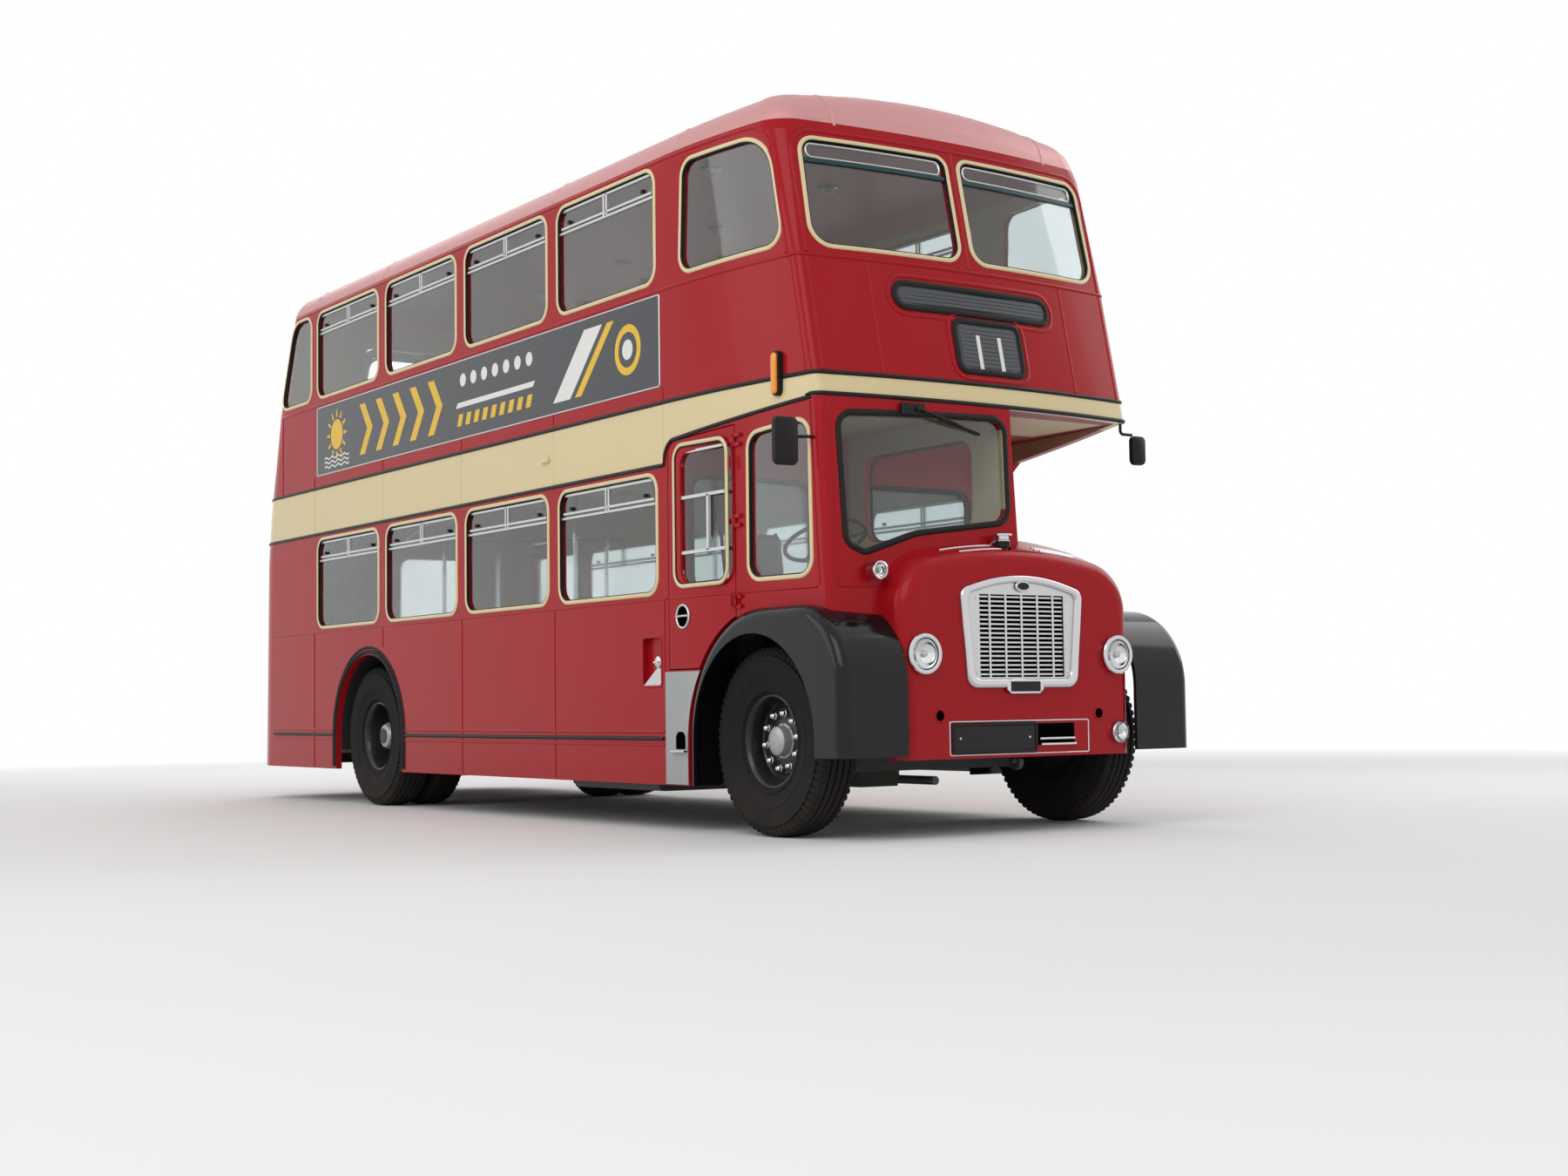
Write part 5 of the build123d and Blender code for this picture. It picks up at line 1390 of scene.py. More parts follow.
@dataclass
class WindowTrim:
    """Mouldings, seals and opening vents of the fixed windows."""

    skin: Skin
    glass: Skin
    lip: list[Point2] = field(default_factory=lambda: half_round(0.026, 0.009))
    seal: list[Point2] = field(default_factory=lambda: [(-0.006, -0.018), (-0.006, 0.001), (0.0, 0.004),
                                                        (0.004, 0.004), (0.004, -0.018)])

    def ring(self, maker: Maker, opening: Opening, out: float, section: Sequence[Point2]) -> None:
        """Runs a section round a window.

        Args:
            maker: Where the faces go.
            opening: The window.
            out: How far outside the opening the section's middle runs.
            section: The section.
        """
        path = grown(opening.path, out)
        sweep(maker, [self.skin.at(opening.facing, a, z) for a, z in path], section, True)

    def saloon(self) -> list[Opening]:
        """The side windows of both decks.

        Returns:
            Their openings, with a sliding vent each.
        """
        half, r = LINES.window_length / 2, LINES.window_radius
        found = []
        for facing in (Facing.OFFSIDE, Facing.NEARSIDE):
            for sill, head in (LINES.lower_window, LINES.upper_window):
                for bay in range(LINES.bay_count):
                    y = LINES.bulkhead_y + LINES.bay_pitch * (bay + 0.5)
                    corners = [(y - half, sill), (y + half, sill), (y + half, head), (y - half, head)]
                    found.append(Opening(facing, rounded(corners, r), True))
        return found

    def quarters(self) -> list[Opening]:
        """The upper quarter windows at the front and the rear.

        Returns:
            Their openings.
        """
        found = []
        r, front = LINES.window_radius, -3.5658
        sill, head = LINES.upper_window
        for facing in (Facing.OFFSIDE, Facing.NEARSIDE):
            ahead = [(-2.70, sill), (front, sill + 0.01), (front + 0.13, head - 0.03), (-2.73, head - 0.03)]
            behind = [(2.815, sill), (3.4667, sill), (3.1914, head), (2.815, head)]
            found += [Opening(facing, rounded(corners, [r, r, 0.24, r])) for corners in (ahead, behind)]
        return found

    def front(self) -> list[Opening]:
        """The two upper front windows.

        Returns:
            Their openings.
        """
        corners = ((0.055, 3.153), (1.0, 3.153), (0.985, 3.745), (0.055, 3.745))
        return [Opening(Facing.FRONT, rounded([(side * x, z) for x, z in corners], [0.09, 0.11, 0.08, 0.06]))
                for side in (-1, 1)]

    def cab(self) -> Opening:
        """The cab's fixed side window."""
        corners = [(-3.315, 1.385), (-3.79, 1.385), (-3.77, 2.19), (-3.315, 2.15)]
        return Opening(Facing.OFFSIDE, rounded(corners, 0.08))

    def rear(self) -> Opening:
        """The lower deck's rear window."""
        return Opening(Facing.REAR, block_outline((0.12, 1.358), (0.72, 2.022), 0.09))

    def windscreen(self) -> Opening:
        """The windscreen.

        Returns:
            Its opening.
        """
        corners = [(-0.975, 1.545), (-0.88, 1.5), (-0.56, 1.61), (0.06, 1.69), (0.075, 2.24),
                   (-0.985, 2.215)]
        return Opening(Facing.FRONT, rounded(corners, [0.06, 0.06, 0.3, 0.09, 0.08, 0.08]))

    def build(self) -> None:
        """Builds every fixed window's trim."""
        cream, seal, vents = Maker().use(Coat.CREAM), Maker().use(Coat.RUBBER), Maker()
        for opening in [*self.saloon(), *self.quarters(), *self.front(), self.cab(), self.rear()]:
            self.ring(cream, opening, 0.013, self.lip)
            self.ring(seal, opening, 0.001, self.seal)
            if opening.vented:
                self.side_vent(vents, opening)
        for opening in self.front():
            self.front_vent(vents, opening)
        self.ring(seal, self.windscreen(), 0.012, half_round(0.034, 0.012))
        self.bulkhead_windows(seal)
        cream.finish("window_mouldings", slot="body_red")
        seal.finish("window_seals", slot="black_paint")
        vents.finish("opening_vents", slot="alloy")

    def side_vent(self, maker: Maker, opening: Opening) -> None:
        """Adds the sliding vent's rails and catches across the top of a window.

        Args:
            maker: Where the faces go.
            opening: The window.
        """
        maker.use(Coat.ALLOY)
        low_z, high_z = min(p[1] for p in opening.path), max(p[1] for p in opening.path)
        a, b = min(p[0] for p in opening.path), max(p[0] for p in opening.path)
        rail = high_z - 0.235 * (high_z - low_z)
        bar = flat_bar(0.016, 0.009, sunk=0.010)
        look = partial(self.glass.at, opening.facing)
        for z, inset in ((rail, 0.002), (rail + 0.028, 0.03), (high_z - 0.016, 0.05)):
            run = b - a - 2 * inset
            sweep(maker, [look(a + inset + run * i / 4, z) for i in range(5)], bar, False)
        for y in ((a + b) / 2 - 0.012, (a + b) / 2 + 0.02):
            sweep(maker, [look(y, z) for z in (rail, (rail + high_z) / 2, high_z - 0.012)], bar, False)
        maker.use(Coat.BEAD)
        for y in (a + 0.13, b - 0.13):
            catch = [look(y + 0.012 * i, rail + 0.055) for i in (-1, 0, 1)]
            sweep(maker, catch, flat_bar(0.02, 0.016), False)

    def front_vent(self, maker: Maker, opening: Opening) -> None:
        """Adds the opening vent along the top of a front window, with its bar below.

        Args:
            maker: Where the faces go.
            opening: The window.
        """
        side = 1 if opening.path[0][0] > 0 else -1
        frame_path = block_outline((0.085, 3.648), (0.955, 3.727), 0.034)
        path = [self.glass.at(Facing.FRONT, side * x, z) for x, z in frame_path]
        sweep(maker.use(Coat.ALLOY), path, half_round(0.014, 0.010), True)
        bar = [self.glass.at(Facing.FRONT, side * (0.062 + 0.925 * i / 10), 3.628) for i in range(11)]
        sweep(maker.use(Coat.TEAL), bar, flat_bar(0.024, 0.012, sunk=0.008), False)

    def bulkhead_windows(self, maker: Maker) -> None:
        """Adds the seals of the windows in the front bulkhead and the cab's inner wall.

        Args:
            maker: Where the faces go.
        """
        seal, (sill, head) = half_round(0.024, 0.008), LINES.lower_window
        for x in (-0.61, 0.61):
            outline = block_outline((x - 0.425, sill), (x + 0.425, head), 0.09)
            for face in (Face.front(-2.515), Face((0.0, -2.475, 0.0), (-1.0, 0.0, 0.0))):
                maker.rim(face, outline, seal)
        outline = block_outline((-3.65, 1.66), (-2.65, 2.18), 0.11)
        maker.rim(Face((0.148, 0.0, 0.0), (0.0, 1.0, 0.0)), outline, seal)


@dataclass
class DestinationBoxes:
    """The route and number boxes over the canopy, with blank cloths and a plain number."""

    route: tuple[Point2, Point2, float] = ((-0.545, 2.837), (0.545, 2.973), 0.066)
    number: tuple[Point2, Point2, float] = ((-0.175, 2.507), (0.285, 2.793), 0.047)
    figures: Point2 = (-0.022, 0.132)
    figure_low: float = 2.508
    figure_tall: float = 0.208

    def build(self, skin: Skin) -> None:
        """Builds both boxes on the upper front, with a red moulding round each.

        Args:
            skin: The surface of the upper front with the boxes in their holes.
        """
        case, frames, red = Maker(), Maker().use(Coat.RUBBER), Maker().use(Coat.RED)
        at = partial(skin.at, Facing.FRONT)
        for (low, high, radius), pleats in ((self.route, 4), (self.number, 10)):
            path = block_outline(low, high, radius)
            front = [at(x, z)[0] for x, z in grown(path, -0.002)]
            case.use(Coat.BLIND).loft([[p + Vector((0, 0.030, 0)) for p in front], front])
            sweep(frames, [at(x, z) for x, z in path], half_round(0.036, 0.011), True)
            sweep(red, [at(x, z) for x, z in grown(path, 0.042)], half_round(0.024, 0.007), True)
            tall = (high[1] - low[1] - 0.05) / pleats
            start, wide = low[0] + 0.03, high[0] - low[0] - 0.06
            for i in range(pleats):
                run = [at(start + wide * j / 6, low[1] + 0.025 + tall * (i + 0.5)) for j in range(7)]
                sweep(case, run, half_round(tall * 0.92, 0.0022, 4), False)
        for x in self.figures:
            bar = [at(x, self.figure_low + self.figure_tall * j / 4) for j in range(5)]
            sweep(case.use(Coat.WHITE), bar, flat_bar(0.026, 0.0042), False)
        case.finish("blind_cloths", slot="black_paint", replaces=("destination_boxes",))
        frames.finish("blind_frames", slot="black_paint")
        red.finish("blind_mouldings", slot="body_red")


@dataclass
class DoorTrim:
    """Window rims, rails, handles and hinges of the doors that open."""

    pane: tuple[float, float] = (-3.135, -2.625)
    rails: tuple[tuple[float, float], ...] = ((1.87, 0.009), (1.56, 0.009))
    handle: Point2 = (2.688, 1.204)
    hinge_levels: tuple[float, ...] = (1.27, 2.02)
    leaf_middles: tuple[tuple[str, float], ...] = (("front", 3.0135), ("rear", 3.4465))
    leaf_faces: tuple[tuple[float, float], ...] = ((1.2115, 1.0), (1.1755, -1.0))

    def build(self) -> None:
        """Trims the cab door, the platform leaves and the emergency window."""
        self.cab_door()
        self.platform_leaves()
        self.emergency_window()

    def cab_door(self) -> None:
        """The cab door's window frame, sliding pane rails, handle recess with a dark disc of painted shade,
        and hinge pins.
        """
        face = Face((-SIDE_X, 0.0, 0.0), (0.0, -1.0, 0.0))
        outline = rounded([(2.62, 1.385), (3.14, 1.385), (3.14, 2.15), (2.62, 2.16)], 0.075)
        seal = [(-0.006, -0.018), (-0.006, 0.003), (0.004, 0.004), (0.004, -0.018)]
        trim = Maker().use(Coat.CREAM)
        trim.rim(face, grown(outline, 0.012), half_round(0.024, 0.009))
        trim.use(Coat.RUBBER).rim(face, outline, seal)
        trim.finish("cab_door_mouldings", "cab_door", slot="body_red")
        metal = Maker().use(Coat.ALLOY)
        front, rear = self.pane
        for z, half in (*self.rails, (2.125, 0.007)):
            metal.box((-1.212, front, z - half), (-1.196, rear, z + half))
        metal.box((-1.212, -2.955, 1.56), (-1.196, -2.934, 1.87))
        metal.rim(face, disc(0.064, self.handle), half_round(0.014, 0.006))
        # the handle recess: a near-black disc of painted shade inside the rim
        metal.use(Coat.PAINTED_SHADE).plate(face, disc(0.060, self.handle), 0.0, 0.0012)
        grip = [(-1.224, -2.748, 1.206), (-1.227, -2.69, 1.206), (-1.224, -2.628, 1.206)]
        metal.use(Coat.CHROME).tube(grip, 0.0075)
        metal.finish("cab_door_fittings", "cab_door", slot="alloy")
        hinges = Maker().use(Coat.RED)
        for z in self.hinge_levels:
            hinges.lathe([(-0.035, 0.0), (-0.035, 0.008), (0.035, 0.008), (0.035, 0.0)],
                         Vector((-1.222, -3.188, z)), Vector((0, 0, 1)), 12)
        hinges.finish("cab_door_hinge_pins", "cab_door", slot="body_red")

    def platform_leaves(self) -> None:
        """Window rims, kick plates and grab handles of the platform door's leaves."""
        outline = block_outline((-0.1415, 0.98), (0.1415, 2.02), 0.06)
        kick = block_outline((-0.165, 0.42), (0.165, 0.60), 0.01)
        for name, middle in self.leaf_middles:
            trim = Maker()
            for x, way in self.leaf_faces:
                face = Face((x, middle, 0.0), (0.0, way, 0.0))
                trim.use(Coat.RUBBER).rim(face, outline, half_round(0.024, 0.007))
                trim.use(Coat.KICK).plate(face, kick, 0.0, 0.0025, 0.001)
            grip = [(x, middle + 0.16, z) for x,
                    z in ((1.181, 1.05), (1.150, 1.05), (1.150, 1.42), (1.181, 1.42))]
            trim.use(Coat.CHROME).tube(bent(grip, 0.02), 0.009)
            trim.finish(f"platform_leaf_trim_{name}", f"platform_leaf_{name}", slot="black_paint")

    @staticmethod
    def emergency_window() -> None:
        """The rim of the upper emergency window."""
        node = Skin(["upper_emergency_window", "upper_emergency_glass"])
        trim = Maker().use(Coat.RUBBER)
        outline = block_outline((-0.375, 3.22), (0.375, 3.68), 0.09)
        sweep(trim, [node.at(Facing.REAR, x, z) for x, z in outline], half_round(0.026, 0.009), True)
        trim.finish("emergency_window_rim", "upper_emergency_window", slot="black_paint")


@dataclass
class RadiatorGrille:
    """The bright radiator shell with its louvres, upright bars and blank badges."""

    front_y: float = -4.174
    back_y: float = -4.128
    slat_low: float = 0.838
    slat_high: float = 1.272
    slat_half: float = 0.293
    slats: int = 18
    bars: Sequence[float] = (-0.223, -0.112, 0.0, 0.112, 0.223)
    outer: Sequence[Point2] = ((-0.385, 0.775), (0.385, 0.775), (0.432, 1.3), (0.0, 1.425), (-0.432, 1.3))
    outer_round: Sequence[float] = (0.07, 0.07, 0.06, 1.15, 0.06)
    inner: Sequence[Point2] = ((-0.335, 0.825), (0.335, 0.825), (0.378, 1.272), (0.0, 1.372), (-0.378, 1.272))
    inner_round: Sequence[float] = (0.045, 0.045, 0.04, 1.05, 0.04)
    oval: Point2 = (0.0, 1.318)

    def build(self) -> None:
        """Builds the shell, the plate inside it, the louvres, bars and badges."""
        self.shell()
        self.louvres()
        self.badges()

    def shell(self) -> None:
        """The domed bright shell and the flat plate inside it, with its screws."""
        outer = rounded(self.outer, self.outer_round, 12, 0.03)
        inner = rounded(self.inner, self.inner_round, 12, 0.03)
        matched = [min(inner, key=lambda p: (p[0] - u * 0.875) ** 2 + (p[1] - 1.07 - (v - 1.07) * 0.86) ** 2)
                   for u, v in outer]
        front = self.front_y
        levels = [(0.0, self.back_y), (0.0, front + 0.016), (0.06, front + 0.007), (0.18, front + 0.0015),
                  (0.32, front), (0.68, front), (0.84, front + 0.002), (0.95, front + 0.008),
                  (1.0, front + 0.018), (1.0, self.back_y)]
        metal = Maker().use(Coat.CHROME)
        metal.loft([[Vector((a + (c - a) * share, y, b + (d - b) * share))
                     for (a, b), (c, d) in zip(outer, matched)] for share, y in levels], closed=True)
        metal.finish("grille_shell", slot="bright", smooth=50.0, replaces=("radiator_grille",))
        plate = Maker().use(Coat.ALLOY)
        level, size, low = front + 0.017, self.slat_half + 0.004, self.slat_low - 0.004
        corners = [(-size, low), (size, low), (size, self.slat_high), (-size, self.slat_high)]
        around = rounded(corners, 0.004, 2, 0.03)
        hole = [min(around, key=lambda p: (p[0] - u * 0.86) ** 2 + (p[1] - v) ** 2) for u, v in inner]
        plate.loft([[Vector((u, y, v)) for u, v in path]
                    for path, y in ((inner, level), (hole, level), (hole, level + 0.010))], cap=False)
        for x, z in [(side * 0.318, 0.86 + 0.13 * i) for side in (-1, 1) for i in range(4)]:
            plate.use(Coat.CHROME).lathe([(0.0, 0.008), (0.003, 0.007), (0.004, 0.0)], Vector((x, level, z)),
                                         AHEAD, 14)
        plate.finish("grille_plate", slot="alloy")

    def louvres(self) -> None:
        """Slanted louvre slats, the upright bars over them and a near-black box of painted shade behind them.
        """
        slats = Maker().use(Coat.ALLOY)
        half, low, high = self.slat_half, self.slat_low, self.slat_high
        pitch, y = (high - low) / self.slats, self.front_y + 0.026
        for z in (low + pitch * (i + 0.5) for i in range(self.slats)):
            section = [(y + 0.008, z - pitch * 0.24), (y - 0.002, z - pitch * 0.20),
                       (y - 0.001, z + pitch * 0.16), (y + 0.010, z + pitch * 0.24)]
            slats.loft([[Vector((x, a, b)) for a, b in section] for x in (-half, half)])
        # painted shade: a near-black box behind the slats stands in for the dark opening
        slats.use(Coat.PAINTED_SHADE).box((-half, self.back_y - 0.004, low), (half, self.back_y, high))
        slats.finish("grille_louvres", slot="alloy")
        bars = Maker().use(Coat.ALLOY)
        section = [(-0.0065, 0.024), (-0.0065, 0.021), (-0.004, 0.018), (0.004, 0.018), (0.0065, 0.021),
                   (0.0065, 0.024)]
        for x in self.bars:
            bars.loft([[Vector((x + a, self.front_y + b, z)) for a, b in section]
                       for z in (low - 0.01, high + 0.006)])
        bars.finish("grille_bars", slot="bright")

    def badges(self) -> None:
        """The blank oval badge at the top and the blank badge plate at the bottom."""
        badge = Maker()
        face = Face.front(self.front_y + 0.012)
        badge.use(Coat.CHROME).plate(face, disc(0.052, self.oval, 36, 0.030), 0.0, 0.010, 0.003)
        badge.use(Coat.BLACK).plate(face, disc(0.041, self.oval, 36, 0.020), 0.008, 0.011)
        low = Face.front(self.front_y)
        corners = [(-0.128, 0.768), (-0.100, 0.746), (0.100, 0.746), (0.128, 0.768), (0.128, 0.800),
                   (0.100, 0.822), (-0.100, 0.822), (-0.128, 0.800)]
        badge.use(Coat.CHROME).plate(low, rounded(corners, 0.006, 3), -0.012, 0.003, 0.002)
        badge.use(Coat.BLACK).plate(low, block_outline((-0.104, 0.757), (0.104, 0.811), 0.006), 0.002, 0.0036)
        badge.finish("grille_badges", slot="bright")


@dataclass
class Lamps:
    """Headlamps, fog lamp, side lamp, rear lamps and the amber lamps on the front corners."""

    forward: Sequence[tuple[tuple[float, float, float], float, float, float]] = (
        ((-0.68, -4.186, 0.955), 0.108, 0.034, 0.72),
        ((0.68, -4.186, 0.955), 0.108, 0.034, 0.72),
        ((0.69, -4.184, 0.53), 0.062, 0.034, 0.86),
        ((-0.86, -4.052, 1.39), 0.050, 0.075, 0.66),
    )
    rear: Sequence[tuple[float, Coat]] = ((0.62, Coat.RED_LENS), (0.74, Coat.AMBER))

    def build(self) -> None:
        """Builds every lamp in place of the CAD's plain ones."""
        bright, ears = Maker(), Maker()
        for place, radius, depth, lens in self.forward:
            self.round_lamp(bright, Vector(place), radius, depth, lens)
        for side in (-1, 1):
            for z, coat in self.rear:
                place = Vector((side * 0.64, 4.183, z))
                bright.use(Coat.CHROME).lathe([(-0.03, 0.048), (-0.008, 0.048), (-0.004, 0.044)], place,
                                              -AHEAD, 32)
                dome = [(-0.006, 0.044), (-0.003, 0.034), (-0.0005, 0.018), (0.0, 0.0)]
                bright.use(coat).lathe(dome, place, -AHEAD, 32)
            face = Face((side * 1.160, -3.56, 2.455), (0.0, float(side), 0.0))
            case, lens = (block_outline((-w, -h), (w, h), r) for w, h, r in ((0.030, 0.120, 0.026),
                                                                             (0.022, 0.110, 0.020)))
            ears.use(Coat.BEAD).plate(face, case, -0.02, 0.014, 0.003)
            ears.use(Coat.AMBER).plate(face, lens, 0.010, 0.030, 0.008)
        bright.finish("lamp_set", slot="bright", replaces=("lamps",))
        ears.finish("corner_lamps", slot="bright")

    @staticmethod
    def round_lamp(maker: Maker, front: Vector, radius: float, depth: float, lens: float) -> None:
        """A lamp facing forward, with a bright rim, a dark ring of painted shade, a bowl and a domed lens.

        Args:
            maker: Where the faces go.
            front: Middle of the rim's front.
            radius: Its outer radius.
            depth: How far the case goes back.
            lens: The lens's radius as a share of the rim's.
        """
        r, g = radius, radius * lens
        case = [(-depth, r * 0.93), (-0.020, r * 0.98), (-0.010, r), (-0.004, r * 0.97),
                (-0.001, (r + g) / 2),
                (-0.004, g * 1.08), (-0.010, g * 1.06)]
        bowl = [(-0.009, g * 1.01), (-0.018, g * 0.85), (-0.027, g * 0.55), (-0.032, g * 0.22), (-0.033, 0.0)]
        shade = [(-0.030, g * 0.2), (-0.017, g * 0.2), (-0.015, g * 0.14), (-0.014, 0.0)]
        dome = [(-0.010, g), (-0.005, g * 0.93), (-0.001, g * 0.66), (0.0, g * 0.3), (0.0, 0.0)]
        # the near-black ring between the rim and the lens is painted shade
        for coat, profile, steps in ((Coat.CHROME, case, 48),
                                     (Coat.PAINTED_SHADE, [(-0.009, g * 1.08), (-0.010, g)], 48),
                                     (Coat.REFLECTOR, bowl, 40), (Coat.ALLOY, shade, 24),
                                     (Coat.LENS, dome, 40)):
            maker.use(coat).lathe(profile, front, AHEAD, steps)


@dataclass
class FrontPlates:
    """The blank number plate, the slot and holes in the apron drawn as painted shade, and the vents over the
    grille.
    """

    plate: tuple[Point2, Point2] = ((-0.476, 0.452), (0.076, 0.578))
    surround: tuple[Point2, Point2] = ((-0.506, 0.428), (0.470, 0.602))
    slot: tuple[Point2, Point2] = ((0.100, 0.470), (0.365, 0.586))
    ledges: Sequence[Point2] = ((0.470, 0.022), (0.500, 0.012))
    holes: Sequence[Point2] = ((-0.57, 0.635), (0.55, 0.635))
    strips: Sequence[tuple[float, float, float]] = (
        (-0.46, -0.075, -4.03), (-0.40, -0.070, -4.06), (-0.375, -0.084, -4.09))
    cap: tuple[float, float, float] = (-0.04, -4.055, 1.535)

    def build(self) -> None:
        """Builds the plates, slot, hole rims, vent strips and radiator cap."""
        cowl = Skin(["front_cowl", "bonnet_lid", "front_wing_offside", "front_wing_nearside", "cab_front",
                     "radiator"])
        y = cowl.at(Facing.FRONT, -0.2, 0.52)[0].y
        self.apron(Face.front(y), y)
        down = Vector((0, 0, -1))
        strips = Maker().use(Coat.CHROME)
        for start, end, station in self.strips:
            for low, high in ((start, end), (-end + 0.11, -start + 0.06)):
                path = [cowl.look(Vector((low + (high - low) * i / 12, station, 3.0)), down)
                        for i in range(13)]
                if max(abs(a[0].z - b[0].z) for a, b in zip(path, path[1:])) < 0.03:
                    sweep(strips, path, half_round(0.012, 0.006), False)
        strips.finish("cowl_strips", slot="bright")
        x, y, z = self.cap
        foot = cowl.look(Vector((x, y, 3.0)), down)[0].z - z
        profile = [(-0.01, 0.040), (0.006, 0.040), (0.010, 0.034), (0.028, 0.034), (0.030, 0.052),
                   (0.040, 0.052),
                   (0.045, 0.040), (0.047, 0.0)]
        cap = Maker().use(Coat.CHROME)
        cap.lathe([(foot + a, r) for a, r in profile], Vector(self.cap), -down, 32)
        cap.finish("radiator_cap", slot="bright")

    def apron(self, face: Face, y: float) -> None:
        """Builds what is on the apron under the grille.

        Args:
            face: The apron's plane.
            y: Its station.
        """
        low, high = self.plate
        apron = Maker().use(Coat.BEAD)
        around = ((low[0] - 0.012, low[1] - 0.010), (high[0] + 0.012, high[1] + 0.010))
        apron.rim(face, block_outline(*around, 0.012), flat_bar(0.016, 0.009))
        apron.use(Coat.BLACK).plate(face, block_outline(low, high, 0.006), 0.0, 0.006, 0.0015)
        apron.use(Coat.ALLOY).rim(face, block_outline(*self.surround, 0.008), half_round(0.008, 0.004))
        for x in (-0.44, 0.04):
            screw = [(0.0, 0.007), (0.002, 0.006), (0.003, 0.0)]
            apron.use(Coat.CHROME).lathe(screw, face.at(x, 0.515, 0.006), AHEAD, 12)
        # the slot: a near-black plate of painted shade
        apron.use(Coat.PAINTED_SHADE).plate(face, block_outline(*self.slot, 0.004), 0.0, 0.0012)
        for height, reach in self.ledges:
            apron.use(Coat.CHROME).box((0.110, y - reach, height), (0.362, y + 0.001, height + 0.010))
        for hole in self.holes:
            # each hole: a near-black disc of painted shade inside a red rim
            apron.use(Coat.PAINTED_SHADE).plate(face, disc(0.029, hole, 24), 0.0, 0.0012)
            apron.use(Coat.RED).rim(face, disc(0.033, hole, 24), half_round(0.012, 0.006))
        apron.finish("front_plates", slot="black_paint")


class CabFittings:
    """The wiper, the grab handle and the mirrors."""

    MIRRORS = ((-1.29, 2.06, 0.150, 0.250), (1.225, 2.16, 0.110, 0.170))
    ARMS = (((-1.055, -3.815, 2.09), (-1.14, -3.818, 2.09), (-1.225, -3.818, 2.085)),
            ((1.089, -3.816, 2.308), (1.089, -3.816, 2.249), (1.18, -3.816, 2.249)))
    HANDLE = ((0.128, -3.836, 2.005), (0.150, -3.862, 2.0), (0.150, -3.885, 1.722), (0.128, -3.866, 1.716))

    def build(self) -> None:
        """Builds the wiper, handle and mirrors."""
        self.wiper()
        grip = Maker().use(Coat.CHROME)
        grip.tube(bent(self.HANDLE, 0.03), 0.0105, 14)
        grip.finish("cab_grab_handle", slot="bright")
        self.mirrors()

    @staticmethod
    def wiper() -> None:
        """The windscreen wiper with its motor box over the glass."""
        piece = Maker().use(Coat.BEAD)
        shell = Skin(["cab_front", "body_glass"])
        pivot = shell.at(Facing.FRONT, -0.522, 2.262)[0]
        piece.box((-0.625, pivot.y - 0.028, 2.232), (-0.469, pivot.y + 0.004, 2.290), 0.008)
        piece.lathe([(0.0, 0.016), (0.040, 0.014), (0.044, 0.0)], pivot, AHEAD, 16)
        tip = shell.at(Facing.FRONT, -0.091, 2.155)[0]
        start, end = pivot + AHEAD * 0.038, tip + AHEAD * 0.012
        piece.tube([start, start.lerp(end, 0.5) + AHEAD * 0.012, start.lerp(end, 0.72)], 0.0075)
        along, middle = (end - start).normalized(), start.lerp(end, 0.66)
        blade = [middle + along * t for t in (-0.17, -0.08, 0.0, 0.08, 0.15)]
        piece.tube([Vector((p.x, shell.at(Facing.FRONT, p.x, p.z)[0].y - 0.010, p.z)) for p in blade], 0.009)
        piece.finish("wiper", slot="black_paint")

    def mirrors(self) -> None:
        """Both driving mirrors on their arms."""
        piece = Maker()
        face = Face.front(-3.817)
        for x, z, wide, tall in self.MIRRORS:
            outline = block_outline((x - wide / 2, z - tall / 2), (x + wide / 2, z + tall / 2), 0.032)
            rings = [(grown(outline, -0.012), 0.017), (grown(outline, -0.003), 0.012), (outline, 0.002),
                     (outline, -0.014), (grown(outline, -0.007), -0.0175)]
            piece.use(Coat.BEAD).loft([[face.at(u, v, w) for u, v in path] for path, w in rings])
            glass = [Vector((u, -3.7993, v)) for u, v in grown(outline, -0.009)]
            piece.use(Coat.REFLECTOR).loft([glass, [p + AHEAD * 0.001 for p in glass]])
        for arm, bend in zip(self.ARMS, (0.03, 0.025)):
            piece.use(Coat.BEAD).tube(bent(arm, bend), 0.009)
        piece.finish("mirror_set", slot="black_paint", replaces=("mirrors",))


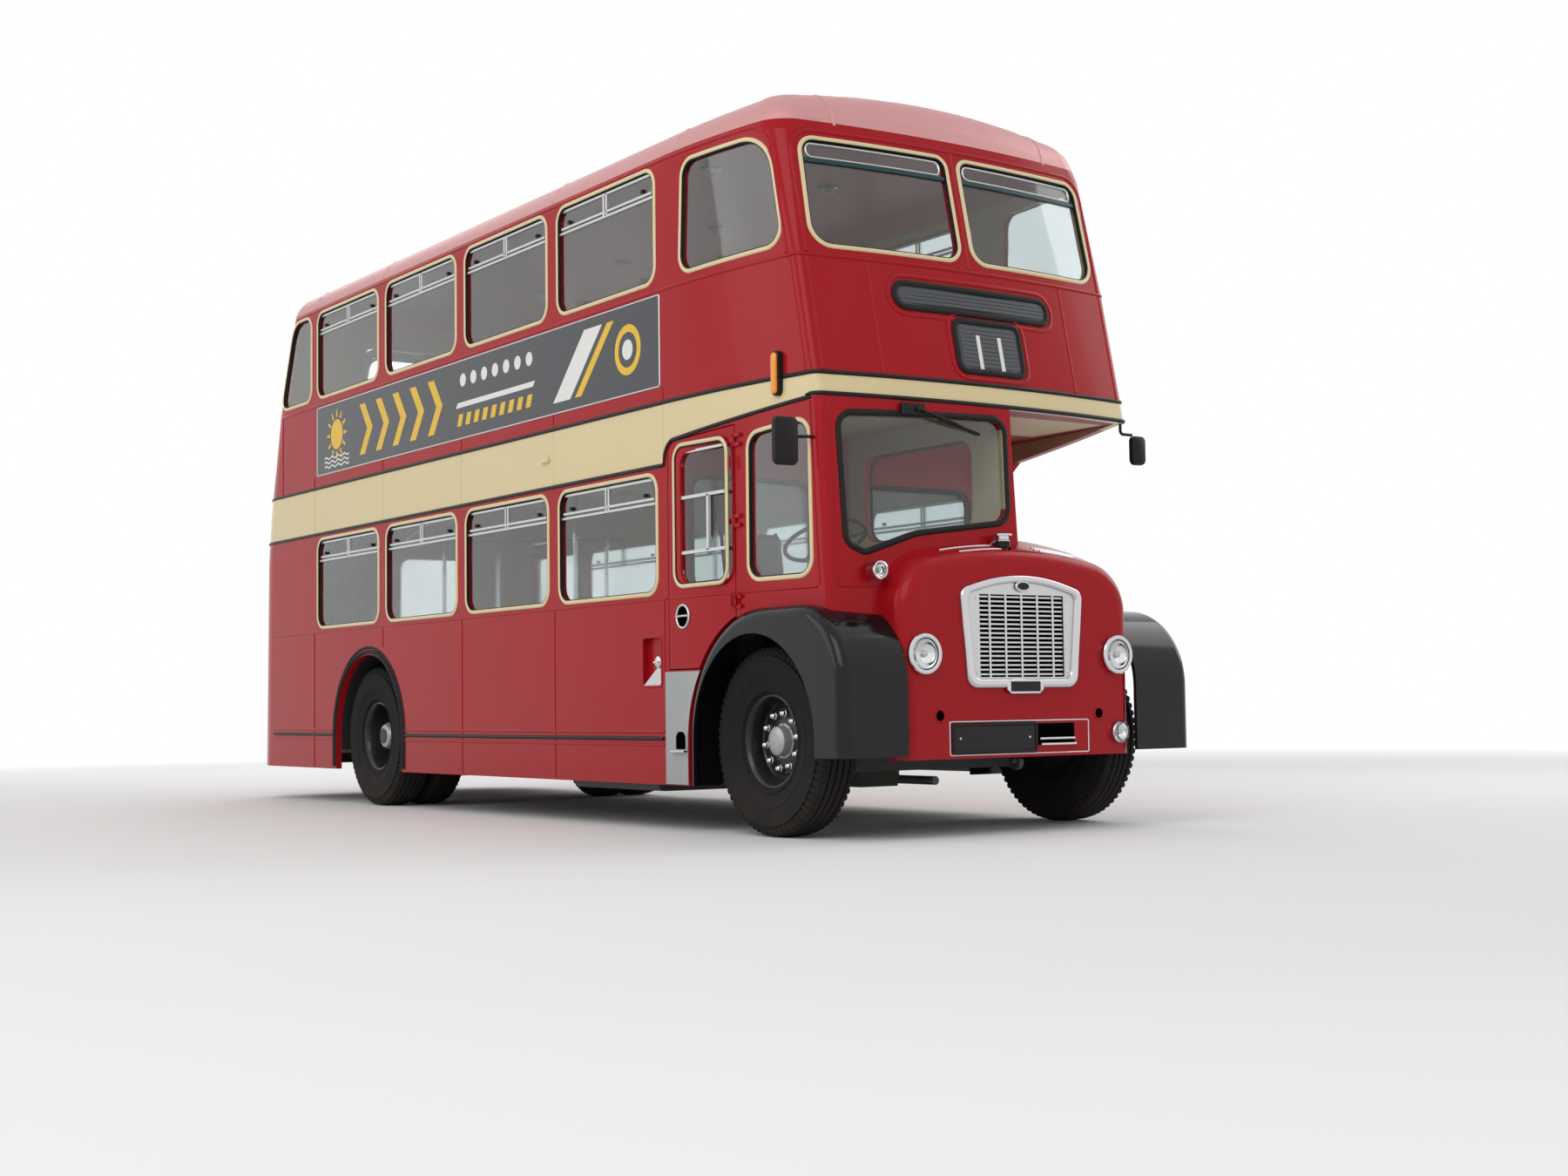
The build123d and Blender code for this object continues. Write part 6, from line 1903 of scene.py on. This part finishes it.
@dataclass
class RoadWheel:
    """The sizes of the road wheels and tyres, and the shapes that they share."""

    radius: float = 0.51
    half_width: float = 0.128
    bead_radius: float = 0.250
    outer_x: float = 1.040
    twin_step: float = 0.284
    nut_circle: float = 0.150
    nuts: int = 10
    lugs: int = 70
    hub_bolts: int = 8

    def tyre(self, maker: Maker, middle: Vector, out: Vector, half: float) -> None:
        """Adds one tyre with four grooves, shoulder lugs and sidewall ribs.

        Args:
            maker: Where the faces go.
            middle: The middle of the tyre.
            out: Its axle, pointing away from the bus.
            half: Half its width.
        """
        r, w = self.radius, half
        tread: list[Point2] = [(-w + 0.022, r - 0.009)]
        for centre in (-0.060, -0.020, 0.020, 0.060):
            tread += [(centre - 0.006, r - 0.0015), (centre - 0.005, r - 0.013), (centre + 0.005, r - 0.013),
                      (centre + 0.006, r - 0.0015)]
        wall: list[Point2] = [(w - 0.022, r - 0.009), (w - 0.010, r - 0.030), (w - 0.0085, r - 0.052),
                              (w - 0.002, r - 0.056),
                              (w - 0.001, r - 0.078), (w - 0.003, r - 0.082), (w - 0.001, r - 0.112),
                              (w - 0.004, r - 0.150),
                              (w - 0.001, r - 0.155), (w - 0.003, r - 0.162), (w - 0.010, r - 0.180),
                              (w - 0.019, r - 0.210),
                              (w - 0.020, r - 0.228), (w - 0.014, r - 0.234), (w - 0.016, r - 0.243),
                              (w - 0.026, r - 0.2475),
                              (w - 0.036, self.bead_radius)]
        profile = [(-a, b) for a, b in reversed(wall[1:])] + tread + wall
        profile.append((0.0, self.bead_radius - 0.004))
        steps = self.lugs * 3
        rings = []
        for i, spoke in enumerate(spokes(out, steps)):
            low = i % 3 == 0
            ring = []
            for a, b in profile:
                shoulder = abs(a) > w - 0.030 and b > r - 0.054
                cut = 0.010 if shoulder and low else 0.0
                ring.append(middle + out * (a - math.copysign(cut * 0.7, a)) + spoke * (b - cut))
            rings.append(ring)
        maker.loft(rings, closed=True)

    def disc_wheel(self, maker: Maker, middle: Vector, out: Vector, profile: Sequence[Point2],
                   hand_holes: float) -> None:
        """Adds a wheel with its rims from its section, and four hand holes in the disc.

        Args:
            maker: Where the faces go.
            middle: The middle of the tyre, or of the outer tyre of a pair.
            out: Its axle, pointing away from the bus.
            profile: The section from the axle at the front round to the axle at the back.
            hand_holes: How far out of the middle the hand holes are.
        """
        maker.use(Coat.WHEEL).lathe(profile, middle, out, 60)
        for spoke in spokes(out, 4, 0.5):
            hole = middle + out * hand_holes + spoke * 0.197
            # the hand holes are black discs of painted shade
            maker.use(Coat.BEAD).lathe([(0.0, 0.021), (0.0015, 0.019), (0.0016, 0.0)], hole, out, 16)

    def nut_ring(self, maker: Maker, middle: Vector, out: Vector, face: float) -> None:
        """Adds the ring of bright domed nuts on their washers.

        Args:
            maker: Where the faces go.
            middle: The middle of the tyre.
            out: Its axle, pointing away from the bus.
            face: How far out of the middle the disc's face is.
        """
        for spoke in spokes(out, self.nuts, 0.5):
            centre = middle + out * face + spoke * self.nut_circle
            maker.use(Coat.WHEEL).lathe([(0.0, 0.0240), (0.004, 0.0240), (0.005, 0.0)], centre, out, 16)
            dome = [(0.004, 0.0215), (0.016, 0.0210), (0.019, 0.0175), (0.030, 0.0170), (0.039, 0.010),
                    (0.041, 0.0)]
            maker.use(Coat.CHROME).lathe(dome, centre, out, 12)

    def hub(self, maker: Maker, middle: Vector, out: Vector, face: float, radius: float,
            length: float) -> None:
        """Adds the hub cap with its flange, bolts and flat domed end.

        Args:
            maker: Where the faces go.
            middle: The middle of the tyre.
            out: Its axle, pointing away from the bus.
            face: How far out of the middle the disc's face is.
            radius: The cap's radius.
            length: How far it stands out of the face.
        """
        maker.use(Coat.HUB)
        profile = [(0.0, radius + 0.014), (0.006, radius + 0.014), (0.008, radius + 0.003),
                   (length * 0.55, radius),
                   (length * 0.80, radius * 0.95), (length * 0.93, radius * 0.80),
                   (length * 0.985, radius * 0.45),
                   (length, 0.0)]
        maker.lathe(profile, middle + out * face, out, 48)
        for spoke in spokes(out, self.hub_bolts):
            centre = middle + out * (face + 0.006) + spoke * (radius + 0.008)
            maker.use(Coat.STEEL).lathe([(0.0, 0.0055), (0.004, 0.005), (0.0045, 0.0)], centre, out, 6)

    def rim_edge(self, middle: float, way: int) -> list[Point2]:
        """The lip and lock ring at one edge of a rim, from the disc's side outward.

        Args:
            middle: Where along the axle the rim's middle is.
            way: One for the outer edge, minus one for the inner.

        Returns:
            Points of the section.
        """
        lip = 0.088
        edge = [(lip - 0.030, 0.2225), (lip - 0.012, 0.228), (lip - 0.004, 0.233), (lip + 0.004, 0.240),
                (lip + 0.006, 0.247), (lip + 0.003, 0.254), (lip - 0.004, 0.258), (lip - 0.010, 0.255),
                (lip - 0.014, 0.2505), (lip - 0.024, 0.2495)]
        return [(middle + way * a, r) for a, r in edge]

    def front(self, name: str, side: int) -> None:
        """Builds a front wheel and tyre on its body.

        Args:
            name: The side's name.
            side: Minus one for the offside, one for the nearside.
        """
        out = Vector((side, 0.0, 0.0))
        middle = Vector((side * 1.0, LINES.front_axle_y, LINES.axle_z))
        rubber = Maker().use(Coat.TYRE)
        self.tyre(rubber, middle, out, self.half_width)
        rubber.finish(f"front_tyre_{name}_tread", f"front_wheel_{name}", "tyre", 28.0,
                      (f"front_tyre_{name}",))
        wheel = Maker()
        disc_path = [(0.010, 0.0), (0.010, 0.170), (0.007, 0.178), (-0.004, 0.186), (-0.006, 0.208),
                     (0.004, 0.216),
                     (0.030, 0.2195)]
        back = [(-0.088, 0.205), (-0.095, 0.198), (-0.095, 0.0)]
        profile = [*disc_path, *self.rim_edge(0.0, 1), *reversed(self.rim_edge(0.0, -1)[4:]), *back]
        self.disc_wheel(wheel, middle, out, profile, -0.0055)
        self.nut_ring(wheel, middle, out, 0.010)
        self.hub(wheel, middle, out, 0.010, 0.080, 0.066)
        wheel.finish(f"front_wheel_{name}_disc", f"front_wheel_{name}", None, 30.0, (f"front_wheel_{name}",))

    def rear(self, name: str, side: int) -> None:
        """Builds a pair of rear wheels and tyres on their body.

        Args:
            name: The side's name.
            side: Minus one for the offside, one for the nearside.
        """
        out = Vector((side, 0.0, 0.0))
        rubber, wheel = Maker().use(Coat.TYRE), Maker()
        outer, inner = (Vector((side * x, LINES.rear_axle_y, LINES.axle_z))
                        for x in (self.outer_x, self.outer_x - self.twin_step))
        self.tyre(rubber, outer, out, self.half_width)
        self.tyre(rubber, inner, out, self.half_width - 0.010)
        rubber.finish(f"rear_tyres_{name}_tread", f"rear_wheels_{name}", "tyre", 28.0,
                      (f"rear_tyres_{name}",))
        disc_path = [(-0.130, 0.0), (-0.130, 0.172), (-0.126, 0.186), (-0.112, 0.198), (-0.06, 0.210),
                     (0.03, 0.2165)]
        back = -self.twin_step
        profile = [*disc_path, *self.rim_edge(0.0, 1), (back / 2, 0.2495),
                   *reversed(self.rim_edge(back, -1)[4:]),
                   (back - 0.088, 0.205), (back - 0.080, 0.198), (back - 0.080, 0.0)]
        self.disc_wheel(wheel, outer, out, profile, -0.1135)
        self.nut_ring(wheel, outer, out, -0.130)
        self.hub(wheel, outer, out, -0.130, 0.102, 0.190)
        wheel.finish(f"rear_wheels_{name}_discs", f"rear_wheels_{name}", None, 30.0, (f"rear_wheels_{name}",))

    def build(self) -> None:
        """Builds all four wheel sets."""
        for name, side in OFF_AND_NEAR:
            self.front(name, side)
            self.rear(name, side)


@dataclass
class SteeringWheel:
    """The driver's steering wheel."""

    centre: tuple[float, float, float] = (-0.69, -3.33, 1.6)
    lean: float = 25.0
    rim_radius: float = 0.228
    grip: float = 0.012

    def build(self) -> None:
        """Builds the rim, three spokes and the boss on the steering wheel's body."""
        lean = math.radians(self.lean)
        axis = Vector((0.0, math.sin(lean), math.cos(lean)))
        side = Vector((1.0, 0.0, 0.0))
        other = axis.cross(side)
        middle = Vector(self.centre)
        piece = Maker().use(Coat.BEAD)
        turns = [2 * math.pi * i / 60 for i in range(60)]
        piece.tube([middle + (side * math.cos(t) + other * math.sin(t)) * self.rim_radius for t in turns],
                   self.grip, 12, True)
        for i in range(3):
            t = math.pi / 2 + 2 * math.pi * i / 3
            spoke = side * math.cos(t) + other * math.sin(t)
            path = [middle + spoke * 0.02 - axis * 0.022, middle + spoke * 0.10 - axis * 0.014,
                    middle + spoke * (self.rim_radius - 0.004)]
            piece.tube(path, 0.009, 10)
        piece.lathe([(-0.034, 0.0), (-0.034, 0.030), (-0.012, 0.040), (0.004, 0.036), (0.010, 0.0)], middle,
                    axis, 28)
        piece.finish("steering_wheel_rim", "steering_wheel", "black_paint", 40.0, ("steering_wheel",))


@dataclass
class Pad:
    """A stuffed pad simulated once and then copied to each seat."""

    points: list[Vector]
    faces: list[tuple[int, ...]]

    @classmethod
    def stuffed(cls, start: Maker, cap: float, voxel: float = 0.0095, keep: int = 2600) -> "Pad":
        """Blows a closed shape up as cloth and thins its mesh.

        Args:
            start: The slightly smaller shape that the pad starts from.
            cap: How far a point may move.
            voxel: Spacing of the cloth's points.
            keep: About how many triangles are kept.

        Returns:
            The pad.
        """
        mesh = bpy.data.meshes.new("pad_start")
        mesh.from_pydata(start.points, [], start.faces)
        piece = bpy.data.objects.new("pad_start", mesh)
        scene = bpy.context.scene
        scene.collection.objects.link(piece)
        remesh = piece.modifiers.new("remesh", "REMESH")
        remesh.mode, remesh.voxel_size = "VOXEL", voxel
        cls.settle(piece)
        before = [v.co.copy() for v in piece.data.vertices]
        cloth = piece.modifiers.new("cloth", "CLOTH").settings
        cloth.use_pressure, cloth.uniform_pressure_force = True, 4.0
        cloth.effector_weights.gravity = 0.0
        for number in range(1, 21):
            scene.frame_set(number)
        cls.settle(piece)
        for vertex, first in zip(piece.data.vertices, before):
            move = vertex.co - first
            if move.length > cap:
                vertex.co = first + move.normalized() * cap
        scene.frame_set(1)
        thin = piece.modifiers.new("thin", "DECIMATE")
        thin.ratio = min(1.0, keep / (2.0 * len(piece.data.polygons)))
        cls.settle(piece)
        pad = cls([v.co.copy() for v in piece.data.vertices],
                  [tuple(p.vertices) for p in piece.data.polygons])
        bpy.data.objects.remove(piece)
        return pad

    @staticmethod
    def settle(piece: bpy.types.Object) -> None:
        """Applies the modifiers of a piece to its mesh.

        Args:
            piece: The piece, whose modifiers are removed.
        """
        shaped = piece.evaluated_get(bpy.context.evaluated_depsgraph_get())
        mesh = bpy.data.meshes.new_from_object(shaped)
        piece.modifiers.clear()
        piece.data = mesh

    def put(self, maker: Maker, place: Vector, wide: float = 1.0) -> None:
        """Adds a copy of the pad at a place, made narrower or wider."""
        maker.add([Vector((p.x * wide, p.y, p.z)) + place for p in self.points], self.faces)


@dataclass
class Seating:
    """The passengers' double seats on both decks, and the driver's seat."""

    lower_rows: list[float] = field(default_factory=lambda: [-1.65 + 0.75 * row for row in range(4)])
    upper_rows: list[float] = field(default_factory=lambda: [-2.95 + 0.75 * row for row in range(8)])
    lower_base: float = 0.405
    upper_base: float = 2.34
    inner_x: float = 0.33
    outer_x: float = 1.155
    narrow: float = 0.06
    inset: float = 0.016
    swell: float = 0.022

    def build(self) -> None:
        """Simulates the pads and puts every seat in its place."""
        half = (self.outer_x - self.inner_x) / 2 - self.inset
        squab = Pad.stuffed(self.block(half,
                                       [(-0.408, 0.342), (0.006, 0.342), (-0.002, 0.422), (-0.408, 0.426)]),
                            self.swell)
        back = Pad.stuffed(self.block(half, [(0.006, 0.462), (0.036, 0.462), (0.068, 0.872), (0.036, 0.872)]),
                           0.016)
        for deck, rows, base in (("lower", self.lower_rows, self.lower_base),
                                 ("upper", self.upper_rows, self.upper_base)):
            for name, side in OFF_AND_NEAR:
                pads, frames = Maker().use(Coat.MOQUETTE), Maker()
                for y in rows:
                    if deck == "upper" and side < 0 and y > 2.0:
                        continue
                    tight = self.narrow if deck == "upper" and y < -2.7 else 0.0
                    self.seat(pads, frames, squab, back, side, y, base, tight)
                seats = pads.finish(f"{deck}_seats_{name}", slot="seat_cloth", smooth=60.0,
                                    replaces=("seat_cushions",) if (deck, side) == ("lower", -1) else ())
                frames.finish(f"{deck}_seat_frames_{name}", slot="bright", smooth=50.0,
                              replaces=("seat_frames",) if (deck, side) == ("lower", -1) else ())
        self.driver()

    @staticmethod
    def block(half: float, outline: Sequence[Point2]) -> Maker:
        """A closed block of an outline in (y, z), running across the bus with rounded ends.

        Args:
            half: Half its width.
            outline: Its corners.

        Returns:
            The block, not yet finished.
        """
        start = Maker()
        rings = []
        path = rounded(outline, 0.014, 3, 0.05)
        middle = (sum(p[0] for p in path) / len(path), sum(p[1] for p in path) / len(path))
        for x, share in ((-half, 0.80), (-half + 0.02, 0.97), (-half + 0.04, 1.0), (half - 0.04, 1.0),
                         (half - 0.02, 0.97), (half, 0.80)):
            rings.append([Vector((x, middle[0] + (y - middle[0]) * share,
                                  middle[1] + (z - middle[1]) * share))
                          for y, z in path])
        start.loft(rings)
        return start

    def seat(self, pads: Maker, frames: Maker, squab: Pad, back: Pad, side: int, y: float, base: float,
             tight: float) -> None:
        """Adds one double seat.

        Args:
            pads: Where the stuffed parts go.
            frames: Where the tubes and panels go.
            squab: The simulated squab.
            back: The simulated back.
            side: Minus one for the offside, one for the nearside.
            y: Station of the back.
            base: Height of the floor.
            tight: How much narrower the seat is.
        """
        wide = (self.outer_x - self.inner_x - tight) / (self.outer_x - self.inner_x)
        middle = side * ((self.inner_x + self.outer_x - tight) / 2)
        half = (self.outer_x - self.inner_x - tight) / 2
        place = Vector((middle, y, base))
        squab.put(pads.use(Coat.MOQUETTE), place, wide)
        back.put(pads, place, wide)
        pads.use(Coat.HIDE)
        for x in (-half + 0.012, 0.0, half - 0.012):
            pads.tube([place + Vector((x, a, b)) for a, b in ((0.0, 0.436), (-0.20, 0.444), (-0.40, 0.436))],
                      0.005, 6)
            pads.tube([place + Vector((x, a, b)) for a,
                       b in ((-0.004, 0.455), (0.014, 0.66), (0.030, 0.875))], 0.005, 6)
        panel = [(0.040, 0.345), (0.052, 0.345), (0.086, 0.870), (0.060, 0.884), (0.046, 0.884),
                 (0.066, 0.868)]
        frames.use(Coat.HIDE).loft([[place + Vector((x, a, b)) for a, b in panel]
                                    for x in (-half + 0.01, half - 0.01)])
        frames.use(Coat.CHROME)
        for x in (side * (self.inner_x + 0.04), side * (self.outer_x - 0.16)):
            frames.tube(bent([(x, y - 0.325, base + 0.335), (x, y - 0.30, base + 0.012),
                              (x, y - 0.06, base + 0.012),
                              (x, y - 0.04, base + 0.335)], 0.05, 4), 0.0125, 8)
        x, top = side * (self.inner_x + 0.12), base + 0.885
        frames.tube(bent([(x - 0.080, y + 0.055, top), (x - 0.080, y + 0.055, top + 0.062),
                          (x + 0.080, y + 0.055, top + 0.062),
                          (x + 0.080, y + 0.055, top)], 0.03, 4), 0.0105, 8)

    def driver(self) -> None:
        """Builds the driver's padded seat on its pedestal."""
        pads = Maker().use(Coat.HIDE)
        seat = Pad.stuffed(self.block(0.200,
                                      [(-3.045, 1.247), (-2.700, 1.247), (-2.712, 1.322), (-3.045, 1.326)]),
                           0.015, keep=2000)
        back = Pad.stuffed(self.block(0.200,
                                      [(-2.718, 1.330), (-2.692, 1.330), (-2.628, 1.702), (-2.664, 1.702)]),
                           0.015, keep=2000)
        for pad in (seat, back):
            pad.put(pads, Vector((-0.71, 0.0, 0.0)))
        piece = pads.finish("driver_seat_pads", slot="seat_cloth", smooth=60.0, replaces=("driver_seat",))
        stand = Maker().use(Coat.CHASSIS)
        stand.box((-0.79, -2.95, 1.086), (-0.60, -2.76, 1.225), 0.015)
        stand.box((-0.90, -3.04, 1.225), (-0.52, -2.70, 1.246), 0.01)
        for x in (-0.90, -0.52):
            post = [(x, y, z) for y, z in ((-2.70, 1.236), (-2.652, 1.40), (-2.606, 1.700))]
            stand.use(Coat.BEAD).tube(bent(post, 0.05), 0.010)
        stand.finish("driver_seat_stand", slot="chassis_black")


@dataclass
class Interior:
    """Poles, stair rails, ceiling lamps, the rear plate and the bonnet handle."""

    lamp: Sequence[tuple[Coat, Sequence[Point2]]] = (
        (Coat.CHROME, ((0.0, 0.070), (0.012, 0.070), (0.016, 0.060))),
        (Coat.WHITE, ((0.012, 0.060), (0.030, 0.048), (0.040, 0.026), (0.043, 0.0))),
    )
    lower_floor: float = 0.405
    lower_ceiling: float = 2.298

    def build(self) -> None:
        """Builds the rails inside and the small fittings outside."""
        self.rails()
        self.ceiling_lamps()
        self.bonnet()
        self.rear_plate()

    def rails(self) -> None:
        """Upright poles by the gangway and rails along the stairs."""
        poles = Maker().use(Coat.CHROME)
        for x, y in ((0.34, -0.62), (-0.34, 0.13), (0.34, 0.88), (0.36, 2.72), (-0.26, 2.42)):
            poles.tube([(x, y, self.lower_floor), (x, y, self.lower_ceiling)], 0.016, 12)
        poles.finish("gangway_poles", slot="bright")
        rail = Maker().use(Coat.CHROME)
        rail.tube(bent([(-0.34, 3.52, 1.90), (-0.34, 3.42, 1.96), (-0.34, 2.55, 2.80), (-0.34, 2.36, 3.16),
                        (-0.34, 2.36, 2.36)], 0.08), 0.014, 12)
        rail.tube(bent([(-0.26, 3.46, 1.32), (-0.26, 3.50, 1.98), (-0.26, 3.40, 2.06), (-0.26, 2.60, 2.24)],
                       0.08), 0.014, 12)
        rail.finish("stair_rails", slot="bright")

    def ceiling_lamps(self) -> None:
        """Round lamps along the ceilings of both decks."""
        lamps = Maker()
        roof = Skin(["roof"])
        for y in (-1.84, -0.53, 0.78, 2.09):
            for x in (-0.45, 0.45):
                top = roof.look(Vector((x, y, 3.3)), Vector((0, 0, 1)))[0].z
                for z in (self.lower_ceiling, top):
                    centre = Vector((x, y, z))
                    for coat, profile in self.lamp:
                        lamps.use(coat).lathe(profile, centre, Vector((0, 0, -1)), 28)
        lamps.finish("ceiling_lamps", slot="bright")

    @staticmethod
    def bonnet() -> None:
        """The handle on the bonnet's lid."""
        lid = Skin(["bonnet_lid"])
        piece = Maker().use(Coat.CHROME)
        side, _ = lid.at(Facing.NEARSIDE, -3.19, 1.33)
        piece.tube(bent([(side.x - 0.002, -3.25, 1.33), (side.x + 0.028, -3.25, 1.33),
                         (side.x + 0.028, -3.13, 1.33),
                         (side.x - 0.002, -3.13, 1.33)], 0.015), 0.0075)
        piece.finish("bonnet_handle", "bonnet_lid", "bright")

    @staticmethod
    def rear_plate() -> None:
        """The blank rear number plate with its lamp."""
        rear = Skin(["lower_rear"])
        plate = Maker()
        at = rear.at(Facing.REAR, -0.30, 0.60)[0]
        face = Face((0.0, at.y, 0.0), (-1.0, 0.0, 0.0))
        plate.use(Coat.BLACK).plate(face, block_outline((0.04, 0.52), (0.56, 0.66), 0.012), -0.002, 0.008,
                                    0.002)
        plate.use(Coat.CHROME).plate(face, block_outline((0.22, 0.672), (0.38, 0.704), 0.010), -0.002, 0.020,
                                     0.006)
        plate.finish("rear_plate", slot="black_paint")


@dataclass
class Studio:
    """Camera, lamps, floor and background."""

    place: tuple[float, float, float] = (-7.179, -12.257, 0.709)
    yaw: float = 34.813
    pitch: float = 3.288
    roll: float = -0.763
    lens: float = 46.226
    key: float = 450.0
    fill: float = 0.58
    clear: float = 9.0
    fade: float = 7.0

    def build(self) -> None:
        """Sets up the whole studio."""
        bpy.context.scene.view_settings.view_transform = "Standard"
        self.camera()
        self.lamps()
        self.sky()
        self.floor()

    def camera(self) -> None:
        """Puts the camera where the photograph was taken from."""
        yaw, pitch, roll = (math.radians(v) for v in (self.yaw, self.pitch, self.roll))
        ahead = Vector((math.sin(yaw) * math.cos(pitch), math.cos(yaw) * math.cos(pitch), math.sin(pitch)))
        right = Vector((math.cos(yaw), -math.sin(yaw), 0.0))
        up = right.cross(ahead)
        right_rolled = right * math.cos(roll) + up * math.sin(roll)
        up_rolled = -right * math.sin(roll) + up * math.cos(roll)
        data = bpy.data.cameras.new("camera")
        data.sensor_width, data.lens, data.sensor_fit = 36.0, self.lens, "HORIZONTAL"
        data.clip_end = 200.0
        camera = bpy.data.objects.new("camera", data)
        bpy.context.scene.collection.objects.link(camera)
        turn = Matrix((right_rolled, up_rolled, -ahead)).transposed().to_4x4()
        camera.matrix_world = Matrix.Translation(self.place) @ turn
        bpy.context.scene.camera = camera

    def lamps(self) -> None:
        """Large soft lamps round the bus."""
        for name, place, size, power, tint in (
            ("key_lamp", (-9.0, -9.0, 9.0), 8.0, self.key, (1.0, 0.98, 0.95)),
            ("side_lamp", (-12.0, 3.0, 6.0), 8.0, self.key * 0.5, (0.95, 0.97, 1.0)),
            ("far_lamp", (9.0, -4.0, 7.0), 7.0, self.key * 0.6, (1.0, 1.0, 1.0)),
            ("rear_lamp", (3.0, 11.0, 7.0), 7.0, self.key * 0.6, (1.0, 1.0, 1.0)),
        ):
            data = bpy.data.lights.new(name, "AREA")
            data.size, data.energy, data.color = size, power, tint
            lamp = bpy.data.objects.new(name, data)
            lamp.location = place
            lamp.rotation_euler = (Vector((0, 0, 1.8)) - Vector(place)).to_track_quat("-Z", "Y").to_euler()
            bpy.context.scene.collection.objects.link(lamp)

    @staticmethod
    def seen_white(net: Net) -> NodeSocket:
        """A value that is one for rays from the camera, mirror rays and rays through glass.

        Args:
            net: The tree that the nodes go into.

        Returns:
            The value.
        """
        path = net.node("ShaderNodeLightPath")
        seen = net.maths("MAXIMUM", path.outputs["Is Camera Ray"], path.outputs["Is Transmission Ray"])
        return net.maths("MAXIMUM", seen, path.outputs["Is Glossy Ray"])

    def sky(self) -> None:
        """An even sky that is white to the camera, in reflections and through glass."""
        world = bpy.data.worlds.new("sky")
        world.use_nodes = True
        bpy.context.scene.world = world
        net = Net(world.node_tree)
        shade = world.node_tree.nodes["Background"]
        level = net.maths("ADD", self.fill, net.maths("MULTIPLY", self.seen_white(net), 1.0 - self.fill))
        shade.inputs["Color"].default_value = (1.0, 1.0, 1.0, 1.0)
        net.put(level, shade.inputs["Strength"])

    def floor(self) -> None:
        """A wide pale floor that keeps the bus's shadow and turns white further out."""
        size = 60.0
        mesh = bpy.data.meshes.new("floor")
        mesh.from_pydata([(-size, -size, 0), (size, -size, 0), (size, size, 0), (-size, size, 0)], [],
                         [(0, 1, 2, 3)])
        ground = bpy.data.objects.new("floor", mesh)
        bpy.context.scene.collection.objects.link(ground)
        made = bpy.data.materials.new("pale_floor")
        made.use_nodes = True
        net = Net(made.node_tree)
        surface = made.node_tree.nodes["Principled BSDF"]
        surface.inputs["Base Color"].default_value = (0.86, 0.86, 0.86, 1.0)
        surface.inputs["Roughness"].default_value = 0.9
        glow = net.node("ShaderNodeEmission")
        glow.inputs["Color"].default_value = (1.0, 1.0, 1.0, 1.0)
        glow.inputs["Strength"].default_value = 1.0
        where = net.node("ShaderNodeNewGeometry")
        away = net.node("ShaderNodeVectorMath")
        away.operation = "LENGTH"
        net.put(where.outputs["Position"], away.inputs[0])
        far = net.maths("DIVIDE", net.maths("SUBTRACT", away.outputs["Value"], self.clear), self.fade,
                        clamp=True)
        mix = net.node("ShaderNodeMixShader")
        net.put(net.maths("MULTIPLY", far, self.seen_white(net)), mix.inputs[0])
        net.put(surface.outputs[0], mix.inputs[1])
        net.put(glow.outputs[0], mix.inputs[2])
        net.put(mix.outputs[0], made.node_tree.nodes["Material Output"].inputs["Surface"])
        mesh.materials.append(made)


def main() -> None:
    """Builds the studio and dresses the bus."""
    logging.basicConfig(level=logging.INFO, format="%(name)s: %(message)s")
    Studio().build()
    panels = Skin(PANEL_NODES)
    Coachwork(panels).build()
    SideBoard().build()
    WindowTrim(panels, Skin(["body_glass"])).build()
    DestinationBoxes().build(Skin(["upper_front", "destination_boxes"]))
    DoorTrim().build()
    RadiatorGrille().build()
    Lamps().build()
    FrontPlates().build()
    CabFittings().build()
    RoadWheel().build()
    SteeringWheel().build()
    Seating().build()
    Interior().build()


if __name__ == "__main__":
    main()
